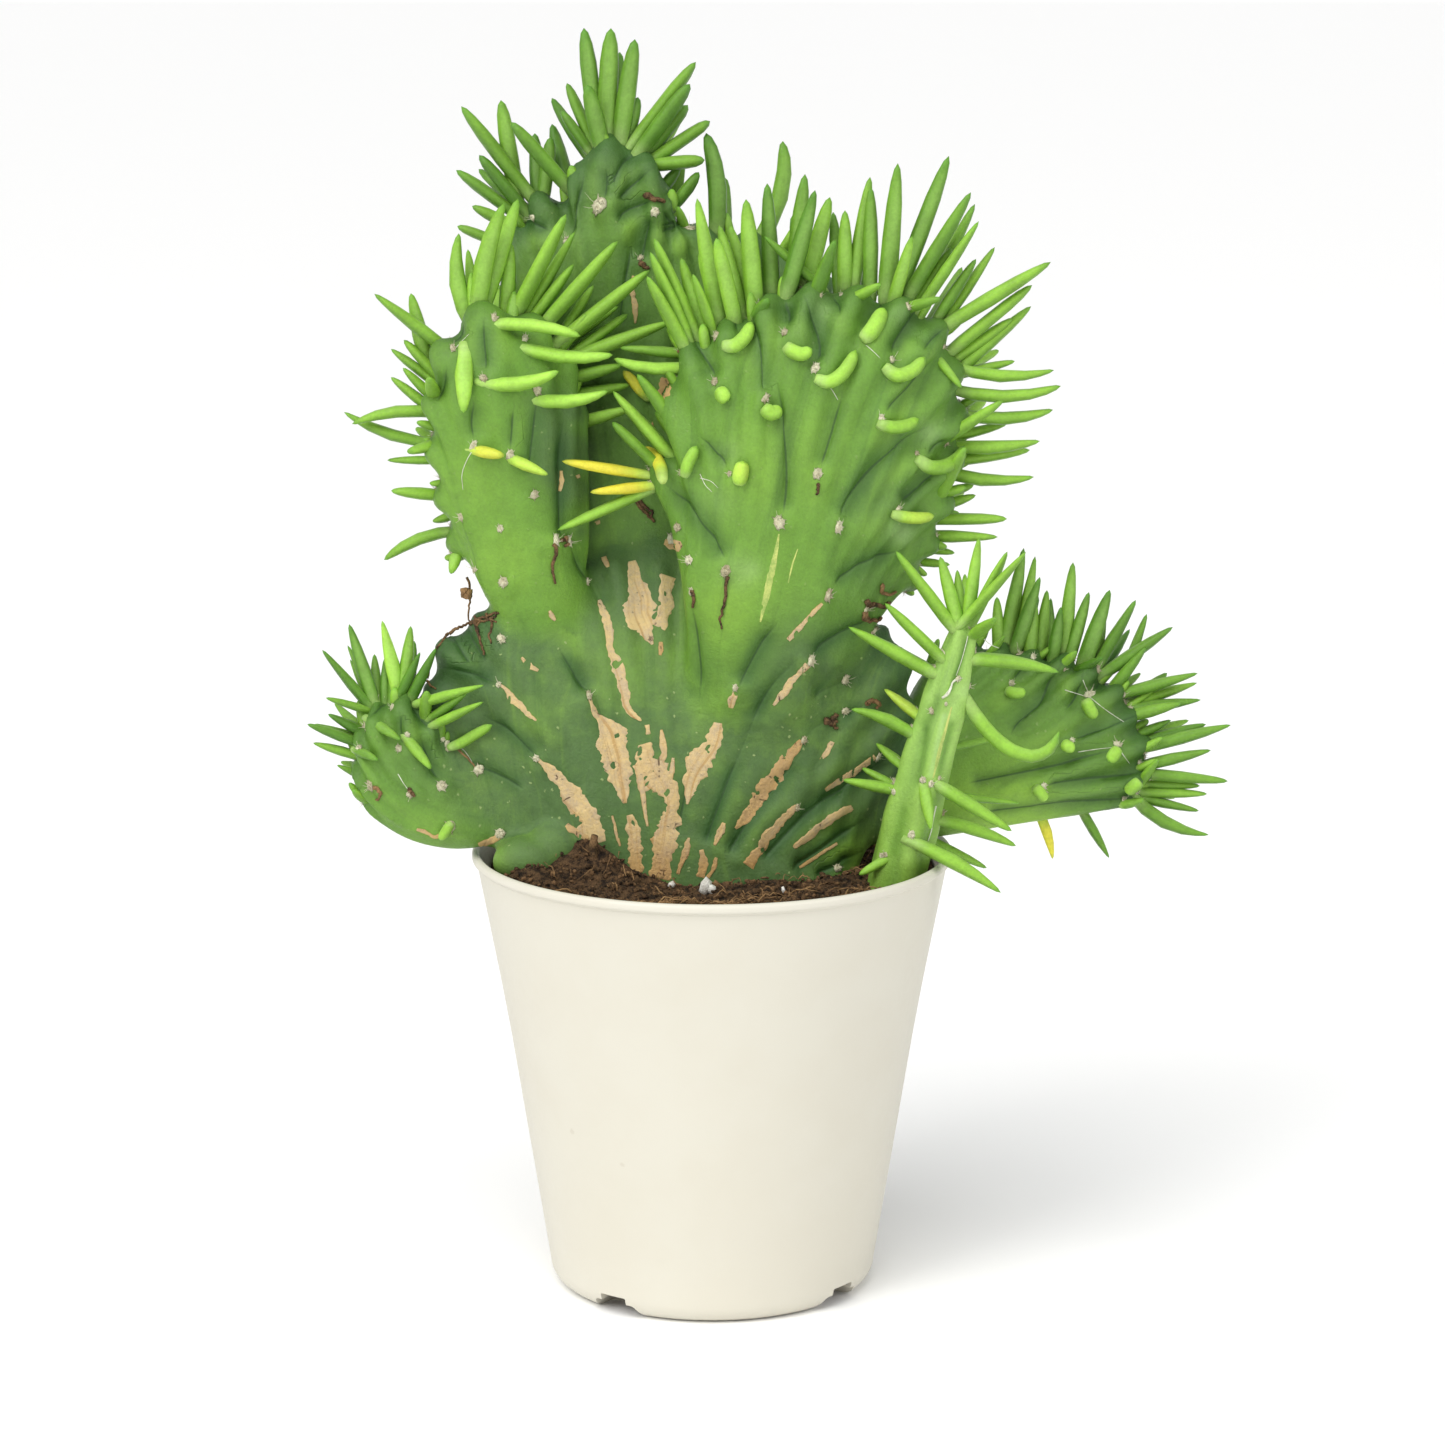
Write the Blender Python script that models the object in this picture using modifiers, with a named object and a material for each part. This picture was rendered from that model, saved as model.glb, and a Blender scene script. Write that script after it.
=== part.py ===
# A crested opuntia in a round plastic pot.
# The origin is the middle of the pot's foot, +Z is up, and the side that the photograph shows faces -Y.
# Sizes are in millimetres and become metres where a mesh is made.
import math
import random

import bmesh
import bpy
import numpy as np
from mathutils import Matrix, Vector
from mathutils.bvhtree import BVHTree

MM = 0.001
GAP = 0.35  # between one solid and the next

# Pot: a thin tapered shell with a beaded rim and four drain notches in the foot
POT_HEIGHT = 101.6
RIM_RADIUS = 54.6
SHOULDER_HEIGHT = 65.5
SHOULDER_RADIUS = 47.1
FOOT_RADIUS = 37.4
FOOT_ROUND = 5.0
WALL = 1.5
FLOOR = 2.0
FLOOR_ROUND = 4.5
BEAD_HEIGHT = 2.2
BEAD_PROUD = 0.6
POT_SIDES = 36
NOTCH_ANGLES = (-37, 53, 143, 233)  # degrees from the front towards +X
NOTCH_SIZE = (14.0, 17.0, 6.0)  # along its spoke, across it, and twice its rise
NOTCH_TOP_SHARE = 0.62  # width of a notch at its top
DRAIN_SIZE = (12.0, 7.0, 3.2)
NOTCH_PLACE = 34.5  # from the axis to the middle of a notch

# Potting mix
SOIL_LEVEL = 96.5
SOIL_RINGS = (14, 25, 34, 43)  # radii of the points on its surface
MOUND_PLACE = (-28, -13)
MOUND_HEIGHT = 7.0
MOUND_WIDTH = 12.0

# Each fan of the crest is a thick curved sheet. It runs from a root line to a crest line, past a waist
# line halfway, and its guide points go along each line. half_thick is half its thickness at the three.
LOW_FAN = {
    "root": ((-27, -2, 67), (-10, -2, 64), (10, -2, 64), (27, 1, 66)),
    "waist": (
        (-45, -4, 98), (-44, -4, 108), (-39, -3, 119), (-32, -3, 128), (-24, -1, 131), (-10, 0, 132),
        (6, -1, 131), (18, -1, 124), (24, 0, 115), (29, 1, 105), (32, 3, 95),
    ),
    "edge": (
        (-59, -4, 110), (-64, -4, 119), (-65, -4, 130), (-64, -4, 141), (-60, -3, 150), (-48, 0, 157),
        (-36, 5, 160), (-24, 11, 170), (-8, 13, 174), (8, 12, 168), (22, 5, 154), (32, 2, 152),
        (40, 0, 152), (45, 0, 141), (44, 1, 126), (41, 3, 104),
    ),
    "half_thick": (13, 11, 6.5),
    "folds": 18,
}
BACK_FAN = {
    "root": ((-14, 4, 68), (0, 6, 67), (14, 6, 68)),
    "waist": (
        (-30, 11, 162), (-30, 13, 180), (-23, 15, 194), (-14, 15, 197), (-4, 16, 195), (7, 18, 187),
        (16, 19, 168),
    ),
    "edge": (
        (-38, 20, 201), (-44, 20, 224), (-45, 20, 240), (-40, 20, 247), (-33, 20, 248), (-29, 20, 257),
        (-22, 20, 261), (-15, 20, 257), (-11, 20, 246), (-2, 20, 240), (11, 22, 238), (25, 24, 230),
        (31, 24, 211),
    ),
    "half_thick": (12, 9, 6.5),
    "folds": 14,
}
RIGHT_FAN = {
    "root": ((-3, 1, 108), (3, 0, 105), (10, 0, 105), (17, 1, 110)),
    "waist": (
        (-6, -7, 163), (0, -10, 176), (8, -11, 185), (18, -11, 188), (27, -10, 184), (32, -7, 171),
        (35, -2, 153),
    ),
    "edge": (
        (-16, -8, 187), (-5, -8, 198), (-6, -9, 217), (5, -8, 223), (19, -6, 229), (35, -5, 228),
        (49, -4, 223), (55, -2, 205), (53, 0, 184), (43, 3, 158),
    ),
    "half_thick": (6.5, 9.5, 6.5),
    "folds": 16,
}
LEFT_FAN = {
    "root": ((-44, 0, 134), (-39, 1, 130), (-34, 2, 130), (-29, 3, 134)),
    "waist": ((-50, -2, 162), (-53, -4, 182), (-49, -6, 194), (-43, -6, 196), (-37, -3, 189), (-33, 2, 172)),
    "edge": (
        (-57, -1, 167), (-61, -3, 186), (-62, -4, 202), (-59, -4, 216), (-52, -2, 223), (-44, 1, 221),
        (-37, 4, 214), (-33, 5, 201), (-33, 5, 185),
    ),
    "half_thick": (5.5, 9.5, 6),
    "folds": 10,
}
LOW_LEFT_FAN = {
    "root": ((-41, -5, 105), (-42, -4, 108), (-43, -3, 111), (-44, -2, 114)),
    "waist": ((-62, -7, 104), (-66, -8, 110), (-66, -8, 117), (-62, -7, 120), (-55, -4, 117)),
    "edge": (
        (-77, -8, 111), (-80, -8, 121), (-78, -8, 133), (-73, -8, 138), (-66, -8, 138), (-62, -7, 132),
        (-61, -6, 123),
    ),
    "half_thick": (6, 7, 5),
    "folds": 7,
}
LOW_RIGHT_FAN = {
    "root": ((30, 5, 115), (33, 5, 110), (35, 5, 105), (36, 5, 101)),
    "waist": ((41, 9, 128), (52, 10, 131), (63, 9, 128), (70, 8, 121), (70, 6, 112), (64, 6, 105)),
    "edge": (
        (49, 13, 143), (62, 13, 146), (74, 12, 144), (86, 12, 141), (94, 11, 135), (99, 10, 125),
        (100, 9, 115), (95, 8, 108),
    ),
    "half_thick": (6, 7.5, 5.5),
    "folds": 11,
}
FAN_ROWS = (0, 0.26, 0.5, 0.72, 0.88, 0.965, 1)
FOLD_DEPTH = 0.9
SCALLOP = 0.8  # how far the crest line stands out between two folds
EDGE_ROUND_FROM = 0.86  # share of the way to the crest where the edge begins to round

# Round stem that stands by itself at the front right
STEM_AXIS = (
    (35, -12, 68), (40, -14, 91), (43, -15, 106), (47, -16, 121), (51, -17, 136), (54, -18, 148),
    (56, -18, 155),
)
STEM_RADII = (5.8, 6.4, 6.3, 6.1, 5.5, 4.6, 2.6)
STEM_RINGS = 12
STEM_LOBES = 0.05  # how much the leaf cushions swell it, as a share of its radius
STEM_TIP = ((56.2, -18, 156.2), 1.2)  # centre and radius of the end of its dome

# Leaves: fleshy tapered pegs
LEAF_SIDES = 4
LEAF_SECTIONS = ((0.0, 0.75), (0.36, 1.1), (0.8, 0.85))  # share of the length, share of the radius
LEAF_SINK = 2.4  # how deep a root sits in what it grows from
LEAF_CLEARANCE = 0.35  # to anything but the leaf's own node
TRIES = 9
SHIFTS = (0, 1.5, -1.5, 3, -3, 4.5, -4.5, 6, 8, -7)  # how far a leaf's tip may move back to come clear
PRESS = 0.45  # how close leaves of one node may come, as a share of their two radii
LEAN = 0.5  # how far a row on one side of a crest leans off its plane
SCATTER = 0.15  # random share of that lean
SWAY = 0.2  # random lean along the crest
FOLLOW = 0.2  # share of a fan's own outward direction, the rest being square to its crest
SAG = 0.1  # upward curve of a leaf towards its tip
RAY = Vector((0.31, 0.17, 0.935))  # used to tell inside from outside

# Row of leaves along the back of each crest, which the photograph hides. place is where it runs across the
# thickness, from 1 at the front to -1 at the back. lift turns the leaves upwards.
CREST_LEAVES = {
    "crest_main": {
        "fan": BACK_FAN, "span": (0.04, 0.74), "spacing": 10.5, "place": -0.8,
        "lengths": (13, 15, 17, 18, 19, 18, 15, 12), "radius": 1.9, "lift": 0.1,
    },
    "crest_right": {
        "fan": RIGHT_FAN, "span": (0.03, 0.97), "spacing": 10.5, "place": -0.8,
        "lengths": (12, 15, 18, 19, 20, 21, 21, 19, 17, 15, 13), "radius": 1.85, "lift": 0.05,
    },
    "crest_left": {
        "fan": LEFT_FAN, "span": (0.2, 0.97), "spacing": 10.5, "place": -0.8,
        "lengths": (10, 13, 16, 19, 20, 19, 16), "radius": 1.8, "lift": 0.1,
    },
    "crest_low_left": {
        "fan": LOW_LEFT_FAN, "span": (0.08, 0.9), "spacing": 8.5, "place": -0.8,
        "lengths": (8, 11, 13, 13, 11), "radius": 1.4, "lift": 0.1,
    },
    "crest_low_right": {
        "fan": LOW_RIGHT_FAN, "span": (0.06, 0.97), "spacing": 9.5, "place": -0.8,
        "lengths": (13, 15, 16, 16, 15, 14), "radius": 1.65, "lift": 0.05,
    },
}
# Leaves that the photograph shows: each has its root, its tip, its radius and how far its middle bows off the
# straight line between them, in the plane of the picture
SEEN_LEAVES = {
    "crest_right": (
        (-5.8, -12.7, 217.3, -14.1, -17.7, 233.6, 1.7, 0),
        (-4.8, -11.3, 217.7, -13.4, -15.3, 238.6, 1.8, 0), (-3, -10.1, 218.4, -12.6, -12.1, 241.3, 1.9, 0),
        (-1.6, -8.4, 218.5, -6.7, -8.4, 236.6, 1.6, 0), (0.5, -12.1, 220, -4.1, -16.1, 233.9, 1.3, 0),
        (1.8, -9.8, 221.4, -3.2, -11.8, 250, 1.9, 0), (3.4, -8.1, 222.7, 0.5, -8.1, 239.8, 1.6, 0),
        (5.2, -11.7, 223, 1, -16.7, 241.8, 1.8, 0), (6.9, -8.2, 223.3, 1.6, -8.2, 243.8, 1.7, 0),
        (9.7, -7.3, 224.2, 4, -4.3, 243.4, 1.6, 0), (9.6, -9.7, 224.9, 7.5, -10.7, 249.7, 2.1, 0),
        (13.3, -6.4, 226.9, 12.2, -4.4, 252.6, 1.9, 0), (15.7, -7.8, 227.7, 11.5, -9.8, 241.5, 1.4, -3.5),
        (17.5, -6.1, 227.1, 20.5, -5.1, 254.7, 2, 0), (16.3, -9.1, 227.8, 22.6, -12.1, 251.8, 2, 0),
        (20.3, -5.8, 228.8, 26, -4.8, 249.6, 2, 0), (19.2, -10, 227.7, 26.9, -15, 241.2, 1.8, -1.4),
        (28.4, -4.2, 226.7, 26.8, -1.2, 246, 1.5, 0), (29.4, -5.7, 227.9, 29.3, -5.7, 246.8, 1.7, 0),
        (32, -3.3, 227.1, 30.8, -0.3, 238.6, 1.4, 0), (31, -5.1, 228.6, 34.9, -2.1, 253.8, 1.7, 0),
        (35, -5.9, 227.5, 34.9, -6.9, 252, 1.7, 0), (38.4, -7.2, 226.8, 40.7, -9.2, 257.4, 2.1, 0),
        (40.4, -5.4, 226.5, 52.1, -4.4, 258.6, 1.9, 0), (39.9, -8.9, 226.9, 43.8, -12.9, 241.8, 1.5, 0),
        (42.6, -6.5, 226.6, 56.8, -8.5, 251, 2.1, 0), (45.7, -4.5, 224.1, 58.1, -1.5, 247.8, 1.7, 0),
        (44.3, -5.1, 225.1, 52.9, -5.1, 238.6, 1.7, 0), (45.2, -6.7, 224.1, 58.6, -8.7, 244.7, 1.6, 0),
        (49.3, -4.8, 222, 58.3, -4.8, 236, 1.7, 0), (51.1, -3.7, 221.3, 62.7, 0.3, 238.1, 1.5, 0),
        (50, -5.5, 220.3, 74.6, -7.5, 235.6, 2, 0), (52.4, -4.4, 215.1, 70.7, -5.4, 230.3, 1.8, 0),
        (53.6, -3.1, 213.3, 66.7, -3.1, 222.7, 1.6, 0), (54.3, -2.7, 210.7, 70.8, -1.7, 225.2, 1.8, 0),
        (42.3, -9, 225.4, 50.1, -15, 228.5, 1.6, 0), (28.9, -9.7, 226.4, 37, -15.7, 231.7, 1.6, 0),
        (48, -7.7, 216.4, 55, -13.7, 208.5, 1.3, 0), (54.4, -4, 211.7, 75.8, -6, 211.5, 1.7, -2),
        (53.8, -3.5, 206.7, 77.4, -5.5, 207.9, 1.8, -2.3), (54.3, -2.7, 210, 67.5, 0.3, 212.7, 1.4, 0),
        (54.7, -1.4, 202.4, 60.8, -1.4, 206, 1.3, 0), (48.4, -6.2, 203.1, 64.2, -12.2, 205.5, 1.7, -3.4),
        (55.7, -2.4, 201, 75.9, -3.4, 202.3, 1.8, -1.7), (52.3, -0.2, 195.3, 66, 1.8, 198.4, 1.5, 0),
        (52, -2.2, 194, 73, -4.2, 195.4, 1.9, -1.1), (53.7, -0.2, 190.3, 71.1, -0.2, 192.8, 1.7, 0),
        (45.7, -4.8, 191.5, 55.9, -11.8, 195.4, 1.7, -4.4),
        (50.9, -1.6, 188.5, 71.9, -2.6, 187.1, 1.8, -1.9), (48.9, 1.2, 181.7, 58.7, 1.2, 184.7, 1.6, 0),
        (48.9, -0.2, 179.2, 59.1, -0.2, 182.6, 1.5, 0), (47.8, -0.3, 177.2, 66.1, -1.3, 177.4, 1.7, 0),
        (46, 0.2, 173.3, 64.1, -0.8, 173.2, 1.7, 0), (40, -14.4, 180.8, 49, -20.4, 180.9, 1.7, 0),
        (43.4, 2.5, 170.8, 54.7, 2.5, 169, 1.4, 0), (43, 1.3, 167.6, 53.5, 0.3, 166.7, 1.3, 0),
        (40.3, 2.2, 163.7, 46.8, 1.2, 161.7, 1.3, 0), (1.8, -15.4, 219.1, 9, -21.4, 224.4, 1.9, -2),
        (16.5, -17.1, 219.8, 22.1, -22.1, 217.5, 1.8, 0), (23, -19.4, 211.7, 31.3, -25.4, 218.4, 1.9, -2.2),
        (32.9, -15.9, 219.2, 37.2, -21.9, 227.1, 2, 0), (38.2, -16.2, 213.5, 46.4, -22.2, 216.2, 1.8, -2.4),
        (36.2, -18.5, 201.7, 45.4, -24.5, 203.2, 1.7, 0), (11.2, -20.1, 205.2, 15.3, -25.1, 206.1, 1.8, 0),
        (0.9, -17.7, 209.1, 4, -23.7, 207.2, 1.9, 0), (-6.3, -16.7, 189.9, -3.2, -20.7, 196.5, 1.7, 0),
        (4.7, -20.1, 189.1, 6.4, -25.1, 194, 1.8, 0), (-11.4, -12.1, 187.6, -14.7, -16.1, 195.1, 1.6, 0),
        (10.1, -13.7, 224.9, 12.3, -17.7, 228.6, 1.6, 0), (-13.7, -8.5, 188.3, -33.1, -11.5, 192.2, 1.5, 0),
        (-13, -9.2, 186.1, -26.9, -13.2, 185.3, 1.5, 0), (-13.6, -8.6, 185.2, -34.2, -9.6, 176.7, 1.6, 0),
        (-12.2, -8.9, 190.6, -22, -10.9, 200.6, 1.6, 0), (-8.5, -7.2, 191.7, -21.9, -7.2, 207, 1.9, 0),
        (-5.3, -9.7, 196.4, -16.4, -13.7, 211.6, 2.1, 0), (-5.5, -10, 212.7, -21.5, -13, 214.9, 1.7, 1.6),
        (-4.4, -7.2, 215.1, -20.3, -7.2, 216.6, 1.5, 0), (-4.7, -8.8, 205.6, -12.6, -8.8, 205.2, 1.3, 0),
        (-9.8, -10.8, 206, -19.7, -11.8, 212, 1.3, 0),
    ),
    "crest_left": (
        (-53.7, -3.3, 221.7, -55.8, -3.3, 241.5, 1.8, 2), (-52.5, -1.6, 222.9, -54.1, 1.4, 237.5, 1.4, 0),
        (-52.6, -3.3, 223.4, -53.2, -3.3, 232.9, 1.4, 0),
        (-51.7, -3.7, 223.5, -45.6, -5.7, 248.4, 2.1, 1.5),
        (-48.9, -1.3, 222.2, -42.8, -0.3, 248.8, 1.9, 1), (-45.9, -0.5, 221.5, -44.5, 1.5, 238.9, 1.7, 0),
        (-44.3, -0.9, 221.9, -32.1, -2.9, 245.7, 2.1, 0), (-42.5, 1, 220.8, -30.4, 3, 241.2, 1.7, 0),
        (-42, 1.3, 220.7, -35.1, 4.3, 232.6, 1.4, 0), (-40.6, 0.4, 221.1, -30.6, 0.4, 234.3, 1.7, 0),
        (-38.3, -0.3, 219.6, -20.7, -2.3, 239.7, 2.1, 0), (-35.7, 1.3, 215.2, -26.3, 4.3, 229.2, 1.5, 0),
        (-35.3, 0.3, 215.9, -13.7, -0.7, 233.1, 2, 0), (-34.1, 0.8, 214.8, -27.5, -1.2, 223.6, 1.6, 0),
        (-36.9, 2.8, 214.3, -20.9, 2.8, 224.3, 1.7, 0), (-32.6, 2.2, 212.9, -18.7, 3.2, 222.9, 1.6, 0),
        (-32, 1.8, 213, -9.1, 0.8, 221.4, 1.9, 0), (-48.1, -11.1, 222.3, -28.6, -17.1, 220.4, 1.8, 1.2),
        (-41.8, -10.5, 217, -21.6, -16.5, 216.2, 1.9, -1.6),
        (-49.5, -14.9, 209.6, -33.3, -20.9, 213.2, 2, -1.7),
        (-39.1, -12.7, 205.7, -22.7, -18.7, 208.5, 1.9, -1.6),
        (-35, 4.5, 199.4, -17.6, 0.5, 202.2, 1.8, -1.1), (-34.7, 3.9, 207.5, -20, 1.9, 211.6, 1.9, 0),
        (-34.2, 4.6, 203.8, -18.3, 4.6, 206.8, 1.8, 0), (-52.3, -15.4, 195, -45.5, -20.4, 194.5, 1.6, 0),
        (-44.2, -15.5, 193.1, -35.9, -20.5, 190.3, 1.6, 0),
        (-57.1, -12.6, 215.7, -54.3, -17.6, 203.8, 1.9, 1.3),
        (-58, -4.8, 215.4, -74.4, -6.8, 228.5, 1.8, 0), (-58.1, -2.8, 215.6, -66.6, -2.8, 228.2, 1.7, 2.6),
        (-60.3, -4.3, 209.5, -68.2, -4.3, 218, 1.6, 0), (-60.4, -3.8, 207.8, -71.2, -2.8, 215.8, 1.5, 0),
        (-61.4, -4.9, 204.7, -68.4, -5.9, 212, 1.4, 0), (-61.7, -4.3, 202.1, -71.2, -4.3, 209.7, 1.5, 0),
        (-61, -7.9, 205.1, -62, -11.9, 211.2, 1.7, 0), (-61.9, -4.9, 202, -79.8, -6.9, 199.6, 1.7, -1.7),
        (-61.9, -3.5, 194.8, -81.8, -3.5, 201.8, 1.6, 1.7),
        (-60.1, -7.1, 195.4, -67.3, -12.1, 194.1, 1.7, 0), (-60.9, -2.8, 190.9, -72.4, -2.8, 190.9, 1.2, 0),
        (-60.9, -4, 183.2, -71.4, -6, 184.5, 1.7, 0), (-58.6, -2.8, 174.9, -73.4, -3.8, 168.5, 1.7, -1.6),
        (-55.5, -3.6, 171.4, -58.3, -6.6, 165.8, 1.5, -0.7),
    ),
    "crest_main": (
        (-39.9, 19.4, 246.4, -56.2, 18.4, 267.8, 2, 0), (-39.5, 19.9, 247.3, -47.4, 20.9, 269, 1.9, 1.8),
        (-32.2, 17, 249.6, -44.9, 14, 264.6, 2.1, 0), (-39.2, 21.7, 246.8, -40, 24.7, 261.3, 1.7, 0),
        (-38, 20.6, 247.1, -36.3, 22.6, 260.6, 1.6, 0), (-41.7, 19.4, 243.7, -52.3, 18.4, 256.9, 1.9, 0),
        (-42.7, 20, 242.5, -57.6, 20, 253.4, 1.8, 0), (-44.1, 19.2, 240.4, -54, 18.2, 245.5, 1.7, 0),
        (-45.1, 19.9, 235.9, -57.5, 19.9, 240.8, 1.5, 0), (-27.3, 19.8, 257.4, -33.9, 21.8, 266.5, 1.5, 0),
        (-26.2, 21.1, 257.5, -32.7, 25.1, 272.5, 1.7, 0), (-25.5, 19.9, 259.2, -28.7, 21.9, 285, 1.9, 0),
        (-24.6, 17.1, 258.6, -27.8, 13.1, 272.9, 2, 0), (-23.8, 19.5, 259.7, -22.6, 20.5, 285, 2.3, 0),
        (-22.5, 21.5, 259.6, -20.7, 24.5, 279.5, 1.8, 0), (-20.8, 19.2, 259.3, -17.2, 18.2, 282.7, 2.1, 0),
        (-19.5, 20.8, 258.5, -16.6, 21.8, 269.6, 1.6, 0), (-18.4, 19.8, 258.6, -3.6, 20.8, 277.5, 2, 0),
        (-16.4, 18.2, 257.4, -4.9, 16.2, 272.9, 2.3, 0), (-14.9, 20.7, 256.4, -5.4, 20.7, 267.9, 1.9, 0),
        (-14.4, 19.5, 255, -0.4, 19.5, 264.4, 1.9, 0), (-14.8, 18.8, 252.6, -1.6, 16.8, 255.9, 2, 0.9),
        (-13.1, 20.5, 246.9, -7.2, 20.5, 254, 1.8, 0), (-11, 19, 243.2, -2.9, 18, 253.1, 1.8, -0.6),
        (1, 20.4, 238.8, -1.3, 20.4, 261.7, 2.1, -1.6), (10.7, 23, 237.3, 16, 24, 259.6, 1.9, -2.8),
    ),
    "crest_low_left": (
        (-75.6, -8, 136.1, -81.1, -8, 154.7, 1.5, 0), (-76, -8.4, 135, -87.1, -9.4, 149.1, 1.4, 0),
        (-75.3, -7.9, 136.7, -81.9, -7.9, 149, 1.4, 0), (-75.1, -7.5, 136.4, -76, -6.5, 146.7, 1.3, 0),
        (-73.3, -7.5, 136.5, -73.5, -6.5, 146.4, 1.1, 0), (-75.7, -7.9, 135.7, -81.7, -7.9, 145.1, 1.2, 0),
        (-71.7, -7.7, 137, -71, -6.7, 147.4, 1.2, 0), (-70, -7.7, 137.8, -73.5, -7.7, 156, 1.6, 0),
        (-69.3, -8.1, 137.8, -67.3, -8.1, 154.3, 1.6, 0), (-70.1, -9, 137.7, -65.1, -11, 148.9, 1.4, 0),
        (-67.6, -9.3, 137.6, -61.5, -11.3, 149.9, 1.5, 0),
        (-66.7, -9.6, 136.6, -50.6, -13.6, 142.8, 1.5, 0),
        (-62.9, -10.6, 133.7, -54.5, -15.6, 140.5, 1.3, 0),
        (-62.2, -11.7, 132.4, -50.8, -17.7, 138.9, 1.4, 0),
        (-62.1, -4.8, 125.2, -49.5, -10.8, 132.2, 1.3, 0), (-76.1, -8.5, 134.8, -86.2, -9.5, 138.8, 1.2, 0),
        (-78.5, -8.7, 130.2, -86, -9.7, 134.5, 1.5, 0), (-79, -9.1, 127.7, -90.6, -11.1, 132.5, 1.5, 0),
        (-79.1, -7.6, 128.4, -89.2, -7.6, 131.8, 1.2, 0), (-79.5, -8.7, 124.7, -89.5, -9.7, 127.9, 1.4, 0),
        (-79.6, -8.7, 120.5, -84.2, -9.7, 122.8, 1.1, 0),
        (-78.7, -13.7, 126.7, -74.4, -17.7, 125.7, 1.3, 0),
        (-76.4, -12.7, 131.9, -69.2, -17.7, 130.3, 1.5, 0.9),
        (-69, -14.3, 127.5, -62.5, -18.3, 123.8, 1.5, 1.3),
    ),
    "crest_low_right": (
        (65.5, 12.8, 145.3, 64.9, 12.8, 157.1, 1.5, 0), (66.9, 13, 144.7, 70.9, 13, 168.4, 1.8, 0),
        (70, 13.3, 143.6, 73.6, 14.3, 166.3, 1.7, 0), (68.9, 11.1, 144.2, 74.4, 9.1, 162.4, 1.7, 0),
        (72.3, 11.3, 143.2, 73.7, 11.3, 156.2, 1.6, 0), (74.9, 12.8, 143.4, 76.3, 12.8, 158.7, 1.6, 0),
        (77.1, 13.3, 142.2, 77.3, 14.3, 156.6, 1.4, 0), (77.6, 10.4, 142.6, 79.2, 8.4, 155.6, 1.5, 0),
        (80.2, 12.4, 143, 82.1, 12.4, 165.2, 1.7, 0), (81.3, 11.9, 142.4, 85.8, 11.9, 158.4, 1.6, 0),
        (84.5, 11.3, 140.9, 90.4, 10.3, 159.2, 2, 0), (86.8, 12.8, 140.3, 89.7, 13.8, 153.4, 1.7, 0),
        (87.4, 11.7, 140.3, 96.5, 11.7, 156.6, 1.8, 0), (92.9, 12.4, 134.9, 99.4, 15.4, 152.7, 1.6, 0),
        (88.3, 11.3, 138.8, 104.9, 10.3, 150.6, 1.8, 0), (91.1, 10, 136, 98.8, 9, 146.2, 1.7, 0),
        (83.4, 8.6, 140.8, 88.5, 3.6, 144.9, 1.5, 0), (92.2, 12.4, 135.1, 98.6, 13.4, 138.1, 1.3, 0),
        (92.3, 10.7, 134.7, 110.7, 10.7, 140.1, 1.7, -0.1), (93.8, 12, 131.9, 111, 13, 137.1, 1.8, 0),
        (94.2, 10.7, 131.2, 111.7, 10.7, 133.6, 1.8, 0), (95.4, 8.9, 130.2, 106.8, 6.9, 133.6, 1.8, 0),
        (97.4, 10.1, 125.5, 104.9, 10.1, 129, 1.4, 0), (98, 10.7, 123.7, 113, 10.7, 127.9, 1.7, 0),
        (98.5, 9, 122.7, 118.4, 8, 128.3, 1.8, 0), (99, 8.6, 118.8, 113.9, 7.6, 122.5, 1.7, 0),
        (99, 8.3, 116.8, 117.9, 7.3, 115.3, 1.7, 0), (98.3, 9.5, 114.4, 111.8, 9.5, 113.7, 1.6, 0),
        (98, 8.7, 112.4, 113.4, 8.7, 112, 1.5, 0), (97.8, 8.7, 111.1, 111.6, 8.7, 108, 1.4, 0),
        (96.7, 7.1, 111.1, 113.6, 5.1, 103.2, 1.9, -2.3), (97.7, 5.5, 115.3, 101.3, 1.5, 121.8, 1.2, 0),
        (85.1, 7.3, 107.6, 91, 6.3, 97.5, 1.4, 0), (75.3, 7.5, 107.1, 78.1, 6.5, 97.2, 1.2, 0.6),
        (66.3, 4.3, 137.6, 71.4, 0.3, 137.3, 1.7, 0), (85.8, 4.2, 134.9, 87.4, 0.2, 131.1, 1.7, 0),
        (80.4, 2.2, 126, 82.1, -1.8, 124.1, 1.6, 0), (89.5, 2.8, 123.1, 91.9, -1.2, 122.6, 1.6, 0),
        (72.8, -0.2, 115.9, 75.3, -4.2, 113.7, 1.6, 0), (93.3, 2.7, 115.2, 96.2, -1.3, 114, 1.7, 0),
    ),
    "stem_front": (
        (53.8, -18.7, 155.2, 40.5, -20.7, 173.4, 1.8, 0), (54.8, -18.9, 155.7, 50.4, -21.9, 171.6, 1.6, 0),
        (55.4, -17.4, 156, 54.3, -15.4, 168.3, 1.4, 0), (55.9, -17.1, 155.9, 56.6, -13.1, 165.6, 1.3, 0),
        (56.4, -18, 155.8, 58.9, -18, 175.9, 1.5, 0), (57, -17.7, 155.8, 65, -16.7, 173.4, 1.5, 0),
        (57.6, -19.3, 154.7, 68.8, -25.3, 174, 1.5, 1.3), (57.8, -19.6, 154.3, 62.1, -23.6, 160.3, 1.6, 0),
        (51.4, -19, 148.5, 38.1, -22, 162, 1.7, 0), (49.8, -18.5, 145.2, 30.1, -20.5, 156.4, 2, 0),
        (56.9, -18.9, 148.9, 76.6, -22.9, 146.7, 2, 0.9), (55.7, -19.4, 139.4, 77.1, -24.4, 133.5, 2, -9.1),
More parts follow.
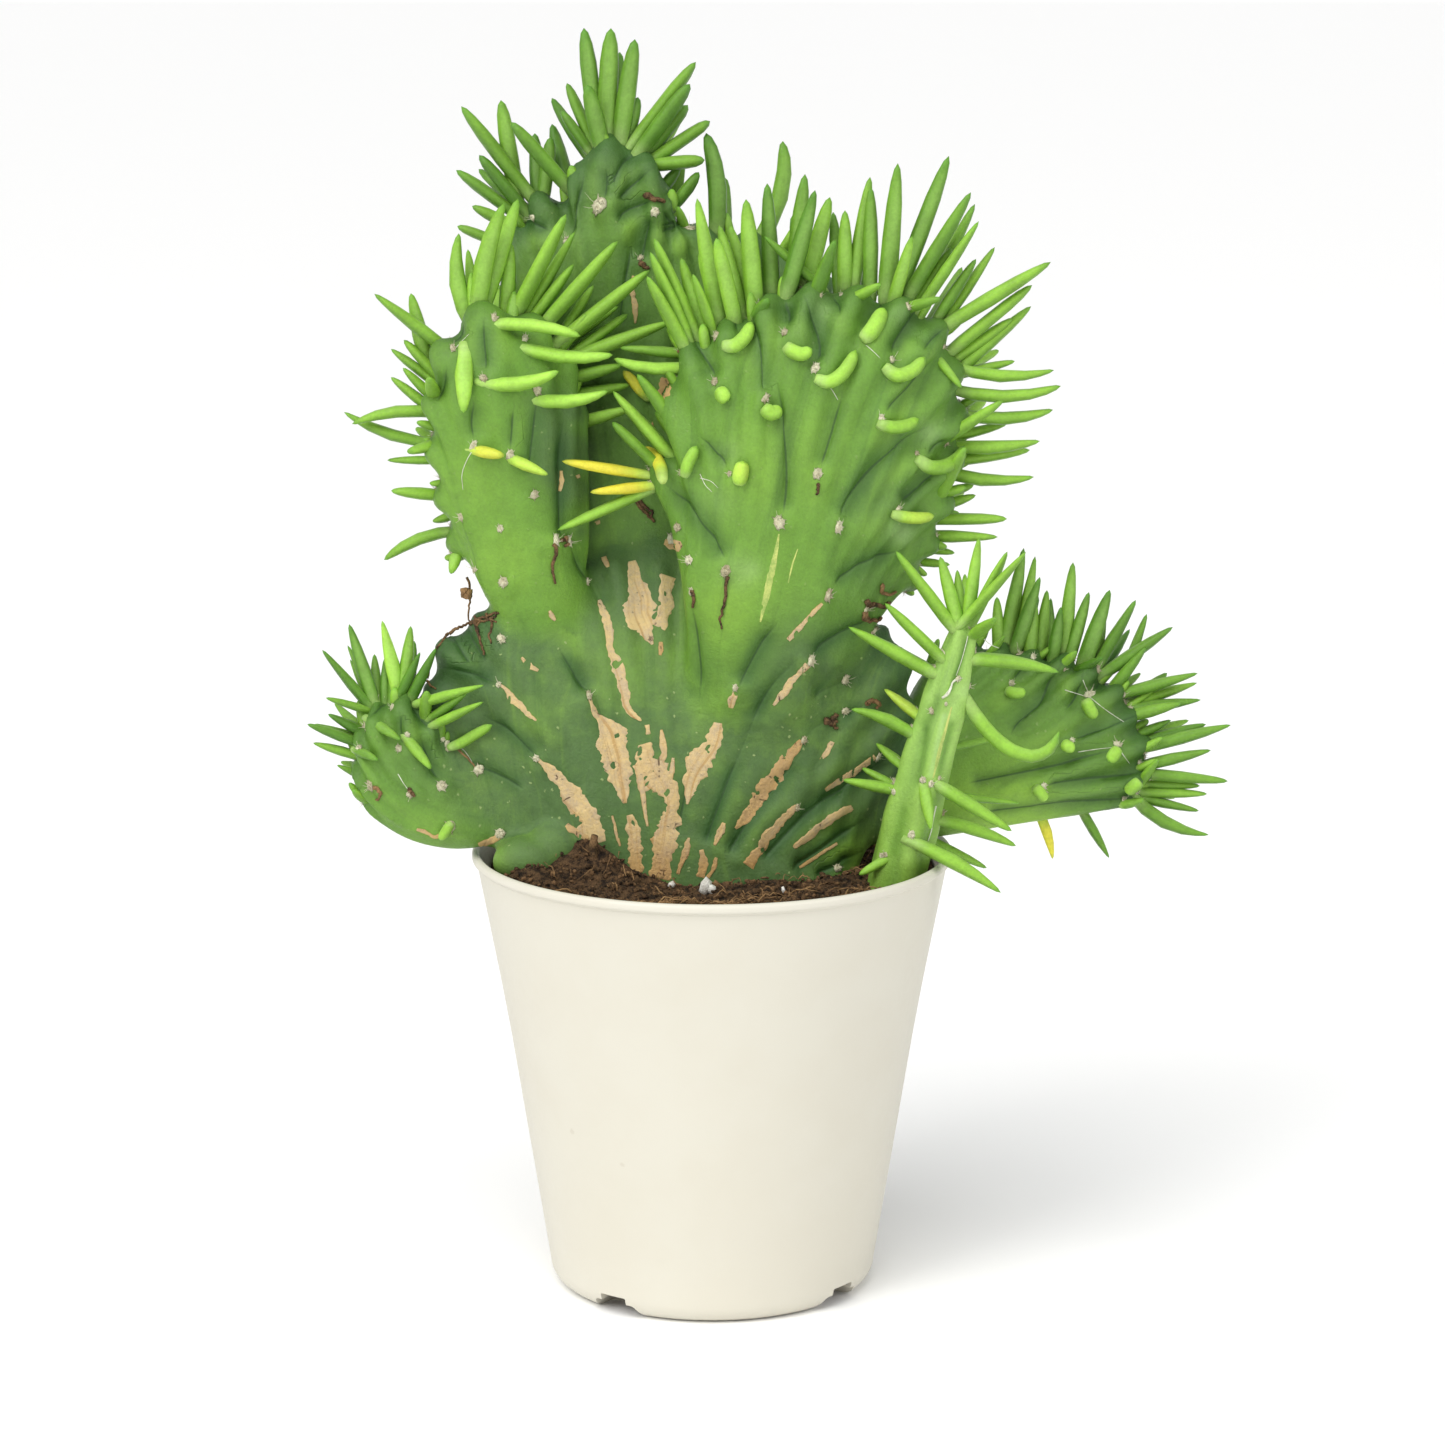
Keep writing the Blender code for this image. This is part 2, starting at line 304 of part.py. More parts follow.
        (45, -17.2, 131.3, 30.9, -19.2, 137.6, 1.8, -1.2), (46.6, -15.4, 134.8, 38.5, -11.4, 140.6, 1.6, 0),
        (41.2, -16.7, 118.6, 29.2, -18.7, 121.4, 1.6, 0), (41.1, -15.1, 119, 33.6, -13.1, 122.9, 1.3, 0),
        (42.8, -14.4, 123.6, 36.8, -10.4, 128, 1.5, 0), (38.7, -19.2, 103.2, 32.8, -22.2, 100.5, 1.4, 0),
        (50.3, -20.3, 120.6, 66.6, -24.3, 111, 1.9, 0), (50.5, -15.7, 111.7, 68.1, -16.7, 105.8, 1.8, 0.7),
        (44.6, -21.1, 107.8, 64.3, -25.1, 97.1, 2, 0.9), (48.3, -12.9, 106.5, 62.1, -8.9, 98.8, 1.4, 0),
        (47.1, -21.3, 120.6, 48.6, -25.3, 111.5, 1.5, 0), (50.5, -13.4, 116.9, 69.5, -7.4, 113.5, 1.2, 0),
        (52.4, -13.1, 127.5, 65.2, -7.1, 128.7, 1.2, 0),
    ),
}

SHARP_ANGLE = math.radians(40)
COLOURS = {
    "pot": ((0.86, 0.83, 0.72), 0.45),
    "soil": ((0.09, 0.055, 0.035), 0.95),
    "crest": ((0.17, 0.33, 0.10), 0.5),
    "stem": ((0.33, 0.50, 0.17), 0.5),
}


def clear_scene():
    for old in list(bpy.data.objects):
        bpy.data.objects.remove(old)


def new_collection(name, hidden=False):
    made = bpy.data.collections.new(name)
    bpy.context.scene.collection.children.link(made)
    made.hide_render = hidden
    return made


def new_material(name):
    colour, roughness = COLOURS[name]
    made = bpy.data.materials.new(name)
    made.use_nodes = True
    shader = made.node_tree.nodes["Principled BSDF"]
    shader.inputs["Base Color"].default_value = (*colour, 1)
    shader.inputs["Roughness"].default_value = roughness
    return made


def new_object(name, points, faces, collection, material=None):
    mesh = bpy.data.meshes.new(name)
    mesh.from_pydata([tuple(p) for p in np.asarray(points) * MM], [], faces)
    made = bpy.data.objects.new(name, mesh)
    collection.objects.link(made)
    if material:
        mesh.materials.append(material)
    face_outwards(made)
    return made


def line_through(guides, places):
    """Points of a smooth curve through the guide points, at shares of its length from 0 to 1."""
    knots = np.array(guides, float)
    steps = np.linalg.norm(np.diff(knots, axis=0), axis=1)
    marks = np.concatenate([[0], np.cumsum(steps)]) / steps.sum()
    slopes = np.gradient(knots, marks, axis=0)
    places = np.clip(np.atleast_1d(places).astype(float), 0, 1)
    i = np.clip(np.searchsorted(marks, places, side="right") - 1, 0, len(knots) - 2)
    span = (marks[i + 1] - marks[i])[:, None]
    t = (places - marks[i])[:, None] / span
    return (
        knots[i] * (2 * t**3 - 3 * t**2 + 1)
        + slopes[i] * span * (t**3 - 2 * t**2 + t)
        + knots[i + 1] * (3 * t**2 - 2 * t**3)
        + slopes[i + 1] * span * (t**3 - t**2)
    )


def blend_three(values, v):
    """A value at share v of the way from the first, past the second at a half, to the third."""
    first, second, third = values
    return first * (1 - v) * (1 - 2 * v) + second * 4 * v * (1 - v) + third * v * (2 * v - 1)


def smooth_step(low, high, x):
    t = np.clip((x - low) / (high - low), 0, 1)
    return t * t * (3 - 2 * t)


def fan_middle(fan, u, v):
    lines = [line_through(fan[name], u) for name in ("root", "waist", "edge")]
    return blend_three(lines, np.atleast_1d(v)[:, None])


def unit(vectors):
    return vectors / np.maximum(np.linalg.norm(vectors, axis=-1, keepdims=True), 1e-9)


def fan_axes(fan, u, v):
    """Unit vectors at places on a fan: along the crest, outward to the crest, and out of its front face."""
    small = 0.004
    along = unit(fan_middle(fan, np.minimum(u + small, 1), v) - fan_middle(fan, np.maximum(u - small, 0), v))
    outward = unit(fan_middle(fan, u, np.minimum(v + small, 1)) - fan_middle(fan, u, np.maximum(v - small, 0)))
    return along, outward, unit(np.cross(along, outward))


def fold_wave(fan, u):
    return np.cos(2 * math.pi * fan["folds"] * u)


def half_thickness(fan, u, v):
    """Half the thickness of a fan: round at its two ends and at the crest, and folded towards the crest."""
    ends = np.sqrt(np.clip(4 * u * (1 - u), 0, 1)) ** 0.6
    rounding = np.clip((v - EDGE_ROUND_FROM) / (1 - EDGE_ROUND_FROM), 0, 1)
    folds = FOLD_DEPTH * smooth_step(0.25, 0.85, v) * fold_wave(fan, u)
    return (blend_three(fan["half_thick"], v) - folds) * ends * np.sqrt(1 - rounding**2.4)


def fan_surface(fan, u, v, side):
    """Points on the front (side 1) or the back (side -1) of a fan."""
    _, outward, normal = fan_axes(fan, u, v)
    scallop = SCALLOP * smooth_step(0.7, 1.0, v) * -fold_wave(fan, u)
    lifted = fan_middle(fan, u, v) + outward * scallop[:, None]
    return lifted + normal * (side * half_thickness(fan, u, v))[:, None]


def fan_solid(fan):
    """A fan as closed rings: over the front from left to right and back behind, up to the shared crest line."""
    count = 2 * fan["folds"]
    columns = np.arange(count + 1) / count
    points, rings = [], []
    for v in FAN_ROWS:
        level = np.full(count + 1, float(v))
        front = fan_surface(fan, columns, level, 1)
        start = len(points)
        points.extend(front)
        ring = list(range(start, start + count + 1))
        if v < 1:
            back = fan_surface(fan, columns, level, -1)
            points.extend(back[1:-1][::-1])
            ring += list(range(start + count + 1, start + 2 * count))
        else:
            ring += ring[1:-1][::-1]
        rings.append(ring)
    faces = []
    for low, high in zip(rings, rings[1:]):
        for i in range(2 * count):
            j = (i + 1) % (2 * count)
            face = [low[i], low[j], high[j], high[i]]
            faces.append(face)
    base = rings[0]
    for i in range(count):
        other = [base[(-i) % (2 * count)], base[(-i - 1) % (2 * count)]]
        face = [base[i + 1], base[i], *other]
        faces.append([p for k, p in enumerate(face) if p not in face[:k]])
    return np.array(points), [f for f in faces if len(set(f)) > 2]


def make_stem(collection, material):
    """The round stem is a bevelled curve. Leaf cushions swell it in turns, and its top is a dome."""
    places = np.linspace(0, 1, STEM_RINGS + 1)
    radii = np.interp(places, np.linspace(0, 1, len(STEM_RADII)), STEM_RADII)
    radii = radii * (1 + STEM_LOBES * np.cos(math.pi * np.arange(STEM_RINGS + 1)))
    rings = list(zip(line_through(STEM_AXIS, places), radii)) + [STEM_TIP]
    curve = bpy.data.curves.new("stem_axis", "CURVE")
    curve.dimensions = "3D"
    curve.bevel_depth = MM
    curve.bevel_resolution = 3
    curve.use_fill_caps = True
    spline = curve.splines.new("POLY")
    spline.points.add(len(rings) - 1)
    for point, (centre, radius) in zip(spline.points, rings):
        point.co = (*np.array(centre) * MM, 1)
        point.radius = radius
    axis = bpy.data.objects.new("stem_axis", curve)
    collection.objects.link(axis)
    bpy.context.view_layer.update()
    graph = bpy.context.evaluated_depsgraph_get()
    stem = bpy.data.objects.new("stem_front", bpy.data.meshes.new_from_object(axis.evaluated_get(graph)))
    stem.matrix_world = axis.matrix_world
    bpy.data.objects.remove(axis)
    collection.objects.link(stem)
    stem.data.materials.clear()
    stem.data.materials.append(material)
    face_outwards(stem)
    return stem


def face_outwards(obj):
    work = bmesh.new()
    work.from_mesh(obj.data)
    bmesh.ops.remove_doubles(work, verts=work.verts, dist=0.01 * MM)
    bmesh.ops.recalc_face_normals(work, faces=work.faces)
    if work.calc_volume(signed=True) < 0:
        bmesh.ops.reverse_faces(work, faces=work.faces)
    work.to_mesh(obj.data)
    work.free()


def keep_largest_body(obj):
    """Drops the loose scraps that a Boolean can leave."""
    work = bmesh.new()
    work.from_mesh(obj.data)
    left, groups = set(work.verts), []
    while left:
        group, edge = set(), [left.pop()]
        while edge:
            vert = edge.pop()
            group.add(vert)
            for link in vert.link_edges:
                other = link.other_vert(vert)
                if other in left:
                    left.discard(other)
                    edge.append(other)
        groups.append(group)
    groups.sort(key=len)
    for group in groups[:-1]:
        bmesh.ops.delete(work, geom=list(group), context="VERTS")
    bmesh.ops.triangulate(work, faces=work.faces)
    work.to_mesh(obj.data)
    work.free()


def apply_modifiers(obj):
    graph = bpy.context.evaluated_depsgraph_get()
    mesh = bpy.data.meshes.new_from_object(obj.evaluated_get(graph))
    obj.modifiers.clear()
    obj.data = mesh


def swollen_copy(obj, by, collection):
    """A copy of a solid with its surface moved outwards, to cut a neighbour clear of it."""
    copy = bpy.data.objects.new(obj.name + "_cutter", obj.data.copy())
    collection.objects.link(copy)
    work = bmesh.new()
    work.from_mesh(copy.data)
    work.normal_update()
    for vert in work.verts:
        vert.co += vert.normal * min(vert.calc_shell_factor(), 1.6) * by * MM
    work.to_mesh(copy.data)
    work.free()
    copy.hide_render = True
    copy.display_type = "WIRE"
    return copy


def cut_clear(obj, neighbours, cutters):
    for neighbour in neighbours:
        cut = obj.modifiers.new("clear of " + neighbour.name, "BOOLEAN")
        cut.operation = "DIFFERENCE"
        cut.solver = "MANIFOLD"
        cut.object = swollen_copy(neighbour, GAP, cutters)
        bpy.context.view_layer.update()
        apply_modifiers(obj)
    keep_largest_body(obj)


def join_all(obj, pieces):
    """Fuses every object of the collection into obj and removes them."""
    fuse = obj.modifiers.new("fuse", "BOOLEAN")
    fuse.operation = "UNION"
    fuse.operand_type = "COLLECTION"
    fuse.collection = pieces
    fuse.solver = "MANIFOLD"
    bpy.context.view_layer.update()
    apply_modifiers(obj)
    for piece in list(pieces.objects):
        bpy.data.objects.remove(piece)
    keep_largest_body(obj)


def leaf_centre(leaf, share):
    return leaf["start"] + leaf["direction"] * leaf["length"] * share + leaf["bend"] * leaf["length"] * share**2


def leaf_solid(leaf):
    points = []
    side = unit(np.cross(leaf["direction"], (0.31, 0.12, 0.94)))
    other = np.cross(leaf["direction"], side)
    for share, width in LEAF_SECTIONS:
        for k in range(LEAF_SIDES):
            angle = 2 * math.pi * k / LEAF_SIDES
            spoke = side * math.cos(angle) + other * math.sin(angle)
            points.append(leaf_centre(leaf, share) + spoke * width * leaf["radius"])
    points.append(leaf_centre(leaf, 1))
    last = LEAF_SIDES * (len(LEAF_SECTIONS) - 1)
    faces = [list(range(LEAF_SIDES))[::-1]]
    for start in range(0, last, LEAF_SIDES):
        for k in range(LEAF_SIDES):
            j = (k + 1) % LEAF_SIDES
            faces.append([start + k, start + j, start + LEAF_SIDES + j, start + LEAF_SIDES + k])
    for k in range(LEAF_SIDES):
        faces.append([last + k, last + (k + 1) % LEAF_SIDES, len(points) - 1])
    return np.array(points), faces


def is_inside(tree, point):
    """Whether a ray from the point leaves the solid an odd number of times."""
    hits = 0
    while point is not None:
        point = tree.ray_cast(point, RAY)[0]
        if point is not None:
            hits += 1
            point = point + RAY * 0.001 * MM
    return hits % 2 == 1


class Clearance:
    """Keeps leaves clear of each other and of every body but their own."""

    def __init__(self, bodies):
        self.centres = np.zeros((0, 3))
        self.radii = np.zeros(0)
        self.shares = np.zeros(0)
        self.homes = np.zeros(0, int)
        self.names = list(bodies)
        self.trees = {}
        for name, obj in bodies.items():
            work = bmesh.new()
            work.from_mesh(obj.data)
            self.trees[name] = BVHTree.FromBMesh(work)
            work.free()

    def beads(self, leaf):
        shares = np.linspace(0.0, 1.0, 12)
        widths = np.interp(shares, (0, 0.36, 0.76, 1), (0.8, 1.05, 0.85, 0.2))
        return np.array([leaf_centre(leaf, s) for s in shares]), widths * leaf["radius"], shares

    def clear_of_leaves(self, leaf, home):
        """Leaves of one node may press on each other, as they do on the plant."""
        if not len(self.centres):
            return True
        centres, radii, shares = self.beads(leaf)
        apart = np.linalg.norm(centres[:, None] - self.centres[None], axis=2)
        kin = self.homes[None] == self.names.index(home)
        low = (shares[:, None] < 0.3) & (self.shares[None] < 0.3)
        share = np.where(kin, np.where(low, 0.5 * PRESS, PRESS), 1.0)
        needed = share * (radii[:, None] + self.radii[None]) + np.where(kin, 0.0, LEAF_CLEARANCE)
        return not (apart < needed).any()

    def clear_of_bodies(self, leaf, home):
        for name, tree in self.trees.items():
            for centre, radius, share in zip(*self.beads(leaf)):
                if name == home and share < 0.6:
                    continue
                point = Vector(centre * MM)
                near, normal, _, distance = tree.find_nearest(point)
                needed = 0.4 * radius if name == home else radius + LEAF_CLEARANCE
                if distance < needed * MM:
                    return False
                if (point - near).dot(normal) < 0 and is_inside(tree, point):
                    return False
        return True

    def is_free(self, leaf, home):
        return self.clear_of_leaves(leaf, home) and self.clear_of_bodies(leaf, home)

    def take(self, leaf, home):
        centres, radii, shares = self.beads(leaf)
        self.centres = np.vstack([self.centres, centres])
        self.radii = np.concatenate([self.radii, radii])
        self.shares = np.concatenate([self.shares, shares])
        self.homes = np.concatenate([self.homes, np.full(len(shares), self.names.index(home))])


def make_leaf(root, direction, length, radius, bend):
    direction = unit(np.array(direction, float))
    start = np.array(root, float) - direction * LEAF_SINK
    return {
        "start": start, "direction": direction, "length": length + LEAF_SINK, "radius": radius,
        "bend": np.array(bend, float),
    }


def crest_length(fan):
    points = line_through(fan["edge"], np.linspace(0, 1, 60))
    return np.linalg.norm(np.diff(points, axis=0), axis=1).sum()


def crest_columns(plan):
    low, high = plan["span"]
    return int(crest_length(plan["fan"]) * (high - low) / plan["spacing"])


def crest_leaf(name, plan, column, attempt):
    """One leaf of the row along a crest. Each attempt leans it another way, and a late one shortens it."""
    fan = plan["fan"]
    dice = random.Random(f"{name} {column} {attempt}")
    low, high = plan["span"]
    place = plan["place"]
    share = (column + 0.5 + dice.uniform(-0.2, 0.2)) / crest_columns(plan)
    u = np.array([min(low + (high - low) * share, 0.995)])
    along, outward, normal = (axis[0] for axis in fan_axes(fan, u, np.array([0.92])))
    square = unit(outward - along * outward.dot(along))  # square to the crest, in the plane of the fan
    edge = fan_middle(fan, u, np.array([1.0]))[0]
    root = edge - square * (0.6 + 2.2 * abs(place)) + normal * place * fan["half_thick"][2] * 0.62
    wild = 1 + 0.25 * attempt
    direction = (1 - FOLLOW) * square + FOLLOW * outward
    direction = direction + normal * (LEAN * place + dice.uniform(-SCATTER, SCATTER) * wild)
    direction = direction + along * dice.uniform(-SWAY, SWAY) * wild + np.array([0, 0, plan["lift"]])
    full = np.interp(share, np.linspace(0, 1, len(plan["lengths"])), plan["lengths"])
    length = full * dice.uniform(0.85, 1.1) * (1 - 0.045 * attempt)
    bend = np.array([0, 0, SAG]) * dice.uniform(0.2, 1.2) + normal * place * 0.05
    return make_leaf(root, direction, length, plan["radius"] * dice.uniform(0.9, 1.08), bend)


def seen_leaf(place, shift):
    """A leaf from its root to its tip, with the tip moved back by the shift."""
    root, tip, radius, bow = np.array(place[:3]), np.array(place[3:6]) + (0, shift, 0), place[6], place[7]
    chord = tip - root
    bend = -4 * bow * unit(np.array([-chord[2], 0, chord[0]]))
    course = chord - bend
    direction, length = unit(course), np.linalg.norm(course) + LEAF_SINK
    return {
        "start": root - direction * LEAF_SINK, "direction": direction, "length": length, "radius": radius,
        "bend": bend / length,
    }


def grow_leaves(bodies):
    """Every leaf of every node, clear of the others."""
    clearance = Clearance(bodies)
    grown = {name: [] for name in bodies}

    def place(home, attempts):
        """Grows the first of the attempts that is clear."""
        for leaf in attempts:
            if clearance.is_free(leaf, home):
                clearance.take(leaf, home)
                grown[home].append(leaf)
                return
        left_out.append(home)

    left_out = []
    for name, leaves in SEEN_LEAVES.items():
        for leaf in leaves:
            place(name, (seen_leaf(leaf, shift) for shift in SHIFTS))
    print(len(left_out), "leaves of the photograph found no room")
    for name, plan in CREST_LEAVES.items():
        for column in range(crest_columns(plan)):
            place(name, (crest_leaf(name, plan, column, attempt) for attempt in range(TRIES)))
    return grown


def pot_radius(height):
    """Outer radius of the pot's wall. The wall flares a little more above the shoulder."""
    heights = (0, FOOT_ROUND, SHOULDER_HEIGHT, POT_HEIGHT)
    radii = (FOOT_RADIUS - 0.8, FOOT_RADIUS, SHOULDER_RADIUS, RIM_RADIUS - BEAD_PROUD)
    return float(np.interp(height, heights, radii))


def inner_wall(top, gap=0.0):
    """Half section of the pot's inside, from the edge of its floor up to a height, less a gap."""
    points = [(FOOT_RADIUS - WALL - FLOOR_ROUND - gap, FLOOR + gap)]
    points += [(pot_radius(z) - WALL - gap, z) for z in (FLOOR + FLOOR_ROUND, SHOULDER_HEIGHT, top)]
    return points


def pot_profile():
    """Half section of the pot: from the middle of the floor, up inside, over the rim and down outside."""
    rim = [(RIM_RADIUS, POT_HEIGHT), (RIM_RADIUS, POT_HEIGHT - BEAD_HEIGHT)]
    wall = [(pot_radius(z), z) for z in (POT_HEIGHT - BEAD_HEIGHT - 0.5, SHOULDER_HEIGHT, 0.4 * POT_HEIGHT)]
    corner = []
    for turn in (0, 30, 60, 90):
        angle = math.radians(turn)
        centre = FOOT_RADIUS - FOOT_ROUND
        corner.append((centre + FOOT_ROUND * math.cos(angle), FOOT_ROUND - FOOT_ROUND * math.sin(angle)))
    return [(0, FLOOR)] + inner_wall(POT_HEIGHT) + rim + wall + corner + [(0, 0)]


def turned(name, profile, collection, material):
    """A closed solid turned from a half section that begins and ends on the axis."""
    points = [(radius * MM, 0, height * MM) for radius, height in profile]
    mesh = bpy.data.meshes.new(name)
    mesh.from_pydata(points, [(i, i + 1) for i in range(len(points) - 1)], [])
    made = bpy.data.objects.new(name, mesh)
    collection.objects.link(made)
    turn = made.modifiers.new("turn", "SCREW")
    turn.steps = turn.render_steps = POT_SIDES
    turn.use_merge_vertices = True
    turn.merge_threshold = 0.0001
    turn.use_smooth_shade = True
    bpy.context.view_layer.update()
    apply_modifiers(made)
    face_outwards(made)
    made.data.materials.append(material)
    return made


def make_pot(collection, cutters, material):
    pot = turned("pot", pot_profile(), collection, material)
    for angle in NOTCH_ANGLES:
        spoke = math.radians(angle - 90)
        notch = block(f"notch_{angle}", NOTCH_SIZE, spoke, 0, NOTCH_TOP_SHARE, cutters)
        drain = block(f"drain_{angle}", DRAIN_SIZE, spoke, NOTCH_SIZE[2] / 2, 1, cutters)
        for cutter in (notch, drain):
            cut = pot.modifiers.new(cutter.name, "BOOLEAN")
            cut.operation = "DIFFERENCE"
            cut.object = cutter
    bpy.context.view_layer.update()
    apply_modifiers(pot)
    keep_largest_body(pot)
    return pot


def block(name, size, spoke, height, top_share, collection):
    """A box on a spoke of the pot that narrows towards its top, to cut a notch or a drain."""
    bpy.ops.mesh.primitive_cube_add(size=1)
    made = bpy.context.object
    made.name = name
    for link in list(made.users_collection):
        link.objects.unlink(made)
    collection.objects.link(made)
    for vert in made.data.vertices:
        if vert.co.z > 0:
            vert.co.y *= top_share
    grow = Matrix.Diagonal((*[s * MM for s in size], 1))
    shift = Matrix.Translation((NOTCH_PLACE * MM, 0, height * MM))
    made.data.transform(Matrix.Rotation(spoke, 4, "Z") @ shift @ grow)
    made.hide_render = True
    made.display_type = "WIRE"
    return made


def soil_height(x, y):
    """Height of the potting mix: gentle lumps and one mound at the front left."""
    lumps = 0.8 * math.sin(x * 0.31 + 1.1) * math.cos(y * 0.27) + 0.6 * math.sin(x * 0.13 - y * 0.36)
    away = math.hypot(x - MOUND_PLACE[0], y - MOUND_PLACE[1])
    return SOIL_LEVEL + lumps + MOUND_HEIGHT * math.exp(-((away / MOUND_WIDTH) ** 2))


def make_soil(collection, material):
    """The mix fills the pot to below its rim. Its sides keep the gap to the wall, and its top is uneven."""
    top = [(radius, SOIL_LEVEL) for radius in (0, *SOIL_RINGS)]
    side = inner_wall(SOIL_LEVEL - 1.5, GAP)[::-1]
    soil = turned("soil", top + side + [(0, FLOOR + GAP)], collection, material)
    for vert in soil.data.vertices:
        if vert.co.z > (SOIL_LEVEL - 0.5) * MM:
            vert.co.z = soil_height(vert.co.x / MM, vert.co.y / MM) * MM
    return soil


def main():
    clear_scene()
    parts = new_collection("crested_opuntia_in_pot")
    cutters = new_collection("cutters", hidden=True)
    spares = new_collection("spares", hidden=True)
    pot_look, soil_look = new_material("pot"), new_material("soil")
    crest_look, stem_look = new_material("crest"), new_material("stem")

    main_crest = new_object("crest_main", *fan_solid(LOW_FAN), parts, crest_look)
    new_object("back_fan", *fan_solid(BACK_FAN), spares)
    join_all(main_crest, spares)
    right = new_object("crest_right", *fan_solid(RIGHT_FAN), parts, crest_look)
    left = new_object("crest_left", *fan_solid(LEFT_FAN), parts, crest_look)
    low_left = new_object("crest_low_left", *fan_solid(LOW_LEFT_FAN), parts, crest_look)
    low_right = new_object("crest_low_right", *fan_solid(LOW_RIGHT_FAN), parts, crest_look)
    stem = make_stem(parts, stem_look)
    cut_clear(right, [main_crest], cutters)
    cut_clear(left, [main_crest, right], cutters)
    cut_clear(low_left, [main_crest], cutters)
    cut_clear(low_right, [main_crest, right], cutters)

    pot = make_pot(parts, cutters, pot_look)
    soil = make_soil(parts, soil_look)
    cut_clear(soil, [main_crest, stem], cutters)

    bodies = {
        "crest_main": main_crest, "crest_right": right, "crest_left": left, "crest_low_left": low_left,
        "crest_low_right": low_right, "stem_front": stem,
    }
    grown = grow_leaves(bodies | {"pot": pot, "soil": soil})
    for name, obj in bodies.items():
        for i, leaf in enumerate(grown[name]):
            new_object(f"leaf_{i}", *leaf_solid(leaf), spares)
        join_all(obj, spares)
        obj.data.shade_smooth()
        obj.data.set_sharp_from_angle(angle=SHARP_ANGLE)
        print(name, len(grown[name]), "leaves", len(obj.data.polygons), "triangles")


main()
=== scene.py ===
import math
import random

import bpy
import numpy as np
from mathutils import Matrix, Vector, noise
from mathutils.bvhtree import BVHTree
from mathutils.kdtree import KDTree
from numpy.linalg import norm


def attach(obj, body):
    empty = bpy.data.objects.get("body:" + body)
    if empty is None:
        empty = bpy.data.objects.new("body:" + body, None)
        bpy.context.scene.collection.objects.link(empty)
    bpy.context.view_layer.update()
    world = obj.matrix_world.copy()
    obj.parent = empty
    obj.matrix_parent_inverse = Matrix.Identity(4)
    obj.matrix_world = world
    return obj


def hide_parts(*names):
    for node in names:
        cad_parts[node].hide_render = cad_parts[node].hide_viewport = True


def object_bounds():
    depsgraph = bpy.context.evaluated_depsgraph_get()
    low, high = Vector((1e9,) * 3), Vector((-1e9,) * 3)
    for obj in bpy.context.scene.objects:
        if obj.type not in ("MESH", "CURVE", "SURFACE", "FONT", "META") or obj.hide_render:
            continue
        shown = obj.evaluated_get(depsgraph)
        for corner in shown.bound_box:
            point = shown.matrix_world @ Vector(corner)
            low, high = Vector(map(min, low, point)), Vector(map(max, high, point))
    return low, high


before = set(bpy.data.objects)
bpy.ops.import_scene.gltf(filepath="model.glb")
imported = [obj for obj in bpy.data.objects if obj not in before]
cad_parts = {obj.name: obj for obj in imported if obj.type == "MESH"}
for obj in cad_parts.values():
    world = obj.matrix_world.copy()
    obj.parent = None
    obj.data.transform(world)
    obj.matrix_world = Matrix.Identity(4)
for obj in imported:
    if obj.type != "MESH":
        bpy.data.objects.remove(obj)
for startName in ("Cube", "Light", "Camera"):
    if startName in bpy.data.objects:
        bpy.data.objects.remove(bpy.data.objects[startName])
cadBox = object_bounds()
mm = 0.001
pixel = 0.228  # millimetres at the plant for one pixel of the photograph


# Small tools that every piece uses


def deselectAll():
    if bpy.context.object and bpy.context.object.mode != "OBJECT":
        bpy.ops.object.mode_set(mode="OBJECT")
    bpy.ops.object.select_all(action="DESELECT")


def selectOnly(piece):
    deselectAll()
    piece.select_set(True)
    bpy.context.view_layer.objects.active = piece


def editAll():
    bpy.ops.object.mode_set(mode="EDIT")
    bpy.ops.mesh.select_all(action="SELECT")


def turnFacesOut():
    # ends an edit with every face pointing out
    bpy.ops.mesh.select_all(action="SELECT")
    bpy.ops.mesh.normals_make_consistent(inside=False)
    bpy.ops.object.mode_set(mode="OBJECT")


def pieceFromMesh(name, mesh):
    piece = bpy.data.objects.new(name, mesh)
    bpy.context.scene.collection.objects.link(piece)
    return piece


def pieceFromArrays(name, points, faces, material):
    # points in millimetres
    mesh = bpy.data.meshes.new(name)
    mesh.from_pydata([tuple(p) for p in np.asarray(points, float) * mm], [], faces)
    mesh.validate()
    mesh.materials.append(material)
    mesh.shade_smooth()
    return pieceFromMesh(name, mesh)


def spunPiece(name, section, steps):
    # spins a half section of radii and heights about the upright axis
    mesh = bpy.data.meshes.new(name)
    mesh.from_pydata([(r * mm, 0, z * mm) for r, z in section], [(i, i + 1) for i in range(len(section) - 1)], [])
    piece = pieceFromMesh(name, mesh)
    selectOnly(piece)
    editAll()
    bpy.ops.mesh.spin(steps=steps, angle=2 * math.pi, center=(0, 0, 0), axis=(0, 0, 1))
    bpy.ops.mesh.select_all(action="SELECT")
    bpy.ops.mesh.remove_doubles(threshold=0.00002)
    turnFacesOut()
    return piece


def ringFaces(rings, sides):
    # the faces between neighbouring rings of points
    return [(k * sides + i, k * sides + (i + 1) % sides, (k + 1) * sides + (i + 1) % sides, (k + 1) * sides + i)
            for k in range(rings) for i in range(sides)]


def addValues(piece, name, values):
    layer = piece.data.attributes.new(name, "FLOAT", "POINT")
    layer.data.foreach_set("value", np.asarray(values, np.float32))


def readVectors(rows, key):
    values = np.zeros(len(rows) * 3, np.float32)
    rows.foreach_get(key, values)
    return values.reshape(-1, 3).astype(float)


def pointsOf(mesh):
    return readVectors(mesh.vertices, "co") / mm


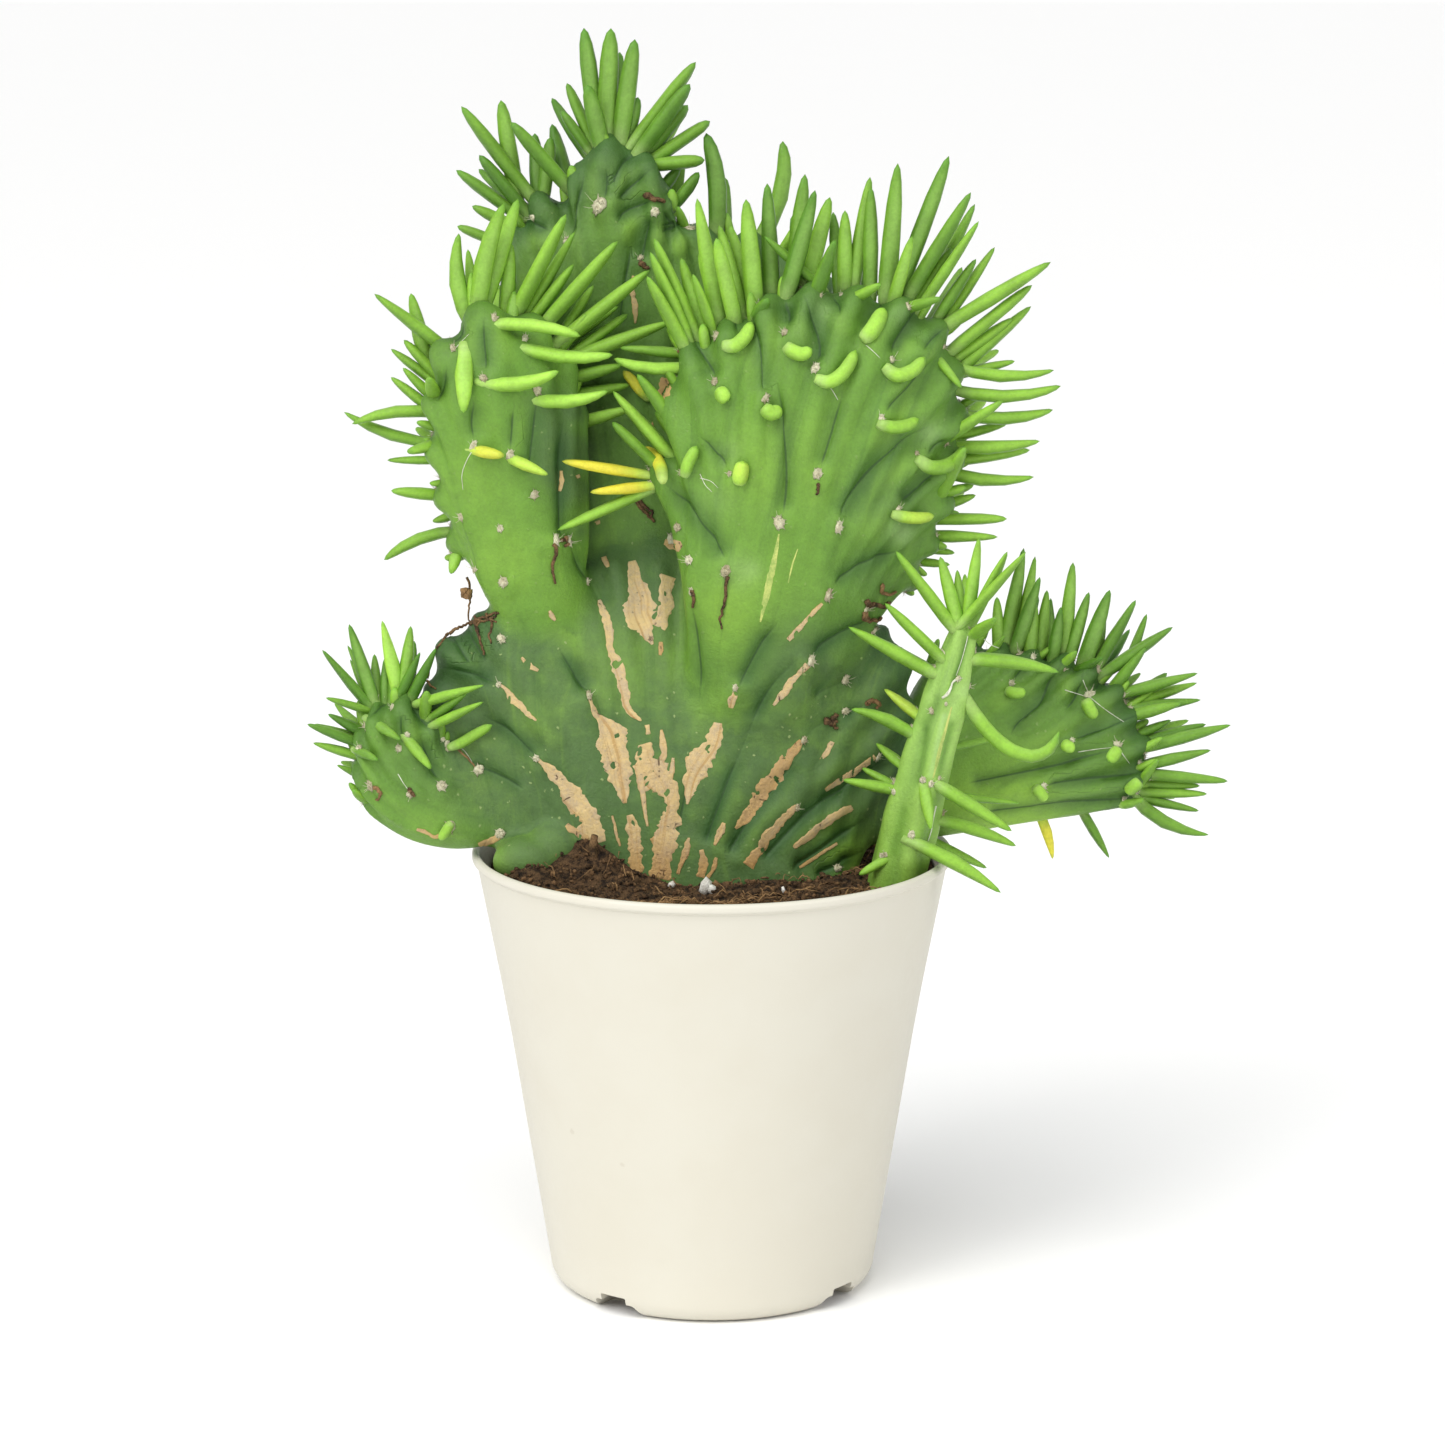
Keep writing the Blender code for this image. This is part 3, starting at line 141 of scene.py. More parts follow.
def setPoints(mesh, points):
    mesh.vertices.foreach_set("co", (np.asarray(points) * mm).astype(np.float32).ravel())
    mesh.update()


def patternFrom(piece):
    # the points and faces of a shape that is modelled once and copied
    points = np.array([vertex.co for vertex in piece.data.vertices], float)
    faces = [tuple(face.vertices) for face in piece.data.polygons]
    bpy.data.objects.remove(piece)
    return points, faces


def ballPattern(subdivisions):
    deselectAll()
    bpy.ops.mesh.primitive_ico_sphere_add(subdivisions=subdivisions, radius=1)
    return patternFrom(bpy.context.object)


class Heap:
    # gathers copies of patterns that become one piece
    def __init__(self):
        self.points, self.faces, self.layers, self.count = [], [], {}, 0

    def add(self, points, faces, **layers):
        self.points.append(np.asarray(points, float))
        self.faces.extend([tuple(i + self.count for i in face) for face in faces])
        for name, value in layers.items():
            self.layers.setdefault(name, []).append(np.broadcast_to(value, (len(points),)))
        self.count += len(points)

    def piece(self, name, material):
        made = pieceFromArrays(name, np.concatenate(self.points), self.faces, material)
        for layer, values in self.layers.items():
            addValues(made, layer, np.concatenate(values))
        return made


def unit(vectors):
    vectors = np.asarray(vectors, float)
    return vectors / np.maximum(norm(vectors, axis=-1, keepdims=True), 1e-9)


def smoothStep(low, high, x):
    t = np.clip((x - low) / (high - low), 0, 1)
    return t * t * (3 - 2 * t)


def bell(distance, reach):
    return np.exp(-(distance / reach) ** 2)


def around(sides):
    return np.linspace(0, 2 * math.pi, sides, endpoint=False)


def grouped(numbers, size=2):
    # (1, 2, 3, 4) becomes [(1, 2), (3, 4)]
    return list(zip(*[iter(numbers)] * size))


def treeOf(piece):
    return BVHTree.FromObject(piece, bpy.context.evaluated_depsgraph_get())


# Camera, where the photograph was taken from
cameraLook = {"place": (0.00237, -1.0, 0.340), "tilt": 78.17, "lens": 112.46, "focal": 4514.0, "middle": 722.5,
              "depths": (900, 1100)}


def makeCamera():
    deselectAll()
    tilt = (math.radians(cameraLook["tilt"]), 0, 0)
    bpy.ops.object.camera_add(location=cameraLook["place"], rotation=tilt)
    camera = bpy.context.object
    camera.name = "photoCamera"
    camera.data.lens = cameraLook["lens"]
    camera.data.sensor_width = 36
    camera.data.clip_start, camera.data.clip_end = 0.05, 40
    bpy.context.scene.camera = camera
    bpy.context.view_layer.update()
    return camera


camera = makeCamera()
eye, eyeTurn = np.array(camera.location) / mm, np.array(camera.matrix_world.to_3x3())


def photoRay(column, row):
    # origin in millimetres and direction of the ray through a place of the photograph
    slope = ((column - cameraLook["middle"]) / cameraLook["focal"],
             -(row - cameraLook["middle"]) / cameraLook["focal"], -1)
    direction = camera.matrix_world.to_3x3() @ Vector(slope)
    return eye, np.array(direction.normalized())


def photoPlaces(points):
    # columns and rows at which the photograph shows points
    seen = (points - eye) @ eyeTurn
    return np.stack([cameraLook["middle"] - cameraLook["focal"] * seen[:, 0] / seen[:, 2],
                     cameraLook["middle"] + cameraLook["focal"] * seen[:, 1] / seen[:, 2]], axis=1)


def hitSkin(tree, column, row):
    # point in millimetres and normal where the ray through a place of the photograph meets a piece
    origin, direction = photoRay(column, row)
    point, normal, _, _ = tree.ray_cast(Vector(origin * mm), Vector(direction))
    return (None, None) if point is None else (np.array(point) / mm, np.array(normal))


roomLook = {"aim": (0, 0, 0.15), "colour": (0.985, 0.99, 1, 1), "strength": 0.50}
lights = {
    "softSky": {"kind": "SUN", "place": (-0.6, -1.1, 2.2), "size": 0.9, "power": 1.85, "colour": (1, 0.995, 0.985)},
    "keyLight": {"kind": "AREA", "place": (-1.0, -1.15, 1.0), "size": 0.7, "power": 9, "colour": (1, 0.99, 0.965)},
    "rimLight": {"kind": "AREA", "place": (1.1, -0.8, 0.9), "size": 0.7, "power": 5, "colour": (1, 1, 1)},
}


def makeLight():
    for name, look in lights.items():
        deselectAll()
        bpy.ops.object.light_add(type=look["kind"], location=look["place"])
        light = bpy.context.object
        light.name = name
        light.data.energy, light.data.color = look["power"], look["colour"]
        setattr(light.data, "angle" if look["kind"] == "SUN" else "size", look["size"])
        toward = Vector(roomLook["aim"]) - Vector(look["place"])
        light.rotation_euler = toward.to_track_quat("-Z", "Y").to_euler()
    world = bpy.data.worlds.new("softRoom")
    bpy.context.scene.world = world
    world.use_nodes = True
    background = world.node_tree.nodes["Background"]
    background.inputs["Color"].default_value = roomLook["colour"]
    background.inputs["Strength"].default_value = roomLook["strength"]
    bpy.context.scene.view_settings.view_transform = "Standard"


makeLight()
print("stage: camera and light")


# Materials


class Paint:
    # lays out the nodes of a material or a node group; numbers, colours and sockets are set alike
    def __init__(self, tree):
        self.tree = tree

    def put(self, socket, value):
        if isinstance(value, bpy.types.NodeSocket):
            self.tree.links.new(value, socket)
        else:
            socket.default_value = (*value, 1) if isinstance(value, tuple) else value

    def node(self, kind, inputs=None, **settings):
        made = self.tree.nodes.new("ShaderNode" + kind)
        for key, value in settings.items():
            setattr(made, key, value)
        for key, value in (inputs or {}).items():
            self.put(made.inputs[key], value)
        return made

    def mix(self, share, first, second, blend="MIX"):
        made = self.node("Mix", {0: share, 6: first, 7: second}, data_type="RGBA", blend_type=blend)
        return made.outputs[2]

    def layers(self, body, look, *rows):
        # lays named colours over each other, each with its share
        for share, name in rows:
            body = self.mix(share, body, look[name])
        return body

    def calculate(self, what, *values, clamp=False):
        return self.node("Math", dict(enumerate(values)), operation=what, use_clamp=clamp).outputs[0]

    def times(self, first, second):
        return self.calculate("MULTIPLY", first, second)

    def timesPlus(self, first, second, third, clamp=False):
        return self.calculate("MULTIPLY_ADD", first, second, third, clamp=clamp)

    def ramp(self, value, low, high, outLow=0.0, outHigh=1.0):
        return self.node("MapRange", {
            "Value": value, "From Min": low, "From Max": high, "To Min": outLow, "To Max": outHigh,
        }, interpolation_type="SMOOTHSTEP").outputs["Result"]

    def read(self, name):
        return self.node("Attribute", attribute_name=name).outputs["Fac"]

    def place(self):
        return self.node("TexCoord").outputs["Object"]

    def noise(self, place, scale, detail, rough=0.5):
        return self.node("TexNoise", {"Vector": place, "Scale": scale, "Detail": detail, "Roughness": rough})

    def group(self, group, **inputs):
        return self.node("Group", inputs, node_tree=group).outputs[0]

    def mottle(self, scale, contrast):
        return self.group(softMottle, Scale=scale, Contrast=contrast)

    def grain(self):
        return self.group(growthGrain, Across=self.read("grainAcross"), Along=self.read("grainAlong"))

    def tone(self, body, tone):
        grey = self.node("CombineColor", {"Red": tone, "Green": tone, "Blue": tone}).outputs[0]
        return self.mix(1.0, body, grey, "MULTIPLY")

    def finish(self, body, height, strength, distance, rough=None):
        self.put(self.shader.inputs["Base Color"], body)
        if rough is not None:
            self.put(self.shader.inputs["Roughness"], rough)
        bump = self.node("Bump", {"Height": height, "Strength": strength, "Distance": distance})
        self.put(self.shader.inputs["Normal"], bump.outputs["Normal"])
        return self.material


def newPaint(name, **constants):
    material = bpy.data.materials.new(name)
    material.use_nodes = True
    paint = Paint(material.node_tree)
    paint.material, paint.shader = material, material.node_tree.nodes["Principled BSDF"]
    for key, value in constants.items():
        paint.shader.inputs[key.replace("_", " ")].default_value = value
    return paint


def newGroup(name, result, **inputs):
    group = bpy.data.node_groups.new(name, "ShaderNodeTree")
    for key, value in inputs.items():
        group.interface.new_socket(key, in_out="INPUT", socket_type="NodeSocketFloat").default_value = value
    group.interface.new_socket(result, in_out="OUTPUT", socket_type="NodeSocketFloat")
    given, made = group.nodes.new("NodeGroupInput"), group.nodes.new("NodeGroupOutput")
    return group, Paint(group), given.outputs, made.inputs[result]


def makeMottleGroup():
    # soft uneven patches at two sizes, on Object coordinates
    group, paint, given, result = newGroup("softMottle", "Mottle", Scale=60.0, Contrast=1.0)
    place = paint.place()
    broad = paint.noise(place, given["Scale"], 3.0).outputs["Fac"]
    fine = paint.noise(place, paint.times(given["Scale"], 5.5), 4.0, 0.6).outputs["Fac"]
    centred = paint.calculate("SUBTRACT", paint.timesPlus(fine, 0.45, paint.times(broad, 0.55)), 0.5)
    paint.put(result, paint.timesPlus(centred, given["Contrast"], 0.5, True))
    return group


def makeFleckGroup():
    # sparse pale specks, each one a small ragged dot
    group, paint, given, result = newGroup("paleFlecks", "Mask", Scale=400.0, Amount=0.3)
    place = paint.place()
    shaken = paint.noise(place, 1100.0, 2.0).outputs["Color"]
    small = paint.node("VectorMath", {0: shaken, "Scale": 0.0009}, operation="SCALE").outputs[0]
    joined = paint.node("VectorMath", {0: place, 1: small}, operation="ADD").outputs[0]
    cells = paint.node("TexVoronoi", {"Vector": joined, "Scale": given["Scale"]}).outputs
    chance = paint.node("SeparateColor", {"Color": cells["Color"]}).outputs["Red"]
    limit = paint.times(paint.noise(place, 70.0, 2.0).outputs["Fac"], given["Amount"])
    dot = paint.ramp(cells["Distance"], 0.24, 0.12)
    paint.put(result, paint.times(paint.calculate("LESS_THAN", chance, limit), dot))
    return group


def makeGrainGroup():
    # soft bands that run with the growth, read from a place in millimetres across and along it
    group, paint, given, result = newGroup("growthGrain", "Grain", Across=0.0, Along=0.0)
    flat = paint.node("CombineXYZ", {
        "X": paint.times(given["Across"], 0.16), "Y": paint.times(given["Along"], 0.022)}).outputs[0]
    paint.put(result, paint.noise(flat, 1.0, 4.0, 0.6).outputs["Fac"])
    return group


softMottle, paleFlecks, growthGrain = makeMottleGroup(), makeFleckGroup(), makeGrainGroup()
# the light and deep colours serve paler and darker skin and also painted highlight and painted shade; the line colour
# is painted shade in furrow floors; the whitish colour after bloom is for waxy bloom and painted sheen
cactusSkin = {
    "fresh": (0.138, 0.300, 0.031), "mature": (0.077, 0.152, 0.040), "margin": (0.038, 0.104, 0.024),
    "light": (0.262, 0.478, 0.050), "deep": (0.026, 0.088, 0.015), "line": (0.016, 0.054, 0.009),
    "wax": (0.44, 0.64, 0.27), "fleck": (0.33, 0.43, 0.16), "bloom": (0.19, 0.31, 0.13),
}


def makeSkinMaterial():
    paint = newPaint("cactusSkin", Specular_IOR_Level=0.36)
    mottle, fine, pores = paint.mottle(42.0, 1.7), paint.mottle(300.0, 1.7), paint.mottle(1500.0, 1.8)
    # the age attribute holds the skin's age, and at some spots painted shade as well
    age, strength, grain = paint.read("age"), paint.read("furrowStrength"), paint.grain()
    away = paint.calculate("ABSOLUTE", paint.read("furrowAway"))
    body = paint.mix(age, cactusSkin["fresh"], cactusSkin["mature"])
    bloom = paint.times(paint.ramp(mottle, 0.42, 0.12), paint.times(age, 0.30))
    # glow lays painted highlight on fold crests, and paler skin
    body = paint.layers(
        body, cactusSkin, (paint.read("glow"), "light"), (paint.ramp(mottle, 0.45, 0.85, 0.0, 0.20), "light"),
        (paint.ramp(grain, 0.52, 0.78, 0.0, 0.30), "light"), (paint.ramp(grain, 0.48, 0.26, 0.0, 0.42), "deep"),
        # then waxy bloom and painted sheen
        (bloom, "bloom"), (paint.read("wax"), "wax"), (paint.times(paint.read("margin"), 0.80), "margin"))
    body = paint.tone(body, paint.ramp(paint.timesPlus(pores, 0.4, paint.times(fine, 0.6)), 0.25, 0.75, 0.88, 1.11))
    flecks = paint.group(paleFlecks, Scale=620.0, Amount=0.18)
    # painted shade in the furrows and pleats, laid on with the deep colour
    paintedShadeShare = paint.times(paint.read("hollow"), paint.timesPlus(age, 0.40, 0.48))
    # a painted dark line of shade along each furrow's floor
    line = paint.times(paint.ramp(away, 0.36, 0.06), strength)
    body = paint.layers(body, cactusSkin, (paint.times(flecks, paint.timesPlus(age, 0.62, 0.10)), "fleck"),
                        (paintedShadeShare, "deep"), (paint.times(line, 0.72), "line"))
    height = paint.timesPlus(flecks, 0.25, paint.timesPlus(pores, 0.35, paint.times(fine, 0.45)))
    height = paint.calculate("SUBTRACT", height, paint.times(paint.ramp(away, 0.9, 0.0), strength))
    return paint.finish(body, height, 0.6, 0.0006, paint.timesPlus(age, 0.08, paint.ramp(fine, 0.2, 0.8, 0.34, 0.50)))


# pale is the painted highlight on a leaf's upper side, and under the painted shade beneath it
leafFlesh = {
    "deep": (0.052, 0.160, 0.011), "bright": (0.246, 0.474, 0.044), "young": (0.37, 0.66, 0.076),
    "yellow": (0.74, 0.66, 0.055), "under": (0.040, 0.120, 0.016), "base": (0.36, 0.52, 0.17),
    "tip": (0.085, 0.26, 0.030), "pale": (0.34, 0.56, 0.14),
}


def makeLeafMaterial():
    # tone runs from deep green at 0 over bright green at 0.6 and the green of young leaves at 0.78 to yellow at 1
    paint = newPaint("leafFlesh", Specular_IOR_Level=0.34, Subsurface_Weight=0.12, Subsurface_Radius=(0.6, 1.0, 0.2),
                     Subsurface_Scale=0.0018)
    tone, along, ridge = paint.read("tone"), paint.read("along"), paint.read("ridge")
    body = paint.mix(paint.ramp(tone, 0.0, 0.6), leafFlesh["deep"], leafFlesh["bright"])
    ripe = paint.times(paint.ramp(tone, 0.78, 0.98), paint.ramp(along, 0.16, 0.50, 0.35, 1.0))
    # ridge lays painted highlight on the upper side and painted shade on the underside
    body = paint.layers(
        body, leafFlesh, (paint.ramp(tone, 0.6, 0.78), "young"), (paint.ramp(ridge, 0.50, 1.0, 0.0, 0.34), "pale"),
        (paint.ramp(ridge, 0.10, -0.90, 0.0, 0.42), "under"), (ripe, "yellow"),
        (paint.ramp(along, 0.30, 0.08, 0.0, 0.62), "base"), (paint.ramp(along, 0.86, 1.0, 0.0, 0.45), "tip"))
    mottle, pores = paint.mottle(150.0, 1.7), paint.mottle(1700.0, 1.8)
    body = paint.tone(body, paint.ramp(paint.timesPlus(pores, 0.35, paint.times(mottle, 0.65)), 0.25, 0.75, 0.84, 1.15))
    height = paint.timesPlus(pores, 0.5, mottle)
    return paint.finish(body, height, 0.35, 0.0004, paint.ramp(mottle, 0.2, 0.8, 0.36, 0.50))


corkLook = {
    "pale": (0.84, 0.64, 0.31), "warm": (0.52, 0.28, 0.080), "dark": (0.10, 0.055, 0.028), "grey": (0.66, 0.52, 0.33),
}


def makeCorkMaterial():
    paint = newPaint("corkScar", Specular_IOR_Level=0.2, Roughness=0.82)
    grain, mottle, fine = paint.grain(), paint.mottle(230.0, 2.0), paint.mottle(1300.0, 2.0)
    cracks = paint.node("TexVoronoi", {"Vector": paint.place(), "Scale": 190.0}, feature="DISTANCE_TO_EDGE")
    crack = paint.times(paint.ramp(cracks.outputs["Distance"], 0.045, 0.012), paint.ramp(mottle, 0.60, 0.75))
    body = paint.mix(paint.ramp(mottle, 0.25, 0.8), corkLook["pale"], corkLook["grey"])
    body = paint.layers(
        body, corkLook, (paint.times(paint.read("warmth"), 0.75), "warm"),
        (paint.ramp(paint.read("rim"), 0.26, 0.0, 0.0, 0.90), "warm"),
        (paint.ramp(grain, 0.50, 0.26, 0.0, 0.80), "warm"), (paint.ramp(fine, 0.35, 0.10, 0.0, 0.40), "dark"),
        (paint.times(crack, 0.8), "dark"))
    return paint.finish(body, paint.calculate("SUBTRACT", paint.timesPlus(grain, 0.8, fine), crack), 0.8, 0.0006)


def makeSimpleMaterial(name, dark, light, scale, roughness, depth, tintName=None):
    # two tones in soft patches, with a matching relief
    paint = newPaint(name, Roughness=roughness, Specular_IOR_Level=0.25)
    mottle = paint.mottle(scale, 2.0)
    share = paint.ramp(mottle, 0.25, 0.75)
    if tintName:
        share = paint.timesPlus(share, 0.5, paint.times(paint.read(tintName), 0.6), True)
    return paint.finish(paint.mix(share, dark, light), mottle, 0.8, depth)


potLook = {"cream": (0.640, 0.615, 0.530), "warm": (0.625, 0.595, 0.505), "dust": (0.42, 0.36, 0.27)}


def makePotMaterial():
    paint = newPaint("potPlastic", Specular_IOR_Level=0.34)
    broad, fine = paint.mottle(9.0, 1.6), paint.mottle(700.0, 1.5)
    body = paint.mix(paint.ramp(broad, 0.3, 0.7), potLook["cream"], potLook["warm"])
    dust = paint.times(paint.read("inside"), paint.ramp(fine, 0.3, 0.8, 0.1, 0.5))
    specks = paint.times(paint.group(paleFlecks, Scale=260.0, Amount=0.03), 0.25)
    body = paint.layers(body, potLook, (dust, "dust"), (specks, "dust"))
    return paint.finish(body, fine, 0.10, 0.0003, paint.ramp(fine, 0.2, 0.8, 0.40, 0.52))


skinMaterial, leafMaterial, corkMaterial, potMaterial = (
    makeSkinMaterial(), makeLeafMaterial(), makeCorkMaterial(), makePotMaterial())
# The others: dark and light colour, size of the patches, roughness, depth of the relief, tint
woolMaterial, soilMaterial, fibreMaterial, perliteMaterial, driedMaterial, spineMaterial, stainMaterial = (
    makeSimpleMaterial(*row) for row in (
        ("areoleWool", (0.36, 0.30, 0.17), (0.80, 0.78, 0.56), 900.0, 0.9, 0.0005, "tint"),
        ("pottingSoil", (0.013, 0.008, 0.005), (0.275, 0.155, 0.072), 620.0, 0.95, 0.0012, "tint"),
        ("plantFibre", (0.070, 0.034, 0.015), (0.42, 0.25, 0.11), 300.0, 0.85, 0.0003, "tint"),
        ("perlite", (0.62, 0.59, 0.52), (0.86, 0.84, 0.78), 500.0, 0.85, 0.0008),
        ("driedPlant", (0.026, 0.017, 0.011), (0.38, 0.22, 0.095), 500.0, 0.85, 0.0006, "tint"),
        ("paleSpine", (0.55, 0.56, 0.42), (0.82, 0.83, 0.72), 500.0, 0.6, 0.0002),
        ("paleStreak", (0.30, 0.42, 0.10), (0.55, 0.60, 0.17), 260.0, 0.5, 0.0002),
    ))
print("stage: materials")


# The crest's fans, from the same guide lines as the solids: each is a thick curved sheet from a root line, past a
# waist line, to a crest line. The lines are x, y and z in millimetres, point after point.
fans = {
    "trunk": {
        "root": (-27, -2, 67, -10, -2, 64, 10, -2, 64, 27, 1, 66),
        "waist": (
            -45, -4, 98, -44, -4, 108, -39, -3, 119, -32, -3, 128, -24, -1, 131, -10, 0, 132, 6, -1, 131, 18, -1, 124,
            24, 0, 115, 29, 1, 105, 32, 3, 95,
        ),
        "edge": (
            -59, -4, 110, -64, -4, 119, -65, -4, 130, -64, -4, 141, -60, -3, 150, -48, 0, 157, -36, 5, 160,
            -24, 11, 170, -8, 13, 174, 8, 12, 168, 22, 5, 154, 32, 2, 152, 40, 0, 152, 45, 0, 141, 44, 1, 126,
            41, 3, 104,
        ),
        "halfThick": (13, 11, 6.5), "folds": 18, "age": 1.0,
    },
    "back": {
        "root": (-14, 4, 68, 0, 6, 67, 14, 6, 68),
        "waist": (-30, 11, 162, -30, 13, 180, -23, 15, 194, -14, 15, 197, -4, 16, 195, 7, 18, 187, 16, 19, 168),
        "edge": (
            -38, 20, 201, -44, 20, 224, -45, 20, 240, -40, 20, 247, -33, 20, 248, -29, 20, 257, -22, 20, 261,
            -15, 20, 257, -11, 20, 246, -2, 20, 240, 11, 22, 238, 25, 24, 230, 31, 24, 211,
        ),
        "halfThick": (12, 9, 6.5), "folds": 14, "age": 0.45,
    },
    "right": {
        "root": (-3, 1, 108, 3, 0, 105, 10, 0, 105, 17, 1, 110),
        "waist": (-6, -7, 163, 0, -10, 176, 8, -11, 185, 18, -11, 188, 27, -10, 184, 32, -7, 171, 35, -2, 153),
        "edge": (
            -16, -8, 187, -5, -8, 198, -6, -9, 217, 5, -8, 223, 19, -6, 229, 35, -5, 228, 49, -4, 223, 55, -2, 205,
            53, 0, 184, 43, 3, 158,
        ),
        "halfThick": (6.5, 9.5, 6.5), "folds": 16, "age": 0.15,
    },
    "left": {
        "root": (-44, 0, 134, -39, 1, 130, -34, 2, 130, -29, 3, 134),
        "waist": (-50, -2, 162, -53, -4, 182, -49, -6, 194, -43, -6, 196, -37, -3, 189, -33, 2, 172),
        "edge": (
            -57, -1, 167, -61, -3, 186, -62, -4, 202, -59, -4, 216, -52, -2, 223, -44, 1, 221, -37, 4, 214,
            -33, 5, 201, -33, 5, 185,
        ),
        "halfThick": (5.5, 9.5, 6), "folds": 10, "age": 0.1,
    },
    "lowLeft": {
        "root": (-41, -5, 105, -42, -4, 108, -43, -3, 111, -44, -2, 114),
        "waist": (-62, -7, 104, -66, -8, 110, -66, -8, 117, -62, -7, 120, -55, -4, 117),
        "edge": (-77, -8, 111, -80, -8, 121, -78, -8, 133, -73, -8, 138, -66, -8, 138, -62, -7, 132, -61, -6, 123),
        "halfThick": (6, 7, 5), "folds": 7, "age": 0.0,
    },
    "lowRight": {
        "root": (30, 5, 115, 33, 5, 110, 35, 5, 105, 36, 5, 101),
        "waist": (41, 9, 128, 52, 10, 131, 63, 9, 128, 70, 8, 121, 70, 6, 112, 64, 6, 105),
        "edge": (
            49, 13, 143, 62, 13, 146, 74, 12, 144, 86, 12, 141, 94, 11, 135, 99, 10, 125, 100, 9, 115, 95, 8, 108,
        ),
        "halfThick": (6, 7.5, 5.5), "folds": 11, "age": 0.3,
    },
}
# Small swellings at the foot of the plant: middle and reaches in millimetres
baseLobes = (((-42, -14, 102), (7.5, 6.0, 5.6)), ((-35.5, -11, 104), (7.0, 6.0, 7.0)))
fanForm = {"foldDepth": 0.9, "scallop": 0.8, "edgeRoundFrom": 0.86}
skinForm = {"voxel": 0.92, "step": 1.25, "rowStep": 1.6, "smoothing": 26, "seamSpread": 14, "ageSpread": 40,
            "marginSpread": 4}


def lineThrough(guides, places):
    knots = np.array(guides, float)
    steps = norm(np.diff(knots, axis=0), axis=1)
    marks = np.concatenate([[0], np.cumsum(steps)]) / steps.sum()
    slopes = np.gradient(knots, marks, axis=0)
    places = np.clip(np.atleast_1d(places).astype(float), 0, 1)
    i = np.clip(np.searchsorted(marks, places, side="right") - 1, 0, len(knots) - 2)
    span = (marks[i + 1] - marks[i])[:, None]
    t = (places - marks[i])[:, None] / span
    return (
        knots[i] * (2 * t**3 - 3 * t**2 + 1)
        + slopes[i] * span * (t**3 - 2 * t**2 + t)
        + knots[i + 1] * (3 * t**2 - 2 * t**3)
        + slopes[i + 1] * span * (t**3 - t**2)
    )


def blendThree(values, v):
    first, second, third = values
    return first * (1 - v) * (1 - 2 * v) + second * 4 * v * (1 - v) + third * v * (2 * v - 1)


def fanMiddle(fan, u, v):
    lines = [lineThrough(grouped(fan[name], 3), u) for name in ("root", "waist", "edge")]
    return blendThree(lines, np.atleast_1d(v)[:, None])


def fanAxes(fan, u, v):
    small = 0.004
    along = unit(fanMiddle(fan, np.minimum(u + small, 1), v) - fanMiddle(fan, np.maximum(u - small, 0), v))
    outward = unit(fanMiddle(fan, u, np.minimum(v + small, 1)) - fanMiddle(fan, u, np.maximum(v - small, 0)))
    return along, outward, unit(np.cross(along, outward))


def halfThickness(fan, u, v):
    ends = np.sqrt(np.clip(4 * u * (1 - u), 0, 1)) ** 0.6
    rounding = np.clip((v - fanForm["edgeRoundFrom"]) / (1 - fanForm["edgeRoundFrom"]), 0, 1)
    wave = np.cos(2 * math.pi * fan["folds"] * u)
    folds = fanForm["foldDepth"] * smoothStep(0.25, 0.85, v) * wave
    return (blendThree(fan["halfThick"], v) - folds) * ends * np.sqrt(1 - rounding**2.4)


def fanSurface(fan, u, v, side):
    _, outward, normal = fanAxes(fan, u, v)
    wave = np.cos(2 * math.pi * fan["folds"] * u)
    scallop = fanForm["scallop"] * smoothStep(0.7, 1.0, v) * -wave
    lifted = fanMiddle(fan, u, v) + outward * scallop[:, None]
    return lifted + normal * (side * halfThickness(fan, u, v))[:, None]


def crestLength(fan):
    points = lineThrough(grouped(fan["edge"], 3), np.linspace(0, 1, 60))
    return norm(np.diff(points, axis=0), axis=1).sum()


def fanShell(fan):
    # fine closed rings over the front and back behind, with each point's place on the fan
    count = int(crestLength(fan) / skinForm["step"])
    height = norm(fanMiddle(fan, 0.5, 1.0) - fanMiddle(fan, 0.5, 0.0))
    lower = np.linspace(0, 0.86, max(int(height * 0.86 / skinForm["rowStep"]), 12))
    upper = 1 - 0.14 * (1 - np.linspace(0, 1, 11)[1:]) ** 2
    columns = np.arange(count + 1) / count
    points, places, rings = [], [], []
    total = 0
    for v in np.concatenate([lower, upper]):
        level = np.full(count + 1, float(v))
        ring = list(range(total, total + count + 1))
        points.append(fanSurface(fan, columns, level, 1))
        places += [(u, v, 1.0) for u in columns]
        if v < 1:
            points.append(fanSurface(fan, columns, level, -1)[1:-1][::-1])
            places += [(u, v, -1.0) for u in columns[1:-1][::-1]]
            ring += list(range(total + count + 1, total + 2 * count))
        else:
            ring += ring[1:-1][::-1]
        total = len(places)
        rings.append(ring)
    faces = [(low[i], low[(i + 1) % (2 * count)], high[(i + 1) % (2 * count)], high[i])
             for low, high in zip(rings, rings[1:]) for i in range(2 * count)]
    return np.concatenate(points), faces + [tuple(reversed(rings[0]))], places


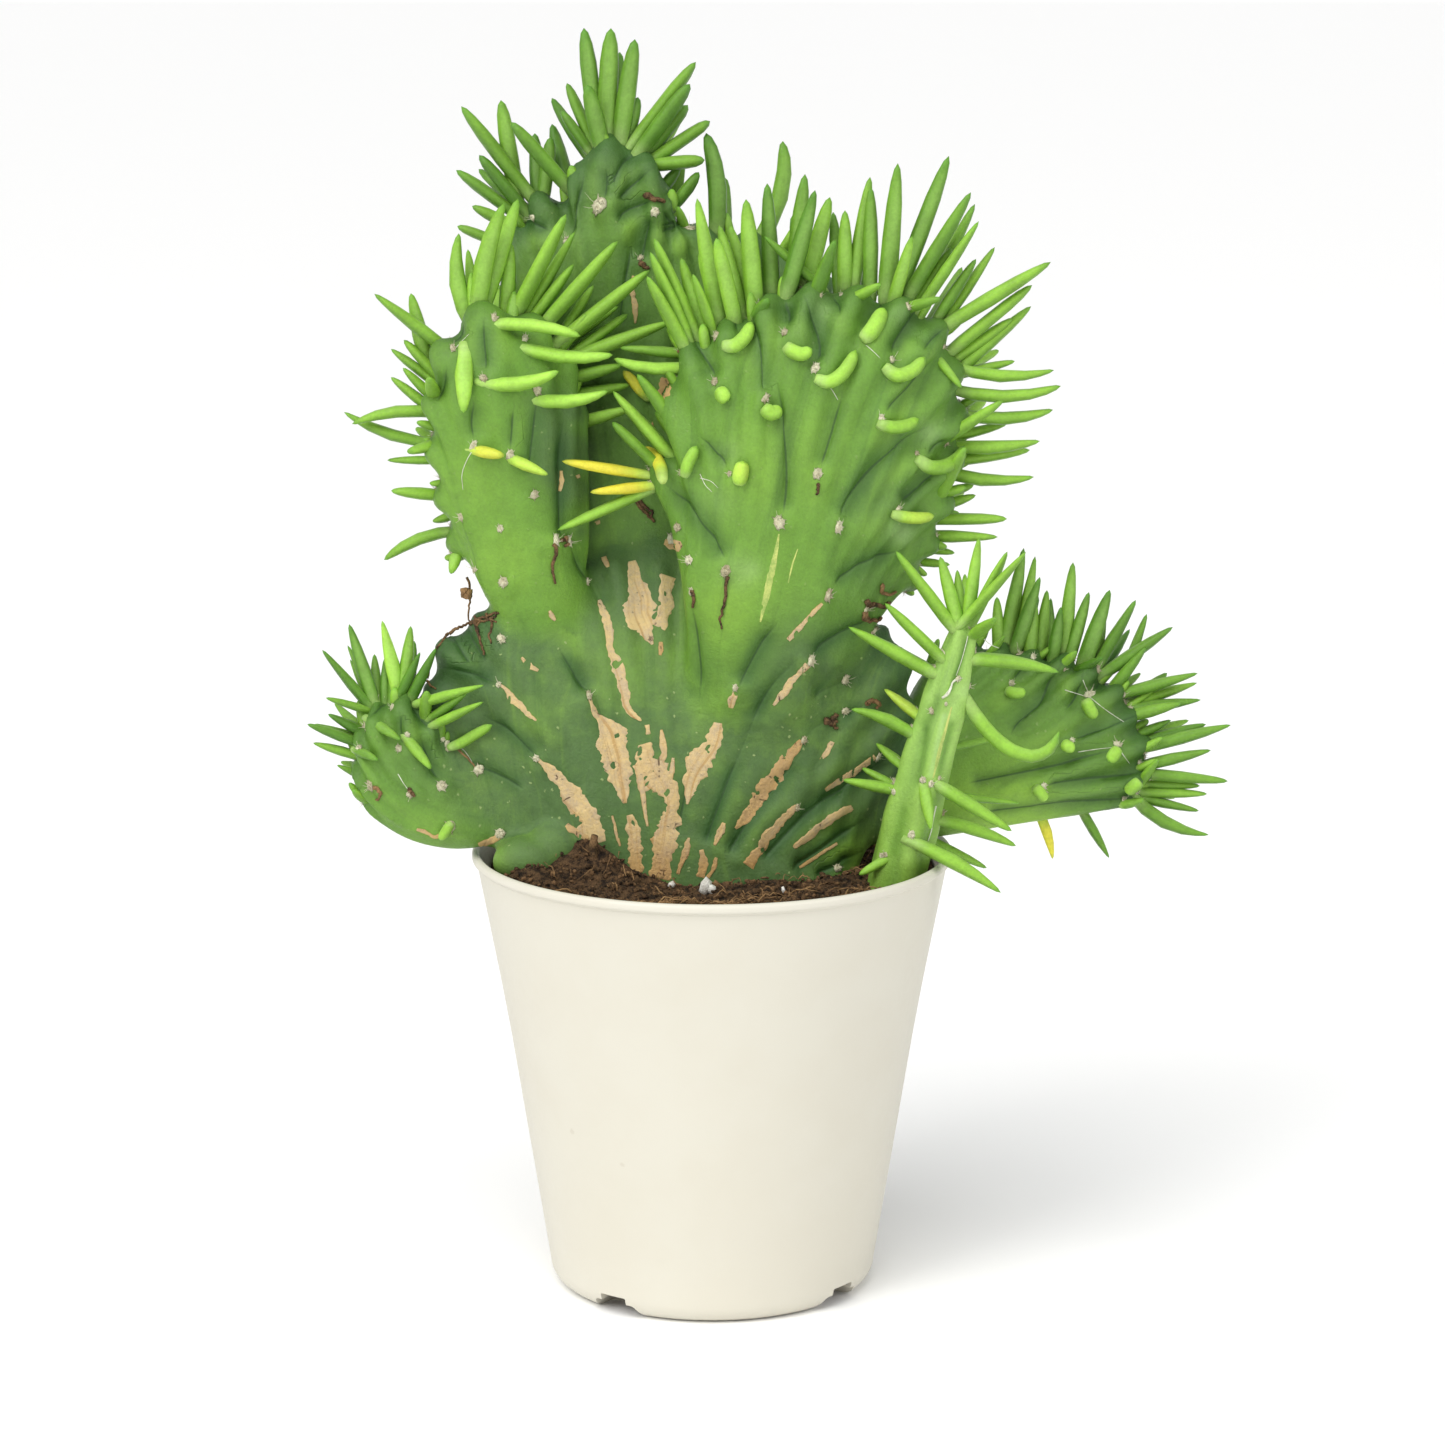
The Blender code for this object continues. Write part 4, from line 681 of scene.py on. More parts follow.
def makeSkinBase():
    # joins the fans into one living body and says where on which fan each point lies
    heap, places, tree = Heap(), [], KDTree(400000)

    def add(points, faces, rows):
        for k, point in enumerate(points):
            tree.insert(point, len(places) + k)
        places.extend(rows)
        heap.add(points, faces)

    for number, fan in enumerate(fans.values()):
        points, faces, rows = fanShell(fan)
        add(points, faces, [(number, *row) for row in rows])
    for middle, reaches in baseLobes:
        points, faces = ballPattern(3)
        add(points * reaches + middle, faces, [(0, 0.04, 0.3, 1)] * len(points))
    tree.balance()
    skin = heap.piece("crestSkin", skinMaterial)
    selectOnly(skin)
    remesh = skin.modifiers.new("grownTogether", "REMESH")
    remesh.mode, remesh.voxel_size = "VOXEL", skinForm["voxel"] * mm
    bpy.ops.object.modifier_apply(modifier=remesh.name)
    skin.data.shade_smooth()
    return skin, tree, np.array(places)


def placeOnFans(points):
    # fan number, place along and up it, side, and how near another fan is
    near = [fanTree.find_n(point, 8) for point in points]
    away = np.array([[hit[2] for hit in hits] for hits in near])
    rows = fanPlaces[np.array([[hit[1] for hit in hits] for hits in near])]
    same = (rows[:, :, 0] == rows[:, :1, 0]) & (rows[:, :, 3] == rows[:, :1, 3])
    weight = (same / (away + 0.05) ** 2)[:, :, None]
    found = np.zeros((len(points), 5))
    found[:, 0], found[:, 3] = rows[:, 0, 0], rows[:, 0, 3]
    found[:, 1:3] = (rows[:, :, 1:3] * weight).sum(1) / weight.sum(1)
    found[:, 4] = (rows[:, :, 0] != rows[:, :1, 0]).any(1)
    return found


def neighbourMean(values):
    return np.bincount(edgeStarts, values[edgeEnds], len(values)) / edgeCounts


def spread(values, rounds):
    for _ in range(rounds):
        values = 0.5 * values + 0.5 * neighbourMean(values)
    return values


def smoothSeams(points, weight):
    for _ in range(skinForm["smoothing"]):
        mean = np.stack([neighbourMean(points[:, axis]) for axis in range(3)], axis=1)
        points = points + (mean - points) * (0.55 * weight)[:, None]
    return points


skin, fanTree, fanPlaces = makeSkinBase()
skinEdges = np.zeros(len(skin.data.edges) * 2, np.int32)
skin.data.edges.foreach_get("vertices", skinEdges)
edgeStarts = skinEdges.reshape(-1, 2).T.ravel()
edgeEnds = skinEdges.reshape(-1, 2)[:, ::-1].T.ravel()
skinPoints = pointsOf(skin.data)
edgeCounts = np.maximum(np.bincount(edgeStarts, minlength=len(skinPoints)), 1)
skinPlaces = placeOnFans(skinPoints)
seam = np.clip(spread(skinPlaces[:, 4], skinForm["seamSpread"]) * 3.0, 0, 1)
skinPoints = smoothSeams(skinPoints, seam)
setPoints(skin.data, skinPoints)
print("stage: crest joined,", len(skinPoints), "points")


# Areoles: the woolly cushions that the photograph shows on the fans, as columns, rows and sizes
areoleMarks = (
    (718, 383, 1.1), (764, 400, 1.1), (787, 335, 1), (817, 371, 1.1), (889, 361, 1), (881, 419, 1.1), (819, 475, 1.1),
    (780, 523, 1.35), (837, 527, 1.35), (728, 572, 1.3), (826, 595, 1.3), (731, 474, 0.8), (684, 473, 0.9),
    (678, 528, 0.9), (692, 561, 1.1), (719, 338, 1), (707, 318, 0.8), (726, 317, 0.9), (762, 310, 0.9), (793, 292, 1),
    (905, 308, 0.8), (864, 609, 1), (895, 510, 1), (500, 638, 1), (500, 686, 0.9), (588, 698, 1), (538, 760, 0.9),
    (809, 661, 1.4), (846, 680, 1.3), (737, 690, 0.9), (803, 740, 0.9), (796, 808, 0.8), (872, 630, 1.2),
    (694, 592, 0.9), (838, 868, 0.9), (567, 542, 1.1), (588, 582, 0.8), (845, 711, 1), (876, 756, 0.9),
    (671, 540, 1.2), (534, 495, 1.2), (464, 517, 1), (501, 529, 0.7), (553, 541, 1.3), (505, 582, 1.3), (477, 570, 1),
    (486, 379, 1), (536, 392, 1), (474, 446, 1.1), (510, 455, 1.1), (452, 350, 1), (524, 341, 1), (492, 319, 1),
    (395, 708, 1), (402, 749, 1), (374, 785, 1.1), (411, 793, 1), (442, 786, 1.2), (479, 770, 1.2), (451, 825, 1.2),
    (369, 726, 0.9), (500, 835, 1.1), (1011, 685, 0.9), (1091, 697, 1.1), (1071, 741, 0.8), (1118, 747, 1.1),
    (1042, 786, 1), (1133, 786, 0.9), (1068, 659, 0.9), (1094, 671, 1), (1021, 656, 1), (1031, 658, 0.8),
    (603, 208, 1.7), (570, 243, 1.3), (533, 219, 0.9), (655, 213, 1), (689, 230, 1), (640, 260, 1),
)
# Furrows that the photograph shows: depth and breadth in millimetres, then columns and rows upwards from the areole
furrows = {
    "right": (
        (0.9, 3.2, 717, 379, 709, 363, 700, 348, 692, 337),
        (1, 3.4, 764, 394, 762, 372, 759, 348, 755, 330, 752, 315), (1, 3, 788, 328, 788, 314, 785, 298),
        (1, 3.4, 817, 364, 819, 348, 817, 330, 811, 312, 805, 298),
        (0.8, 4, 820, 468, 825, 452, 831, 432, 836, 414, 842, 396),
        (0.9, 4, 783, 514, 786, 492, 787, 468, 786, 446, 783, 422, 780, 400, 778, 384),
        (1.2, 4.6, 839, 518, 848, 502, 860, 485, 873, 468, 888, 453, 905, 440, 925, 428),
        (1.1, 3.4, 890, 355, 897, 342, 906, 328, 915, 314, 922, 304),
        (0.9, 3.6, 884, 413, 895, 401, 907, 389, 920, 374, 932, 362),
        (1.1, 3.2, 899, 504, 912, 493, 926, 480, 938, 470),
        (1.2, 4, 833, 586, 848, 574, 866, 563, 884, 556, 900, 551),
        (0.8, 3.4, 728, 468, 722, 458, 712, 447, 701, 438),
        (1.1, 4.6, 726, 560, 715, 542, 700, 522, 684, 502, 668, 486),
        (0.9, 2.6, 866, 334, 872, 318, 880, 302, 886, 290), (1, 2.6, 922, 352, 933, 338, 945, 328),
        (1, 2.6, 925, 455, 938, 446, 950, 440), (0.8, 2.6, 738, 336, 736, 322, 733, 310),
        (0.8, 2.6, 842, 318, 838, 304, 832, 292),
    ),
    "trunk": (
        (1.1, 3.2, 604, 610, 594, 590, 580, 566, 568, 546), (0.9, 4, 589, 694, 578, 678, 566, 660, 555, 642),
        (0.9, 4, 538, 758, 522, 742, 505, 729, 488, 718), (1, 4, 497, 683, 482, 676, 464, 672, 445, 668),
        (0.8, 2.2, 472, 668, 462, 652, 455, 640, 447, 628), (0.8, 2.2, 488, 664, 478, 648, 470, 636, 464, 622),
        (0.8, 2.2, 503, 652, 495, 638, 487, 626, 480, 614),
        (1.2, 4, 738, 688, 744, 676, 752, 661, 763, 642, 775, 626),
        (1.3, 3.6, 811, 657, 822, 647, 838, 637, 856, 627, 872, 618),
        (1.3, 3.6, 804, 738, 815, 728, 831, 720, 846, 713, 862, 706),
        (1.1, 3.6, 704, 846, 716, 812, 730, 776, 744, 742, 757, 712, 772, 686, 792, 664),
        (1.3, 3.4, 727, 856, 746, 826, 768, 796, 790, 768, 806, 744),
        (1.4, 3.4, 762, 862, 784, 838, 808, 814, 836, 794, 866, 772, 890, 757),
        (1.3, 3.2, 790, 872, 812, 856, 838, 838, 862, 822), (1.2, 3, 812, 878, 836, 866, 858, 854),
        (1.1, 3.4, 812, 700, 826, 690, 844, 682, 864, 676), (0.8, 4.2, 699, 706, 700, 672, 697, 640, 693, 606),
        (0.6, 3.4, 630, 800, 616, 760, 604, 724, 596, 700), (0.6, 3.4, 586, 812, 566, 786, 548, 764),
        (0.6, 3, 676, 840, 684, 800, 690, 770), (0.7, 3.6, 526, 790, 500, 776, 480, 766, 462, 756),
    ),
    "left": (
        (0.9, 3, 486, 372, 485, 356, 484, 340, 484, 322), (0.8, 3, 524, 336, 520, 324, 516, 310),
        (0.9, 3, 452, 346, 456, 336, 462, 324), (0.8, 3.6, 527, 476, 531, 450, 534, 424, 536, 400),
        (0.7, 3, 474, 441, 472, 424, 474, 402), (0.7, 3, 510, 450, 512, 430, 513, 410),
        (0.9, 2.6, 436, 404, 441, 388, 447, 370), (1.2, 3, 561, 540, 562, 505, 562, 465, 563, 424),
    ),
    "lowLeft": (
        (0.9, 2.6, 431, 731, 422, 718, 414, 704, 410, 692), (0.9, 3, 440, 782, 432, 768, 426, 752, 421, 738),
        (0.9, 2.6, 447, 762, 442, 746, 438, 732), (0.7, 2.4, 396, 704, 398, 694, 402, 682),
        (0.7, 2.4, 371, 720, 379, 708, 388, 697), (0.6, 2.4, 403, 745, 401, 730, 402, 714),
    ),
    "lowRight": (
        (0.9, 3, 1010, 735, 1021, 720, 1038, 704, 1048, 686, 1060, 666),
        (1, 3, 1072, 740, 1090, 732, 1108, 727, 1125, 720, 1142, 713),
        (0.9, 3.2, 968, 783, 996, 778, 1026, 772, 1060, 764, 1090, 755, 1120, 750),
        (1, 2.8, 1044, 785, 1075, 781, 1105, 777, 1132, 773, 1150, 771), (0.8, 2.8, 1011, 683, 1022, 670, 1034, 656),
        (0.8, 2.8, 1092, 692, 1102, 680, 1110, 668), (0.8, 2.8, 985, 812, 1020, 808, 1060, 804, 1110, 800, 1140, 797),
        (0.7, 2.6, 1064, 712, 1076, 696, 1082, 678),
    ),
    "back": (
        (1.2, 3, 552, 232, 540, 226, 528, 221, 514, 217), (1, 3.4, 604, 202, 606, 186, 608, 168),
        (1.3, 3.2, 616, 224, 626, 212, 639, 205, 654, 199), (1.3, 3, 641, 264, 643, 246, 646, 230, 652, 214),
        (1, 2.6, 658, 234, 670, 228, 684, 222), (0.9, 2.6, 662, 210, 670, 219, 675, 230),
        (0.9, 3.4, 571, 238, 575, 218, 580, 196, 584, 176), (0.8, 3, 560, 212, 556, 198, 552, 184),
        (1.2, 2.4, 611, 192, 617, 174, 626, 160, 638, 148), (1.2, 2.4, 617, 203, 628, 190, 638, 180, 648, 172),
        (0.8, 4, 616, 330, 622, 300, 628, 270, 632, 240),
    ),
}
# Raised folds between them: height and breadth in millimetres, then columns and rows
ridges = {
    "trunk": (
        (1.1, 3.6, 700, 588, 704, 630, 709, 670, 706, 710, 699, 750),
        (1, 2.8, 737, 762, 746, 738, 759, 716, 774, 694, 793, 670),
        (0.8, 2.8, 720, 860, 724, 820, 732, 785, 742, 756),
        (1, 2.4, 772, 860, 790, 840, 812, 822, 838, 809, 862, 799),
        (0.9, 2.2, 736, 868, 746, 845, 760, 822, 776, 808, 794, 797), (0.8, 2.2, 800, 862, 822, 848, 846, 838),
        (1, 2.6, 806, 792, 828, 774, 848, 760, 868, 742), (0.8, 4, 560, 590, 568, 630, 582, 672),
        (0.7, 3, 604, 610, 612, 660, 622, 700), (0.8, 2, 444, 650, 462, 662, 482, 674),
        (0.8, 1.8, 452, 636, 464, 650, 476, 662), (0.7, 1.8, 466, 630, 478, 644, 488, 656),
        (0.8, 3, 520, 700, 542, 726, 560, 750), (0.9, 2.6, 764, 728, 784, 700, 806, 682, 830, 668),
        (0.9, 2.4, 820, 716, 840, 700, 862, 690), (0.7, 3, 668, 700, 672, 660, 676, 620),
    ),
    "right": (
        (0.6, 3.2, 744, 320, 748, 350, 752, 390), (0.6, 3.2, 772, 310, 774, 340, 778, 370),
        (0.6, 3.2, 800, 306, 802, 330, 806, 356), (0.6, 3, 832, 300, 838, 320, 846, 340),
        (0.6, 3, 886, 320, 876, 336, 864, 356), (0.7, 2.6, 915, 336, 904, 350, 890, 366),
        (0.7, 2.6, 926, 366, 910, 382, 894, 398, 884, 412), (0.6, 5, 745, 400, 750, 450, 756, 500),
        (0.6, 5, 808, 400, 806, 450, 804, 500), (0.8, 4, 850, 540, 880, 520, 905, 505),
        (0.8, 4, 925, 400, 906, 412, 884, 432, 864, 452), (0.8, 3, 938, 448, 912, 462, 884, 480, 866, 500),
        (0.6, 3, 706, 340, 712, 356, 720, 372),
    ),
    "left": (
        (0.6, 2.6, 470, 320, 470, 345, 472, 372), (0.6, 2.6, 504, 320, 504, 340, 506, 366),
        (0.6, 3, 520, 400, 518, 430, 516, 460),
    ),
    "lowRight": (
        (0.8, 3, 975, 760, 1010, 748, 1050, 738, 1085, 716), (0.7, 3, 1000, 790, 1040, 784, 1090, 772),
        (0.8, 2.4, 1060, 700, 1068, 680, 1072, 662), (0.7, 2.4, 1098, 715, 1112, 700, 1120, 686),
        (0.8, 3, 985, 712, 1004, 696, 1020, 680),
    ),
    "back": (
        (1, 3, 596, 150, 592, 180, 590, 205), (1, 2.6, 624, 150, 622, 175, 618, 196),
        (1, 2.4, 640, 160, 636, 180, 630, 196), (1, 2.6, 640, 215, 628, 228, 622, 246),
        (0.9, 2.4, 664, 222, 656, 236, 652, 252), (0.9, 2.4, 690, 236, 680, 246, 672, 258),
        (1, 3, 530, 200, 546, 208, 562, 216), (1, 3, 524, 236, 540, 242, 556, 250),
    ),
    "lowLeft": ((0.7, 2.4, 384, 706, 388, 720, 392, 740), (0.7, 2.4, 410, 712, 416, 728, 420, 744)),
}
# Soft spots of the photograph as column, row, reach and amount: paler skin and painted highlight, then older skin and
# painted shade
paleAndHighlightSpots = (
    (495, 858, 14, 0.4), (846, 852, 34, 0.4), (1010, 812, 60, 0.6), (782, 470, 50, 0.24), (618, 660, 40, 0.22),
    (676, 652, 30, 0.12), (534, 716, 26, 0.16), (846, 856, 26, 0.4), (505, 560, 36, 0.42), (470, 480, 42, 0.28),
    (722, 610, 34, 0.42), (765, 590, 44, 0.22), (742, 470, 46, 0.18), (440, 824, 26, 0.2), (1010, 806, 44, 0.42),
    (955, 800, 30, 0.42), (820, 430, 34, 0.14), (560, 600, 26, 0.16), (600, 190, 34, 0.12), (712, 700, 22, 0.24),
)
agedAndShadedSpots = (
    (822, 684, 52, 0.6), (578, 410, 14, 0.8), (580, 450, 14, 0.8), (580, 492, 14, 0.8), (582, 530, 12, 0.7),
    (412, 768, 44, 0.38), (884, 512, 34, 0.2), (798, 760, 66, 0.55), (846, 836, 60, 0.4), (486, 690, 62, 0.45),
    (620, 770, 60, 0.15), (470, 800, 36, 0.4), (408, 716, 22, 0.3), (552, 430, 24, 0.6), (559, 468, 18, 0.8),
    (561, 502, 14, 0.6), (548, 400, 20, 0.5), (1050, 740, 70, 0.12), (470, 350, 40, 0.3), (884, 508, 36, 0.3),
    (756, 704, 44, 0.3), (796, 648, 40, 0.45), (728, 784, 50, 0.3), (556, 460, 26, 0.7), (804, 318, 46, 0.3),
    (500, 790, 60, 0.3), (880, 590, 30, 0.4),
)
# Painted sheen: soft highlights on the crest's knobs and faces, as column, row, reach and amount
paintedSheenSpots = (
    (930, 433, 12, 0.3), (902, 534, 12, 0.36), (738, 572, 18, 0.16), (905, 312, 12, 0.22), (822, 308, 13, 0.18),
    (752, 570, 10, 0.14), (728, 452, 12, 0.16), (716, 500, 20, 0.1), (600, 180, 20, 0.14), (560, 244, 26, 0.1),
)
areoleForm = {"backRows": (0.45, 0.62, 0.76, 0.88), "backSpacing": 15.0}
furrowForm = {
    "narrow": 0.9, "share": 0.38, "close": 2.3, "ridge": 0.6, "ridgeReach": 3.6, "ridgeLength": 16, "cushion": 0.5,
    "cushionReach": 2.2, "crestBump": 0.55, "behind": (1.0, 3.4),
}


def findAreoles():
    # (fan number, along, up, side, size) of every areole
    tree = treeOf(skin)
    found = []
    for column, row, size in areoleMarks:
        point, _ = hitSkin(tree, column, row)
        if point is not None:
            found.append((*placeOnFans(np.array([point]))[0][:4], size))
    dice = random.Random("areoles behind")
    for number, fan in enumerate(fans.values()):
        count = max(int(crestLength(fan) / areoleForm["backSpacing"]), 3)
        for k, row in enumerate(areoleForm["backRows"]):
            wide = max(int(count * (0.35 + 0.65 * row)), 2)
            for i in range(wide):
                u = (i + 0.5 + 0.35 * (k % 2)) / (wide + 0.35) + dice.uniform(-0.2, 0.2) / wide
                found.append((number, u, row + dice.uniform(-0.03, 0.03), -1, dice.uniform(0.9, 1.25)))
    return np.array(found)


def fanScale(fan, u, v):
    # millimetres across and up the fan for a whole step of u and of v
    left, right, low, high = (np.clip(values, 0, 1) for values in (u - 0.01, u + 0.01, v - 0.01, v + 0.01))
    wide = norm(fanMiddle(fan, right, v) - fanMiddle(fan, left, v), axis=1) / (right - left)
    return wide, norm(fanMiddle(fan, u, high) - fanMiddle(fan, u, low), axis=1) / (high - low)


def nearLine(places, line):
    # signed distance to a smooth line in millimetres, and the share of its length
    knots = lineThrough(line, np.linspace(0, 1, 28))
    start, step = knots[:-1], np.diff(knots, axis=0)
    offset = places[:, None, :] - start[None]
    share = np.clip((offset * step).sum(2) / (step**2).sum(1), 0, 1)
    gap = offset - share[:, :, None] * step
    best = np.argmin((gap**2).sum(2), axis=1)
    rows = np.arange(len(places))
    side = step[best, 0] * offset[rows, best, 1] - step[best, 1] * offset[rows, best, 0]
    return np.where(side >= 0, pixel, -pixel) * norm(gap[rows, best], axis=1), (best + share[rows, best]) / len(step)


class Relief:
    # gathers furrows on a set of points, with the painted shade in them
    def __init__(self, count):
        self.groove, self.hollow = np.zeros(count), np.zeros(count)
        self.away, self.closeness = np.full(count, 9.0), np.zeros(count)

    def furrow(self, mine, away, fade, depth, breadth):
        share = furrowForm["share"]
        cut = depth * fade * (share * bell(away, furrowForm["narrow"]) + (1.15 - share) * bell(away, breadth))
        self.groove[mine] = np.maximum(self.groove[mine], cut)
        # painted shade along the furrow
        self.hollow[mine] = np.maximum(self.hollow[mine], fade * np.minimum(depth, 1.2) * bell(away, 0.6 * breadth))
        close = fade * bell(away, furrowForm["close"])
        nearer = close > self.closeness[mine]
        self.closeness[mine] = np.where(nearer, close, self.closeness[mine])
        self.away[mine] = np.where(nearer, away, self.away[mine])


def growRelief(points, places, normals, areoles):
    # cushions, ridges and furrows, and the values that the skin's material reads
    count = len(points)
    relief, mound, light = Relief(count), np.zeros(count), np.zeros(count)
    across, upward, bump = np.zeros(count), np.zeros(count), np.zeros(count)
    seen, form = photoPlaces(points), furrowForm
    for number, (name, fan) in enumerate(fans.items()):
        for side in (1, -1):
            mine = np.nonzero((places[:, 0] == number) & (places[:, 3] == side))[0]
            u, v = places[mine, 1], places[mine, 2]
            wide, tall = fanScale(fan, u, v)
            across[mine], upward[mine] = (u - 0.5) * wide, v * tall
            bump[mine] = form["crestBump"] * smoothStep(0.78, 0.95, v) * np.cos(2 * math.pi * fan["folds"] * u)
            for _, au, av, _, size in areoles[(areoles[:, 0] == number) & (areoles[:, 3] == side)]:
                du, dv = (u - au) * wide, (v - av) * tall
                below = np.exp(np.minimum(dv, 0) / form["ridgeLength"]) * (1 - smoothStep(-1, 3, dv))
                rise = form["ridge"] * bell(du, form["ridgeReach"]) * below
                knob = form["cushion"] * size * np.exp(-(du**2 + (dv + 1) ** 2) / form["cushionReach"] ** 2)
                mound[mine] = np.maximum(mound[mine], rise + knob)
                if side == -1:
                    relief.furrow(mine, du, smoothStep(0, 5, dv) * (1 - smoothStep(0.97, 1.0, v)), *form["behind"])
            if side == -1:
                continue
            for depth, breadth, *marks in furrows[name] + (furrows["trunk"] if name in ("right", "left") else ()):
                away, share = nearLine(seen[mine], grouped(marks))
                length = pixel * norm(np.diff(grouped(marks), axis=0), axis=1).sum()
                reached = share * length
                fade = smoothStep(0, 2.5, reached) * (1 - smoothStep(length * 0.72, length, reached) * 0.75)
                within = (share > 0.001) & (share < 0.999)
                relief.furrow(mine, away, fade * np.where(within, 1.0, bell(away, 1.5)), depth, breadth)
            for height, breadth, *marks in ridges[name]:
                away, share = nearLine(seen[mine], grouped(marks))
                fold = bell(away, breadth) * np.sin(math.pi * share) ** 0.5
                mound[mine] = np.maximum(mound[mine], height * fold)
                # painted highlight along the crest of each raised fold
                light[mine] = np.maximum(light[mine], 0.42 * np.minimum(height, 1) * fold**2)
    clear = 1 - np.clip(seam * 1.5, 0, 1) * 0.7
    points = points + normals * ((mound - spread(relief.groove, 1) - bump) * clear)[:, None]
    return points, {
        "furrowAway": relief.away, "furrowStrength": relief.closeness * clear,
        "hollow": np.clip(relief.hollow, 0, 1) * clear, "grainAcross": across, "grainAlong": upward,
    }, light


def spotValues(spots):
    # soft discs seen from the photograph's side, on the fronts of the fans
    seen, total = photoPlaces(skinPoints), np.zeros(len(skinPoints))
    for column, row, reach, amount in spots:
        total += amount * bell(np.hypot(seen[:, 0] - column, seen[:, 1] - row), reach)
    return np.clip(total, 0, 0.85) * (skinPlaces[:, 3] == 1)


areoles = findAreoles()
skinNormals = readVectors(skin.data.vertex_normals, "vector")
skinPoints, skinLayers, foldLight = growRelief(skinPoints, skinPlaces, skinNormals, areoles)
setPoints(skin.data, skinPoints)
skinFan = skinPlaces[:, 0].astype(int)
fanAges = np.array([fan["age"] for fan in fans.values()])
marginShares = np.array([{"right": 0.55, "left": 0.5, "lowLeft": 0.6}.get(name, 1.0) for name in fans])
# spots of older skin and of painted shade
agedAndShadedShare = spotValues(agedAndShadedSpots)
skinAgeAndShade = spread(fanAges[skinFan], skinForm["ageSpread"])
# older towards the foot, plus the spots' age and painted shade
skinAgeAndShade = skinAgeAndShade + 0.30 * smoothStep(125, 92, skinPoints[:, 2]) + agedAndShadedShare
skinLayers["age"] = np.clip(skinAgeAndShade, 0, 1)
skinMargin = smoothStep(0.84, 0.97, skinPlaces[:, 2]) * marginShares[skinFan]
skinLayers["margin"] = spread(skinMargin, skinForm["marginSpread"])
# glow: painted highlight on fold crests, joined with the spots of paler skin and painted highlight
skinLayers["glow"] = np.maximum(foldLight * (1 - agedAndShadedShare), spotValues(paleAndHighlightSpots))
# painted sheen from those spots
skinLayers["wax"] = spotValues(paintedSheenSpots)
for layerName, layerValues in skinLayers.items():
    addValues(skin, layerName, layerValues)
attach(skin, "root")
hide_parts("crest_main", "crest_right", "crest_left", "crest_low_left", "crest_low_right")
skinTree = treeOf(skin)
print("stage: crest skin")


# Leaves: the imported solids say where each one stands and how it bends, and a finer leaf takes its place
leafForm = {
    "sides": 8, "flat": 0.78, "sharpest": 0.5, "thickest": 2.7, "solidSections": (0.36, 0.8),
    "solidWidths": (1.1, 0.85), "brightReach": 9, "brightDepth": 12,
    "sections": ((0.0, 0.62), (0.08, 0.88), (0.24, 1.03), (0.50, 1.05), (0.73, 0.99), (0.875, 0.81), (0.96, 0.49)),
}
leafTones = {
    "crest_main": (0.10, 0.38), "crest_right": (0.22, 0.56), "crest_left": (0.38, 0.64), "crest_low_left": (0.14, 0.40),
    "crest_low_right": (0.10, 0.42), "stem_front": (0.40, 0.60),
}
# Tips, as columns and rows of the photograph, of leaves that are yellower or brighter than the rest
brightLeaves = (
    (562, 460, 0.96), (590, 492, 0.98), (645, 450, 0.94), (504, 456, 0.9), (548, 475, 0.84), (783, 141, 0.82),
    (383, 618, 0.76), (884, 689, 0.85), (1053, 859, 0.95), (560, 370, 0.78), (579, 336, 0.74), (614, 356, 0.72),
    (606, 391, 0.75), (630, 408, 0.68), (556, 524, 0.66), (618, 239, 0.6), (480, 682, 0.62), (482, 703, 0.6),
    (490, 726, 0.56), (660, 321, 0.56), (430, 768, 0.6), (463, 410, 0.72), (856, 351, 0.62), (883, 307, 0.62),
    (752, 322, 0.62), (814, 346, 0.64),
)
# How much the tips of each node's leaves narrow
sharpTips = {
    "crest_main": 0.04, "crest_right": 0.22, "crest_left": 0.24, "crest_low_left": 0.42, "crest_low_right": 0.38,
    "stem_front": 0.34,
}
# Painted light and shade on the leaves, lighter where the amount is above nought and darker below: column and row of
# the tip, reach, amount
leafLightAndShadeShifts = np.array((
    (676, 246, 56, 0.60), (990, 480, 90, 0.34), (985, 380, 60, 0.14), (840, 190, 80, -0.08), (470, 440, 60, 0.14),
    (540, 230, 90, 0.10), (440, 300, 60, 0.06), (1180, 720, 70, 0.08), (1090, 610, 70, -0.10),
))
# Leaves whose solid is grown together with another: root, tip and radius in millimetres
joinedLeaves = {
    "crest_right": (
        (44.3, -5.1, 225.1, 52.9, -5.1, 238.6, 1.7), (53.6, -3.1, 213.3, 66.7, -3.1, 222.7, 1.6),
        (-5.3, -9.7, 196.4, -16.4, -13.7, 211.6, 2.1),
    ),
    "crest_left": (
        (-52.6, -3.3, 223.4, -53.2, -3.3, 232.9, 1.4), (-45.9, -0.5, 221.5, -44.5, 1.5, 238.9, 1.7),
        (-34.1, 0.8, 214.8, -27.5, -1.2, 223.6, 1.6),
    ),
    "crest_low_left": (
        (-71.7, -7.7, 137, -71, -6.7, 147.4, 1.2), (-62.9, -10.6, 133.7, -54.5, -15.6, 140.5, 1.3),
        (-62.1, -4.8, 125.2, -49.5, -10.8, 132.2, 1.3),
    ),
    "crest_low_right": (
        (72.3, 11.3, 143.2, 73.7, 11.3, 156.2, 1.6), (77.1, 13.3, 142.2, 77.3, 14.3, 156.6, 1.4),
        (91.1, 10, 136, 98.8, 9, 146.2, 1.7), (98.3, 9.5, 114.4, 111.8, 9.5, 113.7, 1.6),
    ),
}
slots = {"stem_front": "stem"}


